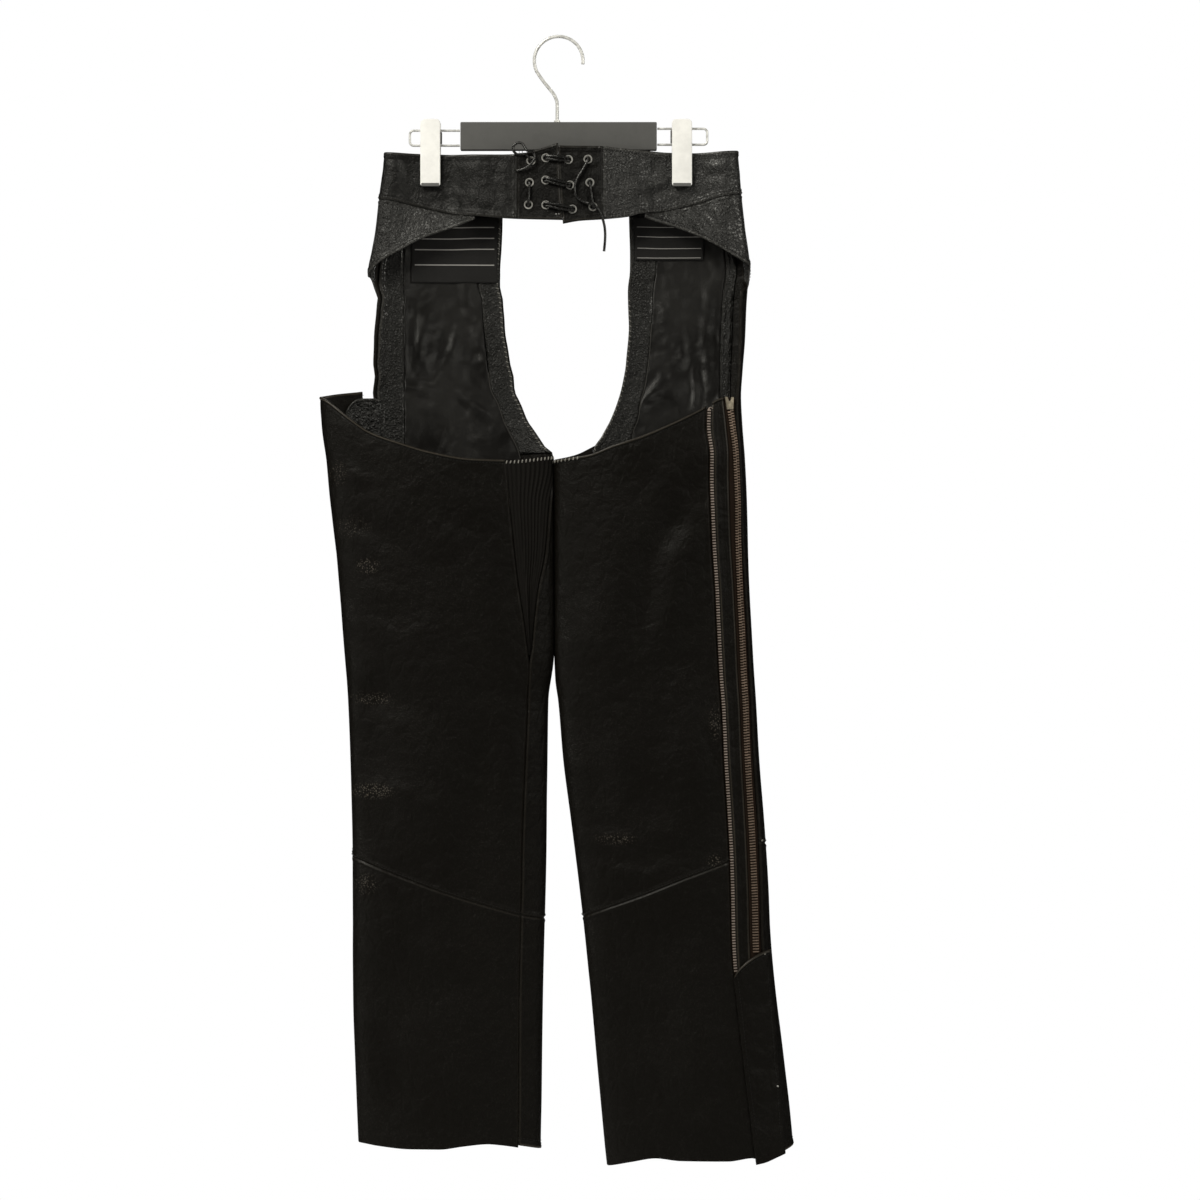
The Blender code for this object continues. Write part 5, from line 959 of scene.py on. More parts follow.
@dataclass
class Cloth:
    """One sewn piece: a thin closed wall on its half's form between two edges and two rims.

    Attributes:
        node: the CAD node that it stands for.
        side: its half's form.
        start: edge with the smaller angle.
        end: edge with the greater angle.
        bottom: lower rim.
        top: upper rim.
        finish: its finish.
        slot: the record's slot.
        off: millimetres that its outer face stands off the form.
        wall: its thickness.
        trims: seam allowance left open at both edges.
        borders: how it ends at start, end, bottom and top.
        inside: whether its inner face is the one that shows.
        cell: width of the mesh's cells.
        ribs: number of raised ribs.
        folds: its own soft folds, on the shown face only.
        hangs: what carries it; not used.
    """

    node: str
    side: Side
    start: Reader
    end: Reader
    bottom: RimReader
    top: RimReader
    finish: object
    slot: str
    off: float = 0.0
    wall: float = 1.4
    trims: tuple[float, float] = (0.02, 0.02)
    borders: tuple[Border, ...] = (Border.SEAM,) * 4
    inside: bool = False
    cell: float = 4.6
    ribs: int = 0
    folds: tuple[Crease, ...] = ()
    hangs: tuple[str, ...] = ()
    holes: tuple[tuple[float, float], ...] = ()
    spans: tuple = field(default=(), init=False)

    def __post_init__(self) -> None:
        """Trims the edges and measures the piece's width at every height."""
        first, last = self.side.shifted(self.start, self.trims[0]), self.side.shifted(self.end, -self.trims[1])
        share = np.linspace(0, 1, 61)
        low = min(float(np.min(self.bottom(np.linspace(-260, 260, 40), a))) for a in (90, -90)) - 60
        high = max(float(np.max(self.top(np.linspace(-260, 260, 40), a))) for a in (90, -90)) + 60
        low, high = max(low, -1215.0), min(high, -90.0)
        heights = np.linspace(low, high, max(24, int((high - low) / 6)))
        begin, end = first(heights)[:, None], last(heights)[:, None]
        angles = begin + (end - begin) * share
        path = self.side.place(angles, heights[:, None] + 0 * angles)
        gone = np.cumsum(np.linalg.norm(np.diff(path, axis=1), axis=-1), axis=1)
        gone = np.concatenate([np.zeros((len(heights), 1)), gone], axis=1)
        turns = [np.interp(share * row[-1], row, turn) for row, turn in zip(gone, angles)]
        self.spans = (heights, gone[:, -1], np.array(turns))

    def width(self, z: np.ndarray) -> np.ndarray:
        """Returns the piece's width along the form at heights."""
        return np.interp(z, self.spans[0], self.spans[1])

    def angle(self, share: np.ndarray, z: np.ndarray) -> np.ndarray:
        """Returns the angle of places at shares of the width and at heights."""
        heights, _, turns = self.spans
        j = np.clip((z - heights[0]) / (heights[1] - heights[0]), 0, len(heights) - 1.001)
        i = np.clip(np.asarray(share, float) * 60, 0, 59.999)
        a, b = j.astype(int), i.astype(int)
        s, t = j - a, i - b
        return ((1 - s) * ((1 - t) * turns[a, b] + t * turns[a, b + 1])
                + s * ((1 - t) * turns[a + 1, b] + t * turns[a + 1, b + 1]))

    def ends(self, share: np.ndarray) -> tuple[np.ndarray, np.ndarray]:
        """Returns the heights of the lower and upper rim at shares of the width."""
        share = np.asarray(share, float)
        found = []
        for read in (self.bottom, self.top):
            z = np.full(share.shape, float(read(0.0, 0.0)))
            for _ in range(16):
                angle = self.angle(share, z)
                z = 0.4 * z + 0.6 * read(self.side.place(angle, z)[..., 0], angle)
            found.append(z)
        return found[0], found[1]

    @staticmethod
    def stops(length: np.ndarray, count: int) -> np.ndarray:
        """Returns shares from 0 to 1, close together near both ends, for each of some lengths."""
        near = np.array(GRID_STOPS)
        length = np.asarray(length, float)[..., None]
        squeeze = np.minimum(1.0, 0.4 * length / near[-1])
        inset = near * squeeze / np.maximum(length, 1e-6)
        middle = np.linspace(0, 1, count + 2)[1:-1]
        rest = inset[..., -1:] + (1 - 2 * inset[..., -1:]) * middle
        return np.concatenate([inset, rest, 1 - inset[..., ::-1]], axis=-1)

    def rise(self, share: np.ndarray, angle: np.ndarray, z: np.ndarray, low: np.ndarray,
             high: np.ndarray) -> np.ndarray:
        """Returns how far the shown face stands off the plain wall."""
        width = self.width(z)
        gaps = (share * width, (1 - share) * width, z - low, high - z)
        lift = np.zeros(np.shape(z))
        for kind, gap in zip(self.borders, gaps):
            lift = lift + kind.rise(gap)
        if self.ribs:
            near = ramp(gaps[3], 0.0, 4.0) * ramp(gaps[2], 0.0, 6.0)
            lift = lift + 1.1 * near * (0.5 - 0.5 * np.cos(2 * np.pi * self.ribs * share))
        x = self.side.place(angle, z)[..., 0]
        for fold in self.folds:
            lift = lift + fold.rise(x, z)
        return np.maximum(lift, -self.wall * 0.6)

    def surface(self, share: np.ndarray, z: np.ndarray, lift: float = 0.0) -> tuple[np.ndarray, np.ndarray]:
        """Returns points on the shown face with its directions outwards.

        Args:
            share: places across, from 0 to 1.
            z: heights.
            lift: millimetres above the face.
        """
        share, z = np.asarray(share, float), np.asarray(z, float)
        angle = self.angle(share, z)
        low, high = self.ends(share)
        way = -1.0 if self.inside else 1.0
        plain = self.off - self.wall if self.inside else self.off
        rise = self.rise(share, angle, z, low, high) + lift
        return self.side.skin(angle, z, plain + way * rise), way * self.side.outward(angle, z)

    def make(self) -> bpy.types.Object:
        """Builds the piece, logs its flat cut size and returns it."""
        broad = float(np.max(self.width(np.linspace(*self._reach(), 30))))
        count = max(3, int((broad - 17) / self.cell))
        if self.ribs:
            count = self.ribs * 8
        uniform = np.linspace(0, 1, 2 * len(GRID_STOPS) + count)
        low, high = self.ends(uniform)
        tall = float(np.max(high - low))
        levels = self.stops(high - low, max(3, int((tall - 17) / (self.cell * 1.15))))
        z = low + (high - low) * levels.T
        for _ in range(3):
            share = self.stops(self.width(z), count)
            share = np.take_along_axis(share, np.broadcast_to(np.arange(len(uniform))[:, None], z.shape + (1,)),
                                       axis=-1)[..., 0] if share.ndim == 3 else share
            low, high = self.ends(share)
            z = low + (high - low) * levels.T
        angle = self.angle(share, z)
        rise = self.rise(share, angle, z, low, high)
        out_lift = self.off + (0.0 if self.inside else rise)
        in_lift = self.off - self.wall - (rise if self.inside else 0.0)
        outer = self.side.skin(angle, z, out_lift)
        inner = self.side.skin(angle, z, in_lift + 0 * angle)
        made = self._wall(outer, inner, share, levels.T + 0 * share, z, low, high)
        self._pierce(made)
        cut = self._cut(self.side.place(angle, z))
        show(made, self.slot, self.node)
        LOG.info("%s cut %.3f x %.3f m, %.4f m2", self.node, *cut)
        return made

    def _reach(self) -> tuple[float, float]:
        """Returns the least and greatest height of the piece."""
        low, high = self.ends(np.linspace(0, 1, 13))
        return float(np.min(low)), float(np.max(high))

    @staticmethod
    def _cut(base: np.ndarray) -> tuple[float, float, float]:
        """Returns the flat width, length and area in metres of a grid on the form."""
        over = np.linalg.norm(np.diff(base, axis=1), axis=-1).sum(axis=1).max()
        down = np.linalg.norm(np.diff(base, axis=0), axis=-1).sum(axis=0).max()
        a, b = base[1:, 1:] - base[:-1, :-1], base[1:, :-1] - base[:-1, 1:]
        area = 0.5 * np.linalg.norm(np.cross(a, b), axis=-1).sum()
        wide, area = max(over * MM, 0.01), area * MM * MM
        tall = min(down * MM, area / wide / 0.32)
        return wide, tall, min(area, wide * tall)

    def _wall(self, outer: np.ndarray, inner: np.ndarray, share: np.ndarray, levels: np.ndarray,
              z: np.ndarray, low: np.ndarray, high: np.ndarray) -> bpy.types.Object:
        """Closes two faces into a wall with its marks for the finish."""
        rows, cols = outer.shape[:2]
        half = rows * cols
        number = np.arange(half).reshape(rows, cols)
        a, b, c, d = (number[:-1, :-1], number[:-1, 1:], number[1:, 1:], number[1:, :-1])
        face = np.stack([a, b, c, d], axis=-1).reshape(-1, 4)
        back = face[:, ::-1] + half
        ring = np.r_[number[0], number[1:, -1], number[-1, -2::-1], number[-2:0:-1, 0]]
        after = np.roll(ring, -1)
        side = np.stack([ring, ring + half, after + half, after], axis=-1)
        mesh = bpy.data.meshes.new(self.node + "_sewn")
        points = np.concatenate([outer.reshape(-1, 3), inner.reshape(-1, 3)]) * MM
        mesh.from_pydata(points.tolist(), [], np.concatenate([face, back, side]).tolist())
        smooth = np.ones(len(mesh.polygons), bool)
        smooth[2 * len(face):] = False
        mesh.polygons.foreach_set("use_smooth", smooth)
        gaps = np.stack([share * self.width(z), (1 - share) * self.width(z), z - low, high - z])
        # lit: how strongly the finish paints the lighter strip and the bright highlight line near the nearest border.
        lit = np.array([kind.lit for kind in self.borders])[gaps.argmin(axis=0)]
        for name, values in (("over", share), ("up", levels), ("border", gaps.min(axis=0) / 10), ("lit", lit)):
            mark = mesh.attributes.new(name, "FLOAT", "POINT")
            mark.data.foreach_set("value", np.tile(values.reshape(-1), 2).astype(np.float32))
        layer = mesh.uv_layers.new(name="cut")
        corners = np.zeros(len(mesh.loops), np.int32)
        mesh.loops.foreach_get("vertex_index", corners)
        flat = np.stack([np.tile(share.reshape(-1), 2), np.tile(levels.reshape(-1), 2)], axis=-1)
        layer.data.foreach_set("uv", flat[corners].reshape(-1).astype(np.float32))
        body = bmesh.new()
        body.from_mesh(mesh)
        bmesh.ops.recalc_face_normals(body, faces=body.faces)
        body.to_mesh(mesh)
        body.free()
        return link(self.node + "_sewn", mesh, self.finish)

    def _pierce(self, made: bpy.types.Object) -> None:
        """Cuts the lacing holes through the piece."""
        if not self.holes:
            return
        points, faces = [], []
        for x, z in self.holes:
            point, out, across, up = self.side.frame_at(x, z)
            n = len(points)
            points += [point + out * h + (across * math.cos(a) + up * math.sin(a)) * 3.5
                       for h in (-self.wall - 2, 3) for a in np.arange(20) * math.tau / 20]
            faces += [range(n, n + 20), range(n + 39, n + 19, -1)]
            faces += [(n + k, n + k + 20, n + (k + 1) % 20 + 20, n + (k + 1) % 20) for k in range(20)]
        punch = solid("punch", points, faces, self.finish)
        cut = made.modifiers.new("hole", "BOOLEAN")
        cut.operation, cut.solver, cut.object = "DIFFERENCE", "EXACT", punch
        bake(made)
        bpy.data.objects.remove(punch, do_unlink=True)


def bake(made: bpy.types.Object) -> bpy.types.Object:
    """Turns an object's modifiers into its plain mesh and returns it."""
    graph = bpy.context.evaluated_depsgraph_get()
    mesh = bpy.data.meshes.new_from_object(made.evaluated_get(graph))
    made.modifiers.clear()
    made.data = mesh
    return made


class Shape(Enum):
    """Small shape that a run repeats."""

    BEAD = "bead"
    BLOCK = "block"


@dataclass(frozen=True)
class Stitch:
    """One kind of repeat along a line, in millimetres.

    Attributes:
        name: what it is called.
        shape: the shape that is repeated.
        pitch: distance from one to the next.
        size: half of its length, width and height.
        finish: its finish.
        turn: degrees that it lies across the line.
    """

    name: str
    shape: Shape
    pitch: float
    size: tuple[float, float, float]
    finish: object
    turn: float = 0.0


TOPSTITCH = Stitch("topstitch", Shape.BEAD, 3.4, (1.3, 0.36, 0.3), THREAD)
WHIPSTITCH = Stitch("whipstitch", Shape.BEAD, 5.2, (1.8, 0.4, 0.35), PALE_THREAD, 60.0)
LADDER = Stitch("ladder", Shape.BEAD, 4.1, (2.1, 0.75, 0.6), PALE_THREAD, 72.0)
TEETH = Stitch("teeth", Shape.BLOCK, 2.9, (0.62, 1.75, 0.6), BRONZE)
SPARE_TEETH = Stitch("spare_teeth", Shape.BLOCK, 2.9, (0.7, 1.7, 0.7), SILVERED)
Line = tuple[np.ndarray, np.ndarray]


class RunTree:
    """Geometry Nodes tree that sets one shape at even steps along the lines of a mesh."""

    INPUTS = (("Pitch", "NodeSocketFloat"), ("Size", "NodeSocketVector"), ("Turn", "NodeSocketVector"),
              ("Finish", "NodeSocketMaterial"))
    kept: dict[Shape, RunTree] = {}

    def __init__(self, shape: Shape) -> None:
        """Builds the tree for one shape."""
        self.tree = bpy.data.node_groups.new(f"run_of_{shape.value}s", "GeometryNodeTree")
        face = self.tree.interface
        face.new_socket("Lines", in_out="INPUT", socket_type="NodeSocketGeometry")
        self.ids = {name: face.new_socket(name, in_out="INPUT", socket_type=kind).identifier
                    for name, kind in self.INPUTS}
        face.new_socket("Set", in_out="OUTPUT", socket_type="NodeSocketGeometry")
        given = self._add("NodeGroupInput", {})
        curve = self._add("GeometryNodeMeshToCurve", {}, Mesh=given.outputs["Lines"])
        steps = self._add("GeometryNodeResampleCurve", {"mode": "LENGTH"}, Curve=curve.outputs[0],
                          Length=given.outputs["Pitch"])
        out = self._add("GeometryNodeInputNamedAttribute", {"data_type": "FLOAT_VECTOR"}, Name="out")
        ahead = self._add("GeometryNodeInputTangent", {})
        turned = self._add("FunctionNodeAxesToRotation", {"primary_axis": "X", "secondary_axis": "Z"},
                           Primary_Axis=ahead.outputs[0], Secondary_Axis=out.outputs[0])
        if shape is Shape.BEAD:
            one = self._add("GeometryNodeMeshUVSphere", {}, Segments=8, Rings=5, Radius=1.0)
        else:
            one = self._add("GeometryNodeMeshCube", {}, Size=(2.0, 2.0, 2.0))
        sized = self._add("GeometryNodeTransform", {}, Geometry=one.outputs[0], Rotation=given.outputs["Turn"],
                          Scale=given.outputs["Size"])
        spread = self._add("GeometryNodeInstanceOnPoints", {}, Points=steps.outputs[0],
                           Instance=sized.outputs[0], Rotation=turned.outputs[0])
        real = self._add("GeometryNodeRealizeInstances", {}, Geometry=spread.outputs[0])
        soft = self._add("GeometryNodeSetShadeSmooth", {}, Geometry=real.outputs[0],
                         Shade_Smooth=shape is Shape.BEAD)
        done = self._add("GeometryNodeSetMaterial", {}, Geometry=soft.outputs[0], Material=given.outputs["Finish"])
        self._add("NodeGroupOutput", {}, Set=done.outputs[0])

    def _add(self, kind: str, settings: dict[str, object], **named: object) -> bpy.types.Node:
        """Returns a new node with its settings and inputs."""
        made = self.tree.nodes.new(kind)
        for key, value in settings.items():
            setattr(made, key, value)
        for key, value in named.items():
            socket = made.inputs[key.replace("_", " ")]
            if isinstance(value, bpy.types.NodeSocket):
                self.tree.links.new(value, socket)
            else:
                socket.default_value = value
        return made

    @classmethod
    def run(cls, name: str, stitch: Stitch, lines: Sequence[Line]) -> bpy.types.Object:
        """Returns one plain object with a stitch repeated along lines.

        Args:
            name: the object's name.
            stitch: what is repeated.
            lines: points in millimetres and directions outwards of each line.
        """
        own = cls.kept.setdefault(stitch.shape, None) or cls(stitch.shape)
        cls.kept[stitch.shape] = own
        mesh = bpy.data.meshes.new(name)
        points, outs, links = [], [], []
        for places, out in lines:
            links += [(len(points) + k, len(points) + k + 1) for k in range(len(places) - 1)]
            points += (np.asarray(places) * MM).tolist()
            outs += np.asarray(out).tolist()
        mesh.from_pydata(points, links, [])
        mark = mesh.attributes.new("out", "FLOAT_VECTOR", "POINT")
        mark.data.foreach_set("vector", np.array(outs, np.float32).reshape(-1))
        made = link(name, mesh)
        run = made.modifiers.new("run", "NODES")
        run.node_group = own.tree
        for key, value in (("Pitch", stitch.pitch * MM), ("Size", tuple(s * MM for s in stitch.size)),
                           ("Turn", (0.0, 0.0, math.radians(stitch.turn))),
                           ("Finish", Stock.of(stitch.finish))):
            run[own.ids[key]] = value
        made.update_tag()
        return bake(made)


def down_edge(cloth: Cloth, inset: float, low: float, high: float, far: bool = False, lift: float = 0.1) -> Line:
    """Returns a line down a piece beside one of its edges.

    Args:
        cloth: the piece.
        inset: millimetres from the edge.
        low: lower height.
        high: upper height.
        far: whether the edge is the end and not the start.
        lift: millimetres above the face.
    """
    z = np.linspace(high, low, max(3, int((high - low) / 3)))
    share = inset / cloth.width(z)
    return cloth.surface(1 - share if far else share, z, lift)


def along_rim(cloth: Cloth, inset: float, first: float = 0.0, last: float = 1.0, top: bool = True,
              lift: float = 0.1) -> Line:
    """Returns a line along a piece's upper or lower rim, inset millimetres from it."""
    share = np.linspace(first, last, 60)
    low, high = cloth.ends(share)
    return cloth.surface(share, high - inset if top else low + inset, lift)


def on_form(side: Side, read: Reader, low: float, high: float, lift: float, aside: float = 0.0) -> Line:
    """Returns a line on the form along an edge, moved aside and lifted by millimetres."""
    z = np.linspace(high, low, max(3, int((high - low) / 3)))
    angle = side.shifted(read, aside)(z)
    return side.skin(angle, z, lift + 0 * z), side.outward(angle, z)


def eased(points: Sequence[Sequence[float]], steps: int = 6) -> np.ndarray:
    """Returns a smooth line through points."""
    p = np.array(points, float)
    p = np.vstack([2 * p[0] - p[1], p, 2 * p[-1] - p[-2]])
    t = np.linspace(0, 1, steps, endpoint=False)[:, None]
    parts = []
    for a, b, c, d in zip(p[:-3], p[1:-2], p[2:-1], p[3:]):
        parts.append(0.5 * (2 * b + (c - a) * t + (2 * a - 5 * b + 4 * c - d) * t**2
                            + (3 * b - a - 3 * c + d) * t**3))
    return np.vstack(parts + [p[-2:-1]])


def rod(name: str, path: np.ndarray, width: float, finish: object, sides: int = 16,
        round_end: bool = False) -> bpy.types.Object:
    """Makes a closed round wire along a path in millimetres.

    Args:
        name: the object's name.
        path: the points that it follows.
        width: its diameter.
        finish: its finish.
        sides: corners of its section.
        round_end: whether both its ends are rounded.
    """
    path = np.asarray(path, float)
    ahead = np.gradient(path, axis=0)
    ahead /= np.linalg.norm(ahead, axis=1, keepdims=True)
    radii = np.full(len(path), width / 2)
    if round_end:
        turns = np.radians((75, 50, 25))
        caps = [path[0] - ahead[0] * width / 2 * math.sin(a) for a in turns]
        ends = [path[-1] + ahead[-1] * width / 2 * math.sin(a) for a in turns[::-1]]
        path = np.vstack([caps, path, ends])
        ahead = np.vstack([ahead[:1]] * 3 + [ahead] + [ahead[-1:]] * 3)
        radii = np.r_[np.cos(turns) * width / 2, radii, np.cos(turns[::-1]) * width / 2]
    aside = np.cross(ahead[0], (0.0, 1.0, 0.0) if abs(ahead[0][1]) < 0.9 else (1.0, 0.0, 0.0))
    points, faces = [], []
    turn = np.arange(sides) * math.tau / sides
    for k, p in enumerate(path):
        aside = aside - ahead[k] * (aside @ ahead[k])
        aside /= np.linalg.norm(aside)
        over = np.cross(ahead[k], aside)
        points += [p + (aside * math.cos(a) + over * math.sin(a)) * radii[k] for a in turn]
    for k in range(len(path) - 1):
        row = [(k * sides + i, k * sides + (i + 1) % sides) for i in range(sides)]
        faces += [(a, b, b + sides, a + sides) for a, b in row]
    faces.append(range(sides))
    faces.append(range(len(points) - 1, len(points) - sides - 1, -1))
    return solid(name, np.array(points), faces, finish)


def joined(name: str, *parts: bpy.types.Object) -> bpy.types.Object:
    """Returns several objects made one, under a new name."""
    body = bmesh.new()
    finishes = []
    for part in parts:
        start = len(body.faces)
        body.from_mesh(part.data)
        body.faces.ensure_lookup_table()
        material = part.data.materials[0]
        if material not in finishes:
            finishes.append(material)
        for face in body.faces[start:]:
            face.material_index = finishes.index(material)
    mesh = bpy.data.meshes.new(name)
    body.to_mesh(mesh)
    body.free()
    for material in finishes:
        mesh.materials.append(material)
    for part in parts:
        bpy.data.objects.remove(part, do_unlink=True)
    return link(name, mesh)


def outline(x0: float, x1: float, z0: float, z1: float, corner: float, low: float) -> list[tuple[float, float]]:
    """Returns a rectangle's outline with rounded upper and lower corners."""
    found = []
    for x, z, start, r in ((x1, z1, 0, corner), (x0, z1, 90, corner), (x0, z0, 180, low), (x1, z0, 270, low)):
        mx, mz = x + (r if x == x0 else -r), z + (r if z == z0 else -r)
        found += [(mx + r * math.cos(math.radians(start + 15 * k)), mz + r * math.sin(math.radians(start + 15 * k)))
                  for k in range(7)]
    return found


def slab(name: str, shape: Sequence[tuple[float, float]], near: float, far: float, finish: object,
         bevel: float = 0.4, place: tuple[Vector, Vector, Vector, Vector] | None = None) -> bpy.types.Object:
    """Makes a plate from an outline.

    Args:
        name: the object's name.
        shape: its outline, across and up.
        near: where its first face lies: y, or the lift off a place.
        far: where its other face lies.
        finish: its finish.
        bevel: how far its edges are rounded.
        place: the point, outward, across and up directions that it lies on, or None for the upright plane.
    """
    n = len(shape)
    if place is None:
        points = [(x, y, z) for y in (near, far) for x, z in shape]
    else:
        point, out, across, up = place
        points = [tuple(point + across * x + up * z + out * y) for y in (near, far) for x, z in shape]
    faces = [range(n), range(2 * n - 1, n - 1, -1)]
    faces += [(k, k + n, (k + 1) % n + n, (k + 1) % n) for k in range(n)]
    return solid(name, points, faces, finish, bevel)


def turned_ring(name: str, place: tuple[Vector, Vector, Vector, Vector], profile: Sequence[tuple[float, float]],
                finish: object, sides: int = 28) -> bpy.types.Object:
    """Makes a turned ring from its section's radii and heights, on a place of the form."""
    point, out, across, up = place
    n = len(profile)
    points = [point + (across * math.cos(a) + up * math.sin(a)) * r + out * h
              for a in np.arange(sides) * math.tau / sides for r, h in profile]
    faces = [(k * n + i, k * n + (i + 1) % n, (k + 1) % sides * n + (i + 1) % n, (k + 1) % sides * n + i)
             for k in range(sides) for i in range(n)]
    return solid(name, points, faces, finish)


@dataclass
class Hanger:
    """Hook, bar, wire loops and clips, in millimetres."""

    hook_wire: float = 3.5
    hook_radius: float = 25.7
    hook_height: float = -23.95
    bar: tuple[float, float, float, float] = (-103.4, 103.4, -118.6, -89.0)
    depth: float = 11.0
    wire: float = 2.5
    loops: tuple[tuple[str, float, float, float, float, float], ...] = (
        ("left", -134.9, -103.7, -158.0, -97.6, -113.4), ("right", 129.9, 103.7, 157.8, -95.6, -112.4))

    def make(self) -> None:
        """Builds every part of the hanger."""
        self._hook()
        x0, x1, z0, z1 = self.bar
        half = self.depth / 2
        body = slab("bar", outline(x0, x1, z0, z1, 1.2, 1.2), -half, half, BAR_GREY, 1.0)
        show(joined("hanger_bar_moulded", body), "hanger_bar_grey", "hanger_bar")
        for label, centre, near, far, high, low in self.loops:
            self._loop(label, near, far, high, low)
            self._clip(label, centre, high, low)

    def _hook(self) -> None:
        """Bends the hook's wire."""
        top = self.bar[3] + 0.3
        turns = np.radians(np.linspace(207, -8, 40))
        bend = [(self.hook_radius * math.cos(a), 0, self.hook_height + self.hook_radius * math.sin(a))
                for a in turns]
        shank = [(-1.6, 0, top), (-1.6, 0, -70.0), (-2.6, 0, -64.5), (-5.6, 0, -58.5), (-12.5, 0, -50.0),
                 (-19.0, 0, -41.5)]
        wire = rod("hook", np.vstack([eased(shank + bend[:1], 5)[:-1], bend]), self.hook_wire, CHROME, 20)
        point = Vector((-1.6, 0, top))
        collar = turned_ring("collar", (point, Vector((0, 0, 1)), Vector((1, 0, 0)), Vector((0, 1, 0))),
                             ((1.75, 0.0), (3.2, 0.0), (3.2, 1.6), (2.4, 2.2), (1.75, 2.2)), CHROME)
        show(joined("hanger_hook_bent", wire, collar), "hanger_chrome", "hanger_hook")

    def _loop(self, label: str, near: float, far: float, high: float, low: float) -> None:
        """Bends one wire loop out of the bar."""
        way = -1 if far < 0 else 1
        r, far, near = 4.0, far - way * self.wire / 2, near + way * 0.3
        turns = np.radians(np.linspace(0, 90, 7))
        corner = [(far - way * r * (1 - math.sin(a)), 0, low + r * (1 - math.cos(a))) for a in turns]
        upper = [(far - way * r * (1 - math.cos(a)), 0, high - r * (1 - math.sin(a))) for a in turns]
        path = [(near, 0, low)] + corner + upper + [(near, 0, high)]
        show(rod(f"wire_loop_{label}_bent", path, self.wire, CHROME, 14), "hanger_chrome", f"wire_loop_{label}")

    def _clip(self, label: str, centre: float, high: float, low: float) -> None:
        """Moulds one clip: two jaws, the web between the wires, pads and pivot ends."""
        parts = []
        for way in (-1, 1):
            face = outline(centre - 10.5, centre + 10.5, -156.4, -86.2, 4.5, 2.0)
            near, far = sorted((way * 6.3, way * 9.3))
            parts.append(slab("jaw", face, near, far, CREAM, 0.7))
            near, far = sorted((way * 3.5, way * 6.4))
            parts.append(slab("grip", outline(centre - 9.6, centre + 9.6, -156.0, -146.8, 0.8, 0.8), near, far,
                              PAD_GREY, 0.3))
            near, far = sorted((way * 6.2, way * 9.45))
            parts.append(slab("pad", outline(centre - 9.4, centre + 9.4, -157.0, -153.6, 0.6, 0.6), near, far,
                              PAD_GREY, 0.3))
        parts.append(slab("web", outline(centre - 10.0, centre + 10.0, low + 1.55, high - 1.55, 0.6, 0.6), -6.4, 6.4,
                          CREAM, 0.3))
        way = 1 if centre < 0 else -1
        x0, x1 = sorted((centre + way * 10.3, centre + way * 12.0))
        parts.append(slab("pivot", outline(x0, x1, low + 1.9, high - 1.9, 0.5, 0.5), -4.2, 4.2, PAD_GREY, 0.2))
        show(joined(f"clip_{label}_moulded", *parts), "clip_cream", f"clip_{label}")


LEFT_CREASES = (
    Crease(((330, 478), (352, 474), (372, 488)), 9, 1.6), Crease(((336, 520), (366, 524), (400, 548)), 11, -1.8),
    Crease(((348, 694), (392, 700), (440, 716)), 12, -1.5), Crease(((352, 786), (398, 790), (450, 812)), 13, 1.6),
    Crease(((352, 876), (384, 882), (404, 900)), 9, 1.3), Crease(((400, 560), (430, 700), (424, 860)), 26, 1.6),
    Crease(((470, 600), (480, 760), (462, 900)), 20, -1.6), Crease(((380, 640), (372, 760), (384, 850)), 16, -1.3),
    Crease(((500, 700), (510, 860), (500, 1010)), 16, 1.4), Crease(((390, 960), (402, 1050), (396, 1130)), 22, -1.8),
    Crease(((460, 940), (470, 1040), (466, 1120)), 24, 1.8), Crease(((420, 480), (450, 520), (492, 540)), 14, -1.4),
    Crease(((362, 1010), (372, 1090), (370, 1138)), 14, 1.4), Crease(((344, 600), (390, 616), (440, 612)), 10, -1.0),
    Crease(((400, 1000), (440, 980), (500, 990)), 18, -1.0),
    Crease(((360, 520), (400, 560), (480, 560)), 18, -2.0, F), Crease(((370, 700), (420, 720), (500, 700)), 20, 1.8, F),
    Crease(((380, 860), (440, 870), (500, 850)), 14, -1.6, F), Crease(((420, 940), (430, 1040), (420, 1130)), 24, 2.0, F),
    Crease(((480, 600), (470, 700), (480, 820)), 20, -1.8, F),
)
RIGHT_CREASES = (
    Crease(((722, 468), (690, 492), (652, 560), (640, 662)), 15, -2.4),
    Crease(((704, 520), (676, 560), (664, 640)), 13, 1.9), Crease(((600, 480), (612, 560), (600, 660)), 20, 1.8),
    Crease(((640, 660), (650, 740), (644, 820)), 22, -1.7), Crease(((588, 836), (618, 838), (644, 846)), 8, 1.6),
    Crease(((596, 852), (640, 858), (690, 846)), 12, -1.5), Crease(((716, 706), (712, 722), (718, 742)), 7, 1.3),
    Crease(((690, 700), (694, 780), (688, 850)), 16, 1.5), Crease(((580, 700), (600, 760), (604, 820)), 14, -1.4),
    Crease(((620, 930), (636, 1030), (640, 1130)), 24, -1.9), Crease(((680, 900), (700, 1000), (706, 1120)), 26, 1.9),
    Crease(((730, 1010), (728, 1080), (738, 1150)), 10, -1.6), Crease(((640, 470), (660, 520), (700, 540)), 14, -1.3),
    Crease(((662, 950), (668, 1040), (672, 1120)), 16, -1.2),
    Crease(((640, 560), (680, 580), (740, 570)), 18, -2.0, F), Crease(((600, 720), (660, 740), (730, 720)), 20, 1.8, F),
    Crease(((620, 870), (680, 880), (740, 850)), 14, -1.6, F), Crease(((680, 940), (690, 1040), (700, 1130)), 24, 2.0, F),
    Crease(((620, 600), (630, 700), (640, 820)), 20, -1.8, F),
)
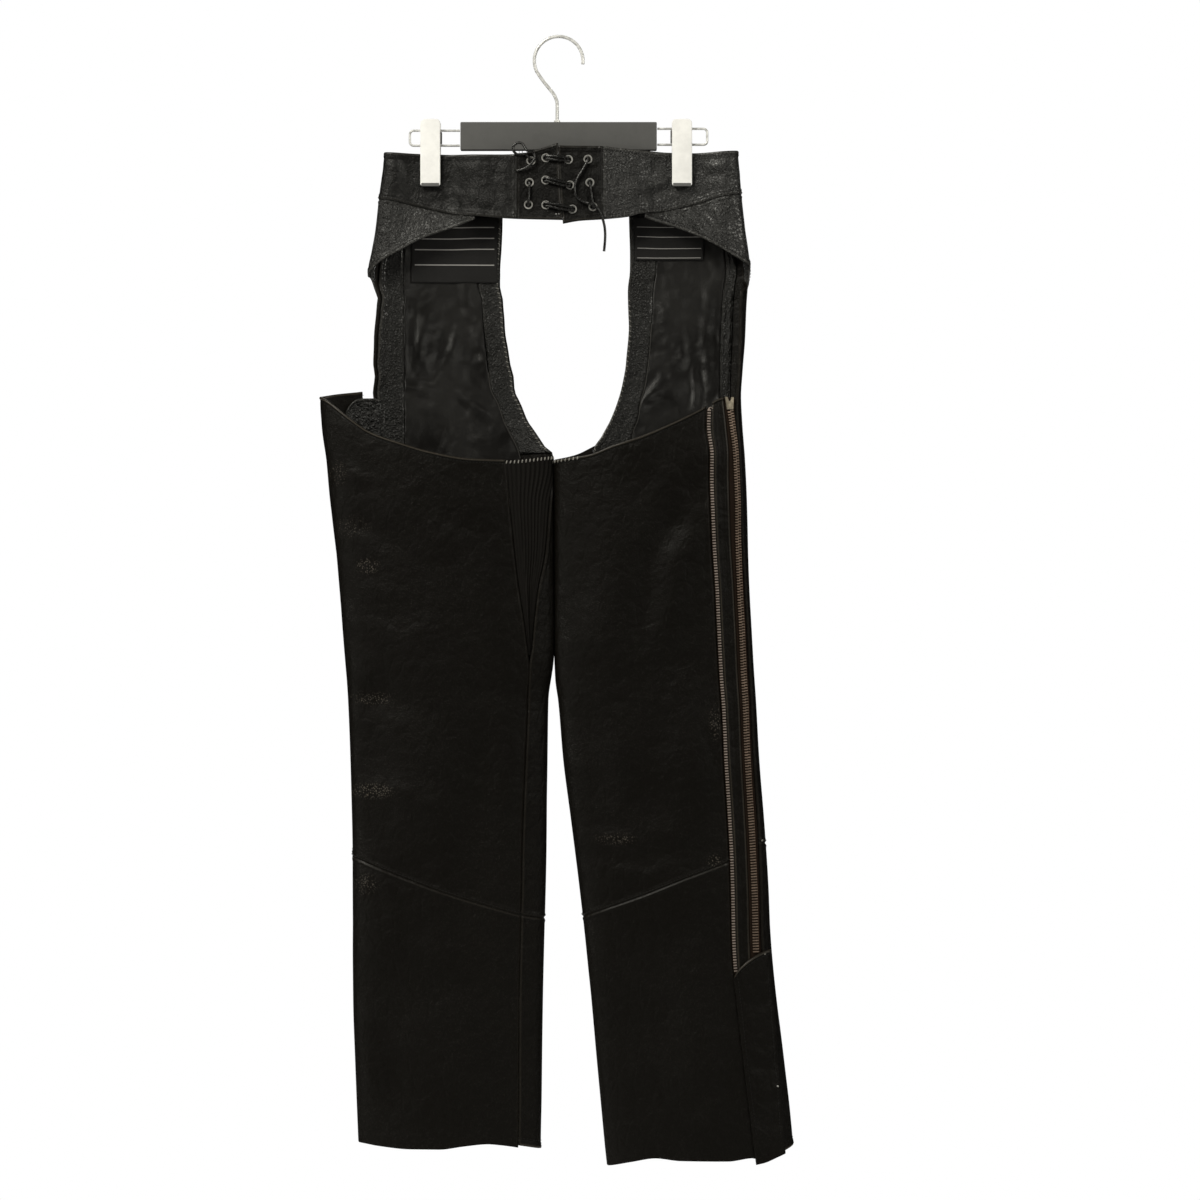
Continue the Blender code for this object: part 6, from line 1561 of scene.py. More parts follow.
BELT_FOLDS = {
    "left": (
        Crease(((388, 158), (396, 172), (394, 188)), 5, 1.3), Crease(((404, 156), (408, 170), (406, 186)), 5, -1.2),
        Crease(((508, 158), (504, 180), (510, 202)), 4, 1.6), Crease(((496, 164), (494, 185), (500, 203)), 5, -1.0),
        Crease(((440, 165), (470, 170), (500, 158)), 7, 0.9), Crease(((430, 190), (465, 196), (500, 202)), 5, 0.8)),
    "right": (
        Crease(((612, 197), (650, 186), (692, 166)), 4, 1.5), Crease(((608, 184), (640, 176), (668, 160)), 4, -1.3),
        Crease(((640, 199), (676, 186), (702, 172)), 4, -1.2), Crease(((616, 168), (640, 160), (664, 150)), 4, 1.1),
        Crease(((700, 160), (716, 168), (734, 158)), 4, 1.3), Crease(((702, 178), (722, 172), (740, 182)), 4, -1.2),
        Crease(((606, 210), (624, 203), (652, 201)), 3.5, 1.1), Crease(((604, 150), (622, 152), (640, 146)), 4, -1.0)),
}
YOKE_FOLDS = {
    "left": (Crease(((386, 220), (400, 226), (410, 240)), 5, -0.9), Crease(((392, 205), (420, 214), (440, 216)), 5, 0.8)),
    "right": (
        Crease(((688, 205), (704, 220), (716, 241)), 3.2, 1.5), Crease(((704, 200), (718, 214), (731, 238)), 3.2, 1.6),
        Crease(((716, 196), (728, 208), (739, 226)), 3.2, -1.4), Crease(((670, 200), (690, 216), (702, 232)), 3.6, -1.2)),
}
LINING_FOLDS = {
    "left": (
        Crease(((466, 276), (468, 300), (472, 320)), 8, 2.6), Crease(((476, 324), (482, 348), (489, 374)), 9, 2.8),
        Crease(((402, 385), (420, 389), (442, 384)), 5, 2.2), Crease(((450, 388), (470, 400), (496, 418)), 9, 2.8),
        Crease(((453, 298), (442, 345), (430, 378)), 5, -2.0), Crease(((458, 394), (460, 425), (462, 456)), 7, -2.6),
        Crease(((410, 300), (412, 340), (408, 372)), 4, -1.2), Crease(((430, 290), (424, 330), (420, 364)), 9, 1.8)),
    "right": (
        Crease(((638, 406), (650, 395), (666, 383)), 5, 2.6), Crease(((672, 276), (670, 320), (675, 352)), 12, 1.8),
        Crease(((690, 260), (690, 320), (692, 374)), 3.5, -1.8), Crease(((694, 364), (697, 386), (695, 410)), 3.5, 2.6),
        Crease(((664, 356), (676, 361), (686, 356)), 5, 1.8), Crease(((710, 280), (706, 340), (712, 400)), 6, 1.6)),
}
FLAP_FOLDS = (
    Crease(((746, 1000), (760, 1004), (774, 998)), 4, -1.2), Crease(((748, 1060), (764, 1068), (778, 1062)), 5, -1.4),
    Crease(((750, 1084), (766, 1090), (782, 1084)), 5, 1.2), Crease(((752, 1115), (768, 1124), (786, 1118)), 5, -1.3),
)
LEFT, RIGHT = Side(LEFT_SIDE, LEFT_CREASES), Side(RIGHT_SIDE, RIGHT_CREASES)
SMOOTH_EDGE, WELT, ROLL, FOLD = Border.ROUND, Border.SEAM, Border.BOUND, Border.TURNED
HALF, GAP = 0.02, 0.05
UNDER, LAYER = 2.05, 0.55
BELT_WALL, FLAP_WALL, FACING_WALL = 2.6, 2.0, 1.2
DEEP = UNDER + FACING_WALL + LAYER
TAB_SEAM = {"left": -43.6, "right": 46.7}
EYELETS = {
    "left": ((-28.9, -131.2), (-13.2, -128.1), (-30.4, -154.1), (-13.4, -151.6), (-31.5, -177.5), (-13.2, -177.8)),
    "right": ((10.5, -129.9), (31.0, -129.5), (12.1, -156.8), (33.0, -154.1), (14.7, -182.2), (36.2, -179.6)),
}


class Needlework:
    """Collects the stitch lines of the whole garment and makes them as a few objects."""

    def __init__(self) -> None:
        """Starts with no lines."""
        self.lines: dict[tuple[str, Stitch], list[Line]] = {}

    def sew(self, group: str, stitch: Stitch, *lines: Line) -> None:
        """Adds lines of one stitch to a group."""
        self.lines.setdefault((group, stitch), []).extend(lines)

    def make(self) -> None:
        """Builds one object for each group and stitch."""
        for (group, stitch), lines in self.lines.items():
            show(RunTree.run(f"{group}_{stitch.name}", stitch, lines), None)


@dataclass
class Half:
    """One half of the garment: its form, its edges and what is cut on the left or the right."""

    label: str
    side: Side
    front_in: Reader
    front_out: Reader
    back_in: Reader
    back_out: Reader
    back_rim: RimReader
    knee_back: RimReader
    knee_front: RimReader
    hem: RimReader
    front_hem: RimReader


def edges() -> tuple[Half, Half]:
    """Returns both halves with their shared edges and rims."""
    out_round = LEFT.edge(LEFT_FRONT_OUTER, past=360.0)
    left = Half("left", LEFT, LEFT.edge(LEFT_FRONT_INNER), LEFT.edge(LEFT_FRONT_OUTER), LEFT.edge(LEFT_BACK_INNER),
                LEFT.shifted(out_round, -11.0), rim(LEFT_RIM_BACK, LEFT_RIM_FRONT),
                rim(LEFT_KNEE_BACK, LEFT_KNEE_FRONT, HALF), rim(LEFT_KNEE_BACK, LEFT_KNEE_FRONT, HALF),
                rim(LEFT_HEM), rim(LEFT_HEM, lift=2.5))
    right = Half("right", RIGHT, RIGHT.edge(RIGHT_FRONT_INNER), RIGHT.edge(RIGHT_FRONT_OUTER),
                 RIGHT.edge(RIGHT_BACK_INNER, past=360.0), RIGHT.edge(RIGHT_BACK_OUTER), rim(RIGHT_RIM_BACK),
                 rim(RIGHT_KNEE_BACK, RIGHT_KNEE_FRONT, HALF), rim(RIGHT_KNEE_WRAP, RIGHT_KNEE_FRONT, HALF),
                 rim(RIGHT_HEM), rim(RIGHT_HEM, lift=2.5))
    return left, right


def lowered(read: RimReader, by: float) -> RimReader:
    """Returns a rim moved down by millimetres."""
    return lambda x, angle: read(x, angle) - by


class Belt:
    """Back belt halves, lacing tabs with eyelets, front belt and its closing tab."""

    RING = ((3.05, -2.4), (3.3, -2.4), (3.3, 0.2), (4.65, 0.2), (4.6, 0.6), (4.35, 0.95), (3.95, 0.95),
            (3.65, 0.6), (3.4, 0.0), (3.1, -0.6))

    def make(self, work: Needlework) -> None:
        """Builds the belt and its stitches."""
        top = {"left": rim(BELT_TOP_LEFT), "right": rim(BELT_TOP_RIGHT)}
        low = {"left": rim(BELT_BOTTOM_LEFT), "right": rim(BELT_BOTTOM_RIGHT)}
        clips = ("clip_left", "clip_right")
        ends = {"left": (LEFT.upright(TAB_SEAM["left"], B), lambda z: 194.0 + 0 * z),
                "right": (lambda z: -14.0 + 0 * z, RIGHT.upright(TAB_SEAM["right"], B))}
        for label, side in (("left", LEFT), ("right", RIGHT)):
            borders = (WELT, SMOOTH_EDGE, FOLD, FOLD) if label == "left" else (SMOOTH_EDGE, WELT, FOLD, FOLD)
            hide = SOFT_GRAIN if label == "left" else GRAINED
            back = Cloth(f"belt_back_{label}", side, *ends[label], lowered(low[label], -HALF), top[label], hide,
                         "leather_grain", wall=BELT_WALL, borders=borders, folds=BELT_FOLDS[label], hangs=clips)
            back.make()
            work.sew("belt", TOPSTITCH, along_rim(back, 4.1), along_rim(back, 4.1, top=False),
                     along_rim(back, 1.6, top=False))
            span = (side.upright(0.0, F), lambda z: -14.0 + 0 * z)
            if label == "left":
                span = (lambda z: -166.0 + 0 * z, side.upright(0.0, F))
            front = Cloth(f"belt_front_{label}", side, *span, rim(FRONT_BELT_BOTTOM, lift=HALF), rim(FRONT_BELT_TOP),
                          GRAINED, "leather_grain", wall=BELT_WALL, borders=(WELT, WELT, WELT, FOLD), hangs=clips)
            front.make()
            work.sew("belt", TOPSTITCH, along_rim(front, 4.1), along_rim(front, 2.6, top=False))
            self._tab(label, side, low[label], top[label], work)
        tab = Cloth("belt_closing_tab", LEFT, LEFT.upright(-40.0, F), LEFT.upright(44.0, F), level(-178.0),
                    level(-130.0), GRAINED, "leather_grain", off=LAYER + FLAP_WALL, wall=FLAP_WALL,
                    borders=(FOLD,) * 4, hangs=("belt_front_left",))
        tab.make()
        work.sew("belt", TOPSTITCH, along_rim(tab, 4.1), along_rim(tab, 4.1, top=False))
        lift = LAYER + FLAP_WALL + GAP
        place = LEFT.frame_at(24.0, -154.0, F)
        cap = turned_ring("cap", place, ((0.01, lift), (6.5, lift), (6.5, lift + 0.9), (5.6, lift + 1.6),
                                         (3.0, lift + 1.3), (0.01, lift + 1.8)), SLIDER_METAL)
        show(joined("belt_snap_pressed", cap), "slider_metal", "belt_snap")

    def _tab(self, label: str, side: Side, low: RimReader, top: RimReader, work: Needlework) -> None:
        """Builds one lacing tab with its eyelets."""
        seam = side.upright(TAB_SEAM[label], B)
        rows = TAB_EDGE_LEFT if label == "left" else TAB_EDGE_RIGHT
        span = (side.edge(rows), seam) if label == "left" else (seam, side.edge(rows))
        borders = (FOLD, WELT, FOLD, FOLD) if label == "left" else (WELT, FOLD, FOLD, FOLD)
        tab = Cloth(f"lacing_tab_{label}", side, *span, low, top, TAB_GRAIN, "leather_grain", wall=BELT_WALL,
                    borders=borders, holes=EYELETS[label], hangs=(f"belt_back_{label}",), cell=3.0)
        tab.make()
        far = label == "left"
        work.sew("belt", TOPSTITCH, down_edge(tab, 2.4, -190, -122, far), down_edge(tab, 5.6, -190, -122, far),
                 along_rim(tab, 4.1), along_rim(tab, 4.1, top=False), down_edge(tab, 4.1, -190, -120, not far))
        rings = [turned_ring("ring", side.frame_at(*spot), self.RING, STEEL) for spot in EYELETS[label]]
        show(joined(f"eyelets_{label}_pressed", *rings), "eyelet_steel",
             *[f"eyelet_{label}_{k + 1}" for k in range(6)])


class Lacing:
    """Three lace cords through the eyelets, with their free ends."""

    WIDTH, THICK, TALL = 2.2, 2.8, 0.9
    TAIL = ((31.0, -129.5, -4.3), (31.0, -129.5, 1.4), (29.4, -133.6, 2.8), (25.7, -140.7, 2.9),
            (20.4, -149.0, 3.1), (17.6, -156.5, 3.2), (17.5, -166.0, 3.1), (21.0, -171.6, 3.3),
            (27.5, -175.4, 4.2), (33.0, -176.8, 5.2), (37.3, -178.8, 5.7), (41.8, -183.4, 4.8),
            (44.9, -189.0, 3.6), (47.4, -196.5, 3.0), (48.8, -204.7, 2.8), (48.9, -214.0, 2.6),
            (47.8, -226.8, 2.4))
    KNOT = ((-28.9, -131.2, -4.3), (-28.9, -131.2, 1.2), (-31.0, -128.2, 2.6), (-34.6, -124.6, 2.6),
            (-38.8, -124.6, 2.4), (-43.6, -124.5, 2.4), (-47.4, -120.6, 2.4), (-47.0, -115.6, 2.5),
            (-43.0, -112.6, 2.8), (-38.2, -113.5, 3.2), (-35.4, -117.2, 4.2), (-33.0, -121.2, 5.4),
            (-29.0, -122.0, 5.4), (-25.9, -124.0, 5.2), (-25.2, -128.5, 5.0), (-26.6, -133.0, 5.0),
            (-31.5, -137.6, 4.0), (-37.6, -140.6, 3.0), (-43.6, -142.0, 2.4))

    def make(self) -> None:
        left, right = EYELETS["left"], EYELETS["right"]
        through = self._standing(right[3], right[5]) + self._crossing(right[4], left[5])
        through += self._standing(left[4], left[2]) + self._crossing(left[3], right[2])
        through += self._crossing(right[0], left[1])
        self._cord("lace_through", through, "object", "taut")
        self._cord("lace_tail", self.TAIL, "bare", "hanging")
        self._cord("lace_knot", self.KNOT, "knot", "loose")

    def _crossing(self, a: tuple[float, float], b: tuple[float, float]) -> list[tuple[float, float, float]]:
        """Returns the track of a strand that wraps twice from one eyelet to the one it faces."""
        up, down, step = self.TALL + self.THICK / 2 + 0.5, -BELT_WALL - self.THICK / 2 - 0.6, self.THICK / 2 + 0.05
        way = math.copysign(1.0, b[0] - a[0])
        mx, mz = (a[0] + b[0]) / 2, (a[1] + b[1]) / 2
        track = []
        for s in (step, -step):
            first = -1.0 if s > 0 else 1.0
            track += [(a[0] + first * way, a[1] + s, down), (a[0], a[1] + s, up * 0.5),
                      (a[0] + 2.0 * way, a[1] + s, up + 0.2), (mx, mz + s + math.copysign(0.5, s), up + 1.4),
                      (b[0] - 2.0 * way, b[1] + s, up + 0.2), (b[0], b[1] + s, up * 0.5),
                      (b[0] + first * way, b[1] + s, down)]
            if s > 0:
                track.append((mx, mz, down - 0.6))
        return track

    def _standing(self, a: tuple[float, float], b: tuple[float, float]) -> list[tuple[float, float, float]]:
        """Returns the track of a strand from one eyelet up or down into the next."""
        up, down = self.TALL + self.THICK / 2 + 0.5, -BELT_WALL - self.THICK / 2 - 0.6
        way = math.copysign(2.0, b[1] - a[1])
        return [(*a, down), (*a, up * 0.5), (a[0], a[1] + way, up + 0.2),
                ((a[0] + b[0]) / 2, (a[1] + b[1]) / 2, up + 0.6), (b[0], b[1] - way, up + 0.2), (*b, up * 0.5),
                (*b, down)]

    def _cord(self, node: str, track: Sequence[tuple[float, float, float]], end: str, lay: str) -> None:
        """Builds one cord along a track of x, z and lift off the tabs."""
        points = []
        for x, z, lift in eased(track, 5):
            side = LEFT if x < 0 else RIGHT
            angle = side.angle_at(x, z, B)
            points.append(side.skin(np.float64(angle), np.float64(z), lift) * MM)
        line = bpy.data.curves.new(node + "_cord", "CURVE")
        line.dimensions, line.bevel_depth, line.bevel_resolution = "3D", self.THICK / 2 * MM, 3
        line.use_fill_caps = True
        strand = line.splines.new("POLY")
        strand.points.add(len(points) - 1)
        strand.points.foreach_set("co", np.c_[points, np.ones(len(points))].reshape(-1))
        strand.use_smooth = True
        line.materials.append(Stock.of(LACING))
        made = bpy.data.objects.new(node + "_cord", line)
        bpy.context.scene.collection.objects.link(made)
        show(made, "lace_black", node)


class Legs:
    """Yokes, thigh and calf panels, and gussets of both legs."""

    def make(self, left: Half, right: Half, work: Needlework) -> None:
        """Builds both legs and their seams."""
        self._yokes(work)
        for half in (left, right):
            self._fronts(half, work)
            self._backs(half, work)
        gussets = (("left", left.front_in, left.back_in, rim(LEFT_GUSSET_TOP), (0.3, 0.3)),
                   ("right", RIGHT.edge(RIGHT_BACK_INNER), right.front_in, rim(RIGHT_GUSSET_TOP), (0.3, 0.05)))
        for label, start, end, top, trims in gussets:
            side = LEFT if label == "left" else RIGHT
            rib = Cloth(f"gusset_{label}", side, start, end, level(-650.0), top, RIBBED, "stretch_rib", off=-0.5,
                        wall=1.5, trims=trims, ribs=11, hangs=(f"back_thigh_{label}",),
                        borders=(SMOOTH_EDGE,) * 4)
            rib.make()
            if label == "left":
                work.sew("gusset", LADDER, along_rim(rib, 1.4, lift=0.5))

    def _yokes(self, work: Needlework) -> None:
        """Builds the hip yokes under the belt."""
        left = Cloth("yoke_left", LEFT, LEFT.upright(-87.7, B), lambda z: 194.0 + 0 * z,
                     rim(LEFT_YOKE_EDGE, LEFT_YOKE_TURN), rim(BELT_BOTTOM_LEFT, lift=-HALF), GRAINED, "leather_grain",
                     trims=(0.02, 0.1), folds=YOKE_FOLDS["left"],
                     borders=(SMOOTH_EDGE, SMOOTH_EDGE, FOLD, WELT), hangs=("belt_back_left",))
        right = Cloth("yoke_right", RIGHT, lambda z: -14.0 + 0 * z, RIGHT.upright(90.8, B),
                      rim(RIGHT_YOKE_EDGE, RIGHT_YOKE_TURN), rim(BELT_BOTTOM_RIGHT, lift=-HALF), GRAINED,
                      "leather_grain", trims=(0.1, 0.02), folds=YOKE_FOLDS["right"],
                      borders=(SMOOTH_EDGE, SMOOTH_EDGE, FOLD, WELT),
                      hangs=("belt_back_right",))
        for yoke in (left, right):
            yoke.make()
            work.sew("yokes", TOPSTITCH, along_rim(yoke, 4.1, top=False))

    def _fronts(self, half: Half, work: Needlework) -> None:
        """Builds the front thigh and calf of one leg."""
        left = half.label == "left"
        span = (half.front_out, half.front_in) if left else (half.front_in, half.front_out)
        trims = (0.1, 0.05) if left else (0.05, 0.1)
        thigh = Cloth(f"front_thigh_{half.label}", half.side, *span, half.knee_front,
                      rim(FRONT_BELT_BOTTOM, lift=-HALF), SMOOTH, "leather_smooth", trims=trims, cell=5.5,
                      hangs=(f"belt_front_{half.label}",))
        calf = Cloth(f"front_calf_{half.label}", half.side, *span, half.front_hem, lowered(half.knee_front, GAP),
                     SMOOTH, "leather_smooth", cell=5.5, borders=(WELT, WELT, FOLD, WELT),
                     hangs=(f"front_thigh_{half.label}",))
        thigh.make()
        calf.make()
        work.sew("legs", TOPSTITCH, along_rim(thigh, 2.4, top=False), along_rim(calf, 8.0, top=False))

    def _backs(self, half: Half, work: Needlework) -> None:
        """Builds the back thigh and calf of one leg."""
        left = half.label == "left"
        span = (half.back_in, half.back_out) if left else (half.back_out, half.back_in)
        thigh = Cloth(f"back_thigh_{half.label}", half.side, *span, half.knee_back, half.back_rim, SMOOTH,
                      "leather_smooth", trims=(0.3, 0.3), borders=(WELT, WELT, WELT, ROLL),
                      hangs=(f"front_thigh_{half.label}",))
        calf = Cloth(f"back_calf_{half.label}", half.side, *span, half.hem, lowered(half.knee_back, GAP), SMOOTH,
                     "leather_smooth", borders=(WELT, WELT, SMOOTH_EDGE, WELT),
                     hangs=(f"back_thigh_{half.label}",))
        thigh.make()
        calf.make()
        work.sew("legs", TOPSTITCH, along_rim(thigh, 2.4, top=False, lift=0.4), along_rim(thigh, 3.9, lift=0.2))
        if not left:
            work.sew("rims", LADDER, along_rim(thigh, 1.6, 0.80, 0.975, lift=0.3))


class Insides:
    """Linings, facings, labels and the zip guard, which show through the open seat."""

    def make(self, left: Half, right: Half, work: Needlework) -> None:
        """Builds the pieces inside both front panels."""
        under = rim(FRONT_BELT_BOTTOM, lift=-1.0)
        face_left, pipe_left = LEFT.edge(LEFT_FACING_OUT), LEFT.edge(LEFT_PIPING)
        pipe_right, face_right = RIGHT.edge(RIGHT_PIPING), RIGHT.edge(RIGHT_FACING_IN)
        even = (SMOOTH_EDGE,) * 4
        rows = (
            ("lining_left", LEFT, face_left, pipe_left, -802.0, SATIN, -UNDER - 0.35, 1.0, (0.35, 0.35), even),
            ("lining_right", RIGHT, pipe_right, face_right, -802.0, SATIN, -UNDER - 0.35, 1.0, (0.35, 0.35), even),
            ("facing_left_outer", LEFT, LEFT.shifted(left.front_out, 4.0), face_left, -466.0, INNER_GRAIN, -UNDER,
             FACING_WALL, (0.3, 0.3), (FOLD, WELT, SMOOTH_EDGE, WELT)),
            ("facing_left_inner", LEFT, pipe_left, left.front_in, -438.0, INNER_GRAIN, -UNDER, FACING_WALL,
             (0.3, 1.8), (WELT, FOLD, SMOOTH_EDGE, WELT)),
            ("facing_right_inner", RIGHT, right.front_in, pipe_right, -455.0, INNER_GRAIN, -UNDER - 0.3, FACING_WALL,
             (0.05, 0.3), (FOLD, WELT, SMOOTH_EDGE, WELT)),
            ("facing_right_outer", RIGHT, face_right, RIGHT.edge(RIGHT_FACING_OUT), -466.0, INNER_GRAIN,
             -UNDER - 0.6, FACING_WALL, (0.3, 0.3), (WELT, WELT, SMOOTH_EDGE, WELT)),
        )
        made = {}
        for node, side, start, end, foot, finish, off, wall, trims, borders in rows:
            slot = "lining_satin" if finish is SATIN else "leather_grain"
            folds = LINING_FOLDS[node.split("_")[1]] if finish is SATIN else ()
            piece = Cloth(node, side, start, end, level(foot), under, finish, slot, off=off, wall=wall,
                          trims=trims, borders=borders, inside=True, folds=folds,
                          hangs=(f"belt_front_{'left' if side is LEFT else 'right'}",))
            piece.make()
            made[node] = piece
        work.sew("facings", WHIPSTITCH, down_edge(made["facing_left_inner"], 1.4, -434, -200, True),
                 down_edge(made["facing_right_inner"], 1.4, -434, -276))
        depth = -UNDER - FACING_WALL - 0.35
        for label, line in (("left", on_form(LEFT, pipe_left, -443.0, -352.0, depth)),
                            ("right", on_form(RIGHT, pipe_right, -430.0, -300.0, depth - 0.3))):
            show(rod(f"piping_{label}", line[0], 0.9, PIPING, 8), None)
        for label, side, x0, x1, foot, finish in (("left", LEFT, -155.9, -64.6, -257.3, LABEL_LEFT),
                                                  ("right", RIGHT, 80.3, 153.3, -233.5, LABEL_RIGHT)):
            Cloth(f"label_{label}", side, side.upright(x0, F), side.upright(x1, F), level(foot), level(-187.5),
                  finish, "label_woven", off=-DEEP - 0.35, wall=1.0, borders=(SMOOTH_EDGE,) * 4, inside=True,
                  hangs=(f"belt_front_{label}",)).make()
        Cloth("zip_guard_left", LEFT, LEFT.upright(-225.2, F), LEFT.upright(-188.5, F), level(-955.0),
              rim(GUARD_TOP), HEAVY_GRAIN, "leather_grain", off=-DEEP, wall=FACING_WALL, inside=True,
              borders=(FOLD, SMOOTH_EDGE, SMOOTH_EDGE, ROLL), hangs=("front_thigh_left",)).make()


class Zips:
    """Closed zips of both legs, the spare half zip, the strip between them and the hem flaps."""

    TOP, END, CHAIN_TOP, CHAIN_END = -380.1, -972.0, -394.2, -960.2

    def make(self, left: Half, right: Half, work: Needlework) -> None:
        """Builds the zips and flaps."""
        strip_out, strip_in = RIGHT.edge(RIGHT_STRIP_OUTER), RIGHT.edge(RIGHT_STRIP_INNER)
        even = (SMOOTH_EDGE,) * 4
        common = dict(wall=1.0, borders=even, hangs=("back_thigh_right",), cell=3.0)
        Cloth("zip_tape_right", RIGHT, right.front_out, strip_out, level(self.END), level(self.TOP), TAPE,
              "zip_tape", off=-0.4, trims=(0.6, 0.3), **common).make()
        strip = Cloth("zip_strip_right", RIGHT, strip_out, strip_in, right.hem, right.back_rim, SMOOTH,
                      "leather_smooth", borders=(FOLD, FOLD, SMOOTH_EDGE, ROLL), cell=3.0,
                      hangs=("spare_zip_right",))
        strip.make()
        Cloth("spare_zip_right", RIGHT, strip_in, right.back_out, level(-984.0), level(-391.7), TAPE, "zip_tape",
              off=-0.4, trims=(0.5, 0.45), **common).make()
        chain = RIGHT.edge(RIGHT_CHAIN)
        self._chain("right", RIGHT, chain, work)
        middle = self._between(strip_in, right.back_out)
        work.sew("zips", SPARE_TEETH, on_form(RIGHT, middle, -980.0, -394.0, 0.9))
        work.sew("zips", TOPSTITCH, down_edge(strip, 2.2, -950, -392), down_edge(strip, 2.2, -950, -392, True))
        show(rod("zip_rust_cord", on_form(RIGHT, chain, -958.0, -398.0, 0.25, -3.6)[0], 0.8, RUST, 8), None)
        spot, out, across, up = RIGHT.frame_at(159.0, -393.0)
        stop = [spot + across * a + up * b + out * 1.3 for a, b in ((-2.0, -1.2), (-1.6, 1.0), (0.2, 2.0), (2.0, 0.8))]
        show(rod("spare_top_stop", eased(stop, 4), 1.2, SILVERED, 10, True), None)
        for name, x, z, lift, finish in (("flap_rivet", 228.4, -1101.5, LAYER + FLAP_WALL, STEEL),
                                         ("knee_tack", 213.4, -844.0, 0.0, PALE_THREAD),
                                         ("flap_tack", 214.7, -962.5, LAYER + FLAP_WALL, PALE_THREAD)):
            show(turned_ring(name, RIGHT.frame_at(x, z), ((0.01, lift - 0.4), (1.2, lift - 0.4), (1.2, lift + 0.5),
                                                          (0.7, lift + 0.9), (0.01, lift + 1.0)), finish, 14), None)
        tape = Cloth("zip_tape_left", LEFT, LEFT.shifted(left.front_out, -11.0), left.front_out, level(self.END),
                     level(self.TOP), TAPE, "zip_tape", off=-0.4, trims=(0.7, 0.35), wall=1.0, borders=even,
                     cell=3.0, hangs=("front_thigh_left",))
        tape.make()
        self._chain("left", LEFT, LEFT.shifted(left.front_out, -5.5), work)
        flap = Cloth("hem_flap_right", RIGHT, RIGHT.edge(FLAP_OUTER), RIGHT.edge(FLAP_INNER), rim(FLAP_BOTTOM),
                     rim(FLAP_TOP), SMOOTH, "leather_smooth", off=LAYER + FLAP_WALL, wall=FLAP_WALL, folds=FLAP_FOLDS,
                     borders=(SMOOTH_EDGE, SMOOTH_EDGE, SMOOTH_EDGE, ROLL), hangs=("front_calf_right",))
        flap.make()
        other = Cloth("hem_flap_left", LEFT, LEFT.shifted(left.front_out, -30.0), LEFT.shifted(left.front_out, 8.0),
                      level(-1158.0), level(-961.0), SMOOTH, "leather_smooth", off=LAYER + FLAP_WALL,
                      wall=FLAP_WALL, borders=(SMOOTH_EDGE, SMOOTH_EDGE, SMOOTH_EDGE, ROLL),
                      hangs=("front_calf_left",))
        other.make()
        for piece in (flap, other):
            work.sew("flaps", TOPSTITCH, down_edge(piece, 4.1, -1150, -985), down_edge(piece, 4.1, -1150, -985, True),
                     along_rim(piece, 4.6))

    @staticmethod
    def _between(a: Reader, b: Reader) -> Reader:
        """Returns the edge midway between two edges."""
        return lambda z: (a(z) + b(z)) / 2

    def _chain(self, label: str, side: Side, middle: Reader, work: Needlework) -> None:
        """Builds a closed chain with two rows of teeth, and its slider."""
        core = Cloth(f"zip_chain_{label}", side, side.shifted(middle, -2.4), side.shifted(middle, 2.4),
                     level(self.CHAIN_END), level(self.CHAIN_TOP), TAPE, "zip_bronze", off=0.9, wall=0.8,
                     borders=(SMOOTH_EDGE,) * 4, cell=3.0, hangs=(f"zip_tape_{label}",))
        core.make()
        work.sew("zips", TEETH, on_form(side, middle, self.CHAIN_END, self.CHAIN_TOP, 1.0, -1.45),
                 on_form(side, middle, self.CHAIN_END, self.CHAIN_TOP - 1.45, 1.0, 1.45))
        z = -386.5
        angle = float(middle(z))
        x = float(side.place(np.float64(angle), np.float64(z))[0])
        place = side.frame_at(x, z, B if math.sin(math.radians(angle)) > 0 else F)
        shape = ((-5.0, 6.8), (-2.4, 6.8), (-0.9, 2.4), (0.9, 2.4), (2.4, 6.8), (5.0, 6.8), (4.2, -1.0),
                 (3.4, -6.8), (-3.4, -6.8), (-4.2, -1.0))
        body = slab("body", shape, 0.3, 2.6, SLIDER_METAL, 0.5, place)
        show(joined(f"slider_{label}_cast", body), "slider_metal", f"slider_{label}")


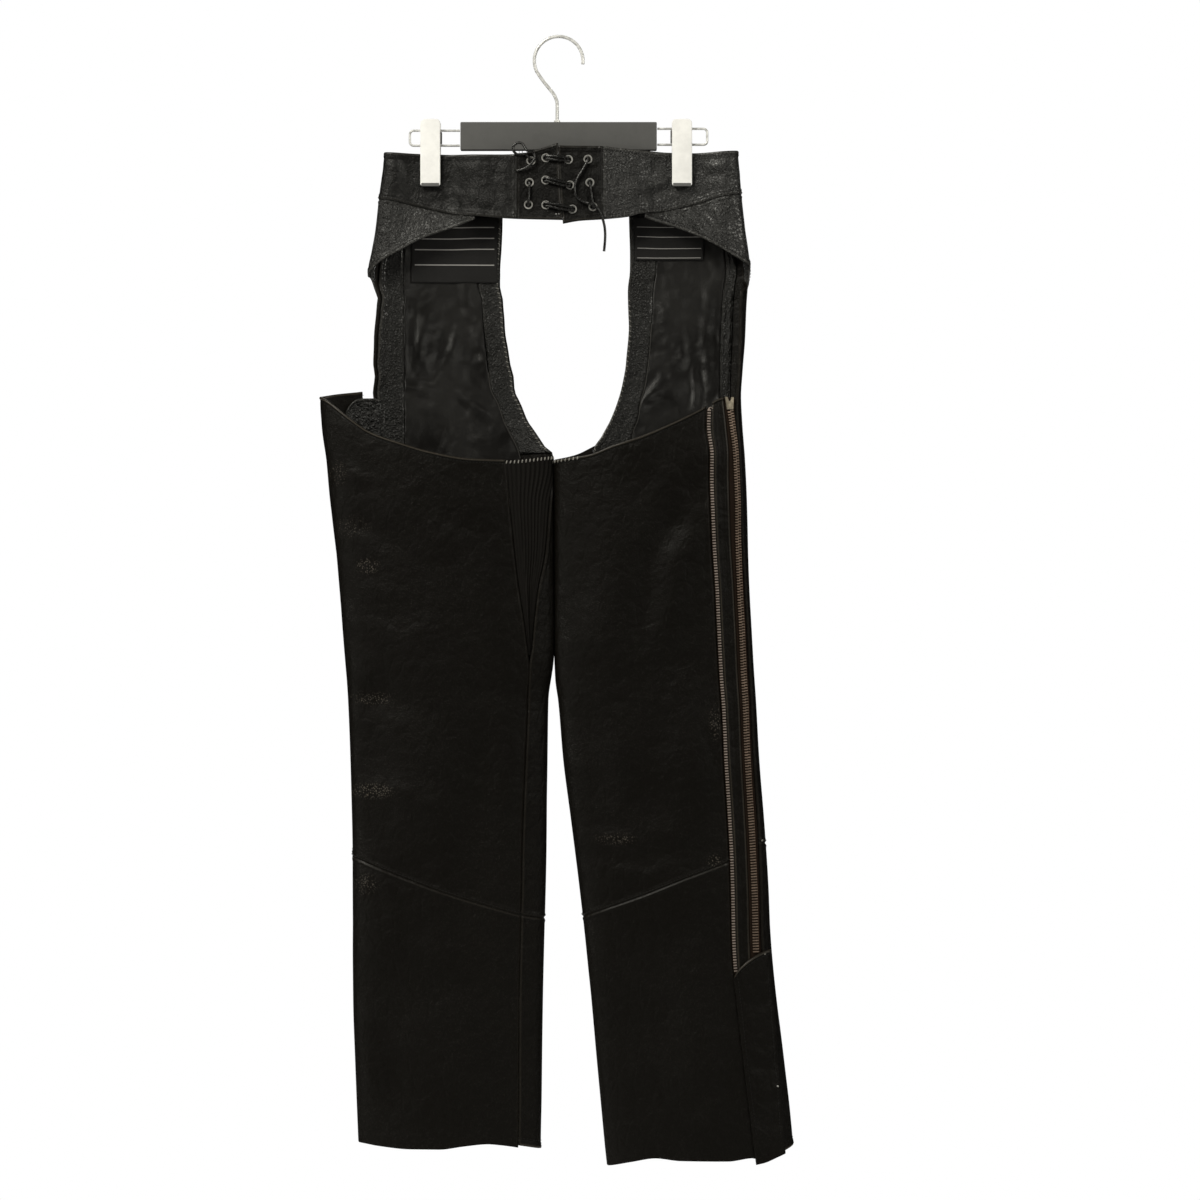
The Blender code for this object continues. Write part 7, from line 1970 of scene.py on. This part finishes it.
class Studio:
    """Camera, lights, pale floor and white surroundings."""

    def make(self) -> None:
        """Sets the whole studio."""
        scene = bpy.context.scene
        scene.view_settings.view_transform = "Standard"
        camera = bpy.data.objects.new("camera", bpy.data.cameras.new("camera"))
        scene.collection.objects.link(camera)
        camera.location, camera.rotation_euler = (0.0436, -4.0, -0.5922), (math.pi / 2, 0, 0)
        camera.data.sensor_width, camera.data.lens = 36.0, 113.86
        scene.camera = camera
        self._light("key", (-1.7, -2.3, 2.2), 140.0, 1.6)
        self._light("fill", (2.7, -2.2, 0.6), 44.0, 1.8)
        self._light("low", (-2.8, -1.6, -0.9), 16.0, 1.4)
        self._light("behind", (0.6, 3.0, 0.8), 22.0, 2.2)
        self._world()
        self._floor()

    @staticmethod
    def _light(name: str, at: tuple[float, float, float], power: float, size: float) -> None:
        """Adds one soft light that faces the garment."""
        lamp = bpy.data.lights.new(name, "AREA")
        lamp.energy, lamp.size, lamp.shape = power, size, "SQUARE"
        lamp.color = (1.0, 0.975, 0.88)
        made = bpy.data.objects.new(name, lamp)
        made.location = at
        made.rotation_euler = (Vector((0, 0, -0.6)) - Vector(at)).to_track_quat("-Z", "Y").to_euler()
        bpy.context.scene.collection.objects.link(made)

    @staticmethod
    def _world() -> None:
        """Makes the surroundings white for the camera and dim for the light they give."""
        world = bpy.data.worlds.new("studio")
        bpy.context.scene.world = world
        world.use_nodes = True
        tree = world.node_tree
        tree.nodes.clear()
        path = tree.nodes.new("ShaderNodeLightPath")
        dim, bright = tree.nodes.new("ShaderNodeBackground"), tree.nodes.new("ShaderNodeBackground")
        dim.inputs["Strength"].default_value, bright.inputs["Strength"].default_value = 0.06, 1.0
        for node in (dim, bright):
            node.inputs["Color"].default_value = (1.0, 1.0, 1.0, 1.0)
        mix, end = tree.nodes.new("ShaderNodeMixShader"), tree.nodes.new("ShaderNodeOutputWorld")
        tree.links.new(path.outputs["Is Camera Ray"], mix.inputs[0])
        tree.links.new(dim.outputs[0], mix.inputs[1])
        tree.links.new(bright.outputs[0], mix.inputs[2])
        tree.links.new(mix.outputs[0], end.inputs["Surface"])

    @staticmethod
    def _floor() -> None:
        """Lays a plain pale floor below the hems."""
        turns = np.arange(64) * math.tau / 64
        points = [(1500 * math.cos(a), 1500 * math.sin(a), z) for z in (-1520, -1500) for a in turns]
        faces = [range(63, -1, -1), range(64, 128)]
        faces += [(k, (k + 1) % 64, (k + 1) % 64 + 64, k + 64) for k in range(64)]
        solid("floor", points, faces, Moulded("floor_paint", (0.9, 0.9, 0.89), 0.8))


def main() -> None:
    """Builds the studio, the cords and every piece."""
    logging.basicConfig(level=logging.INFO, format="%(name)s %(message)s")
    Studio().make()
    Lacing().make()
    Hanger().make()
    work = Needlework()
    left, right = edges()
    Belt().make(work)
    Legs().make(left, right, work)
    Insides().make(left, right, work)
    Zips().make(left, right, work)
    work.make()


if __name__ == "__main__":
    main()
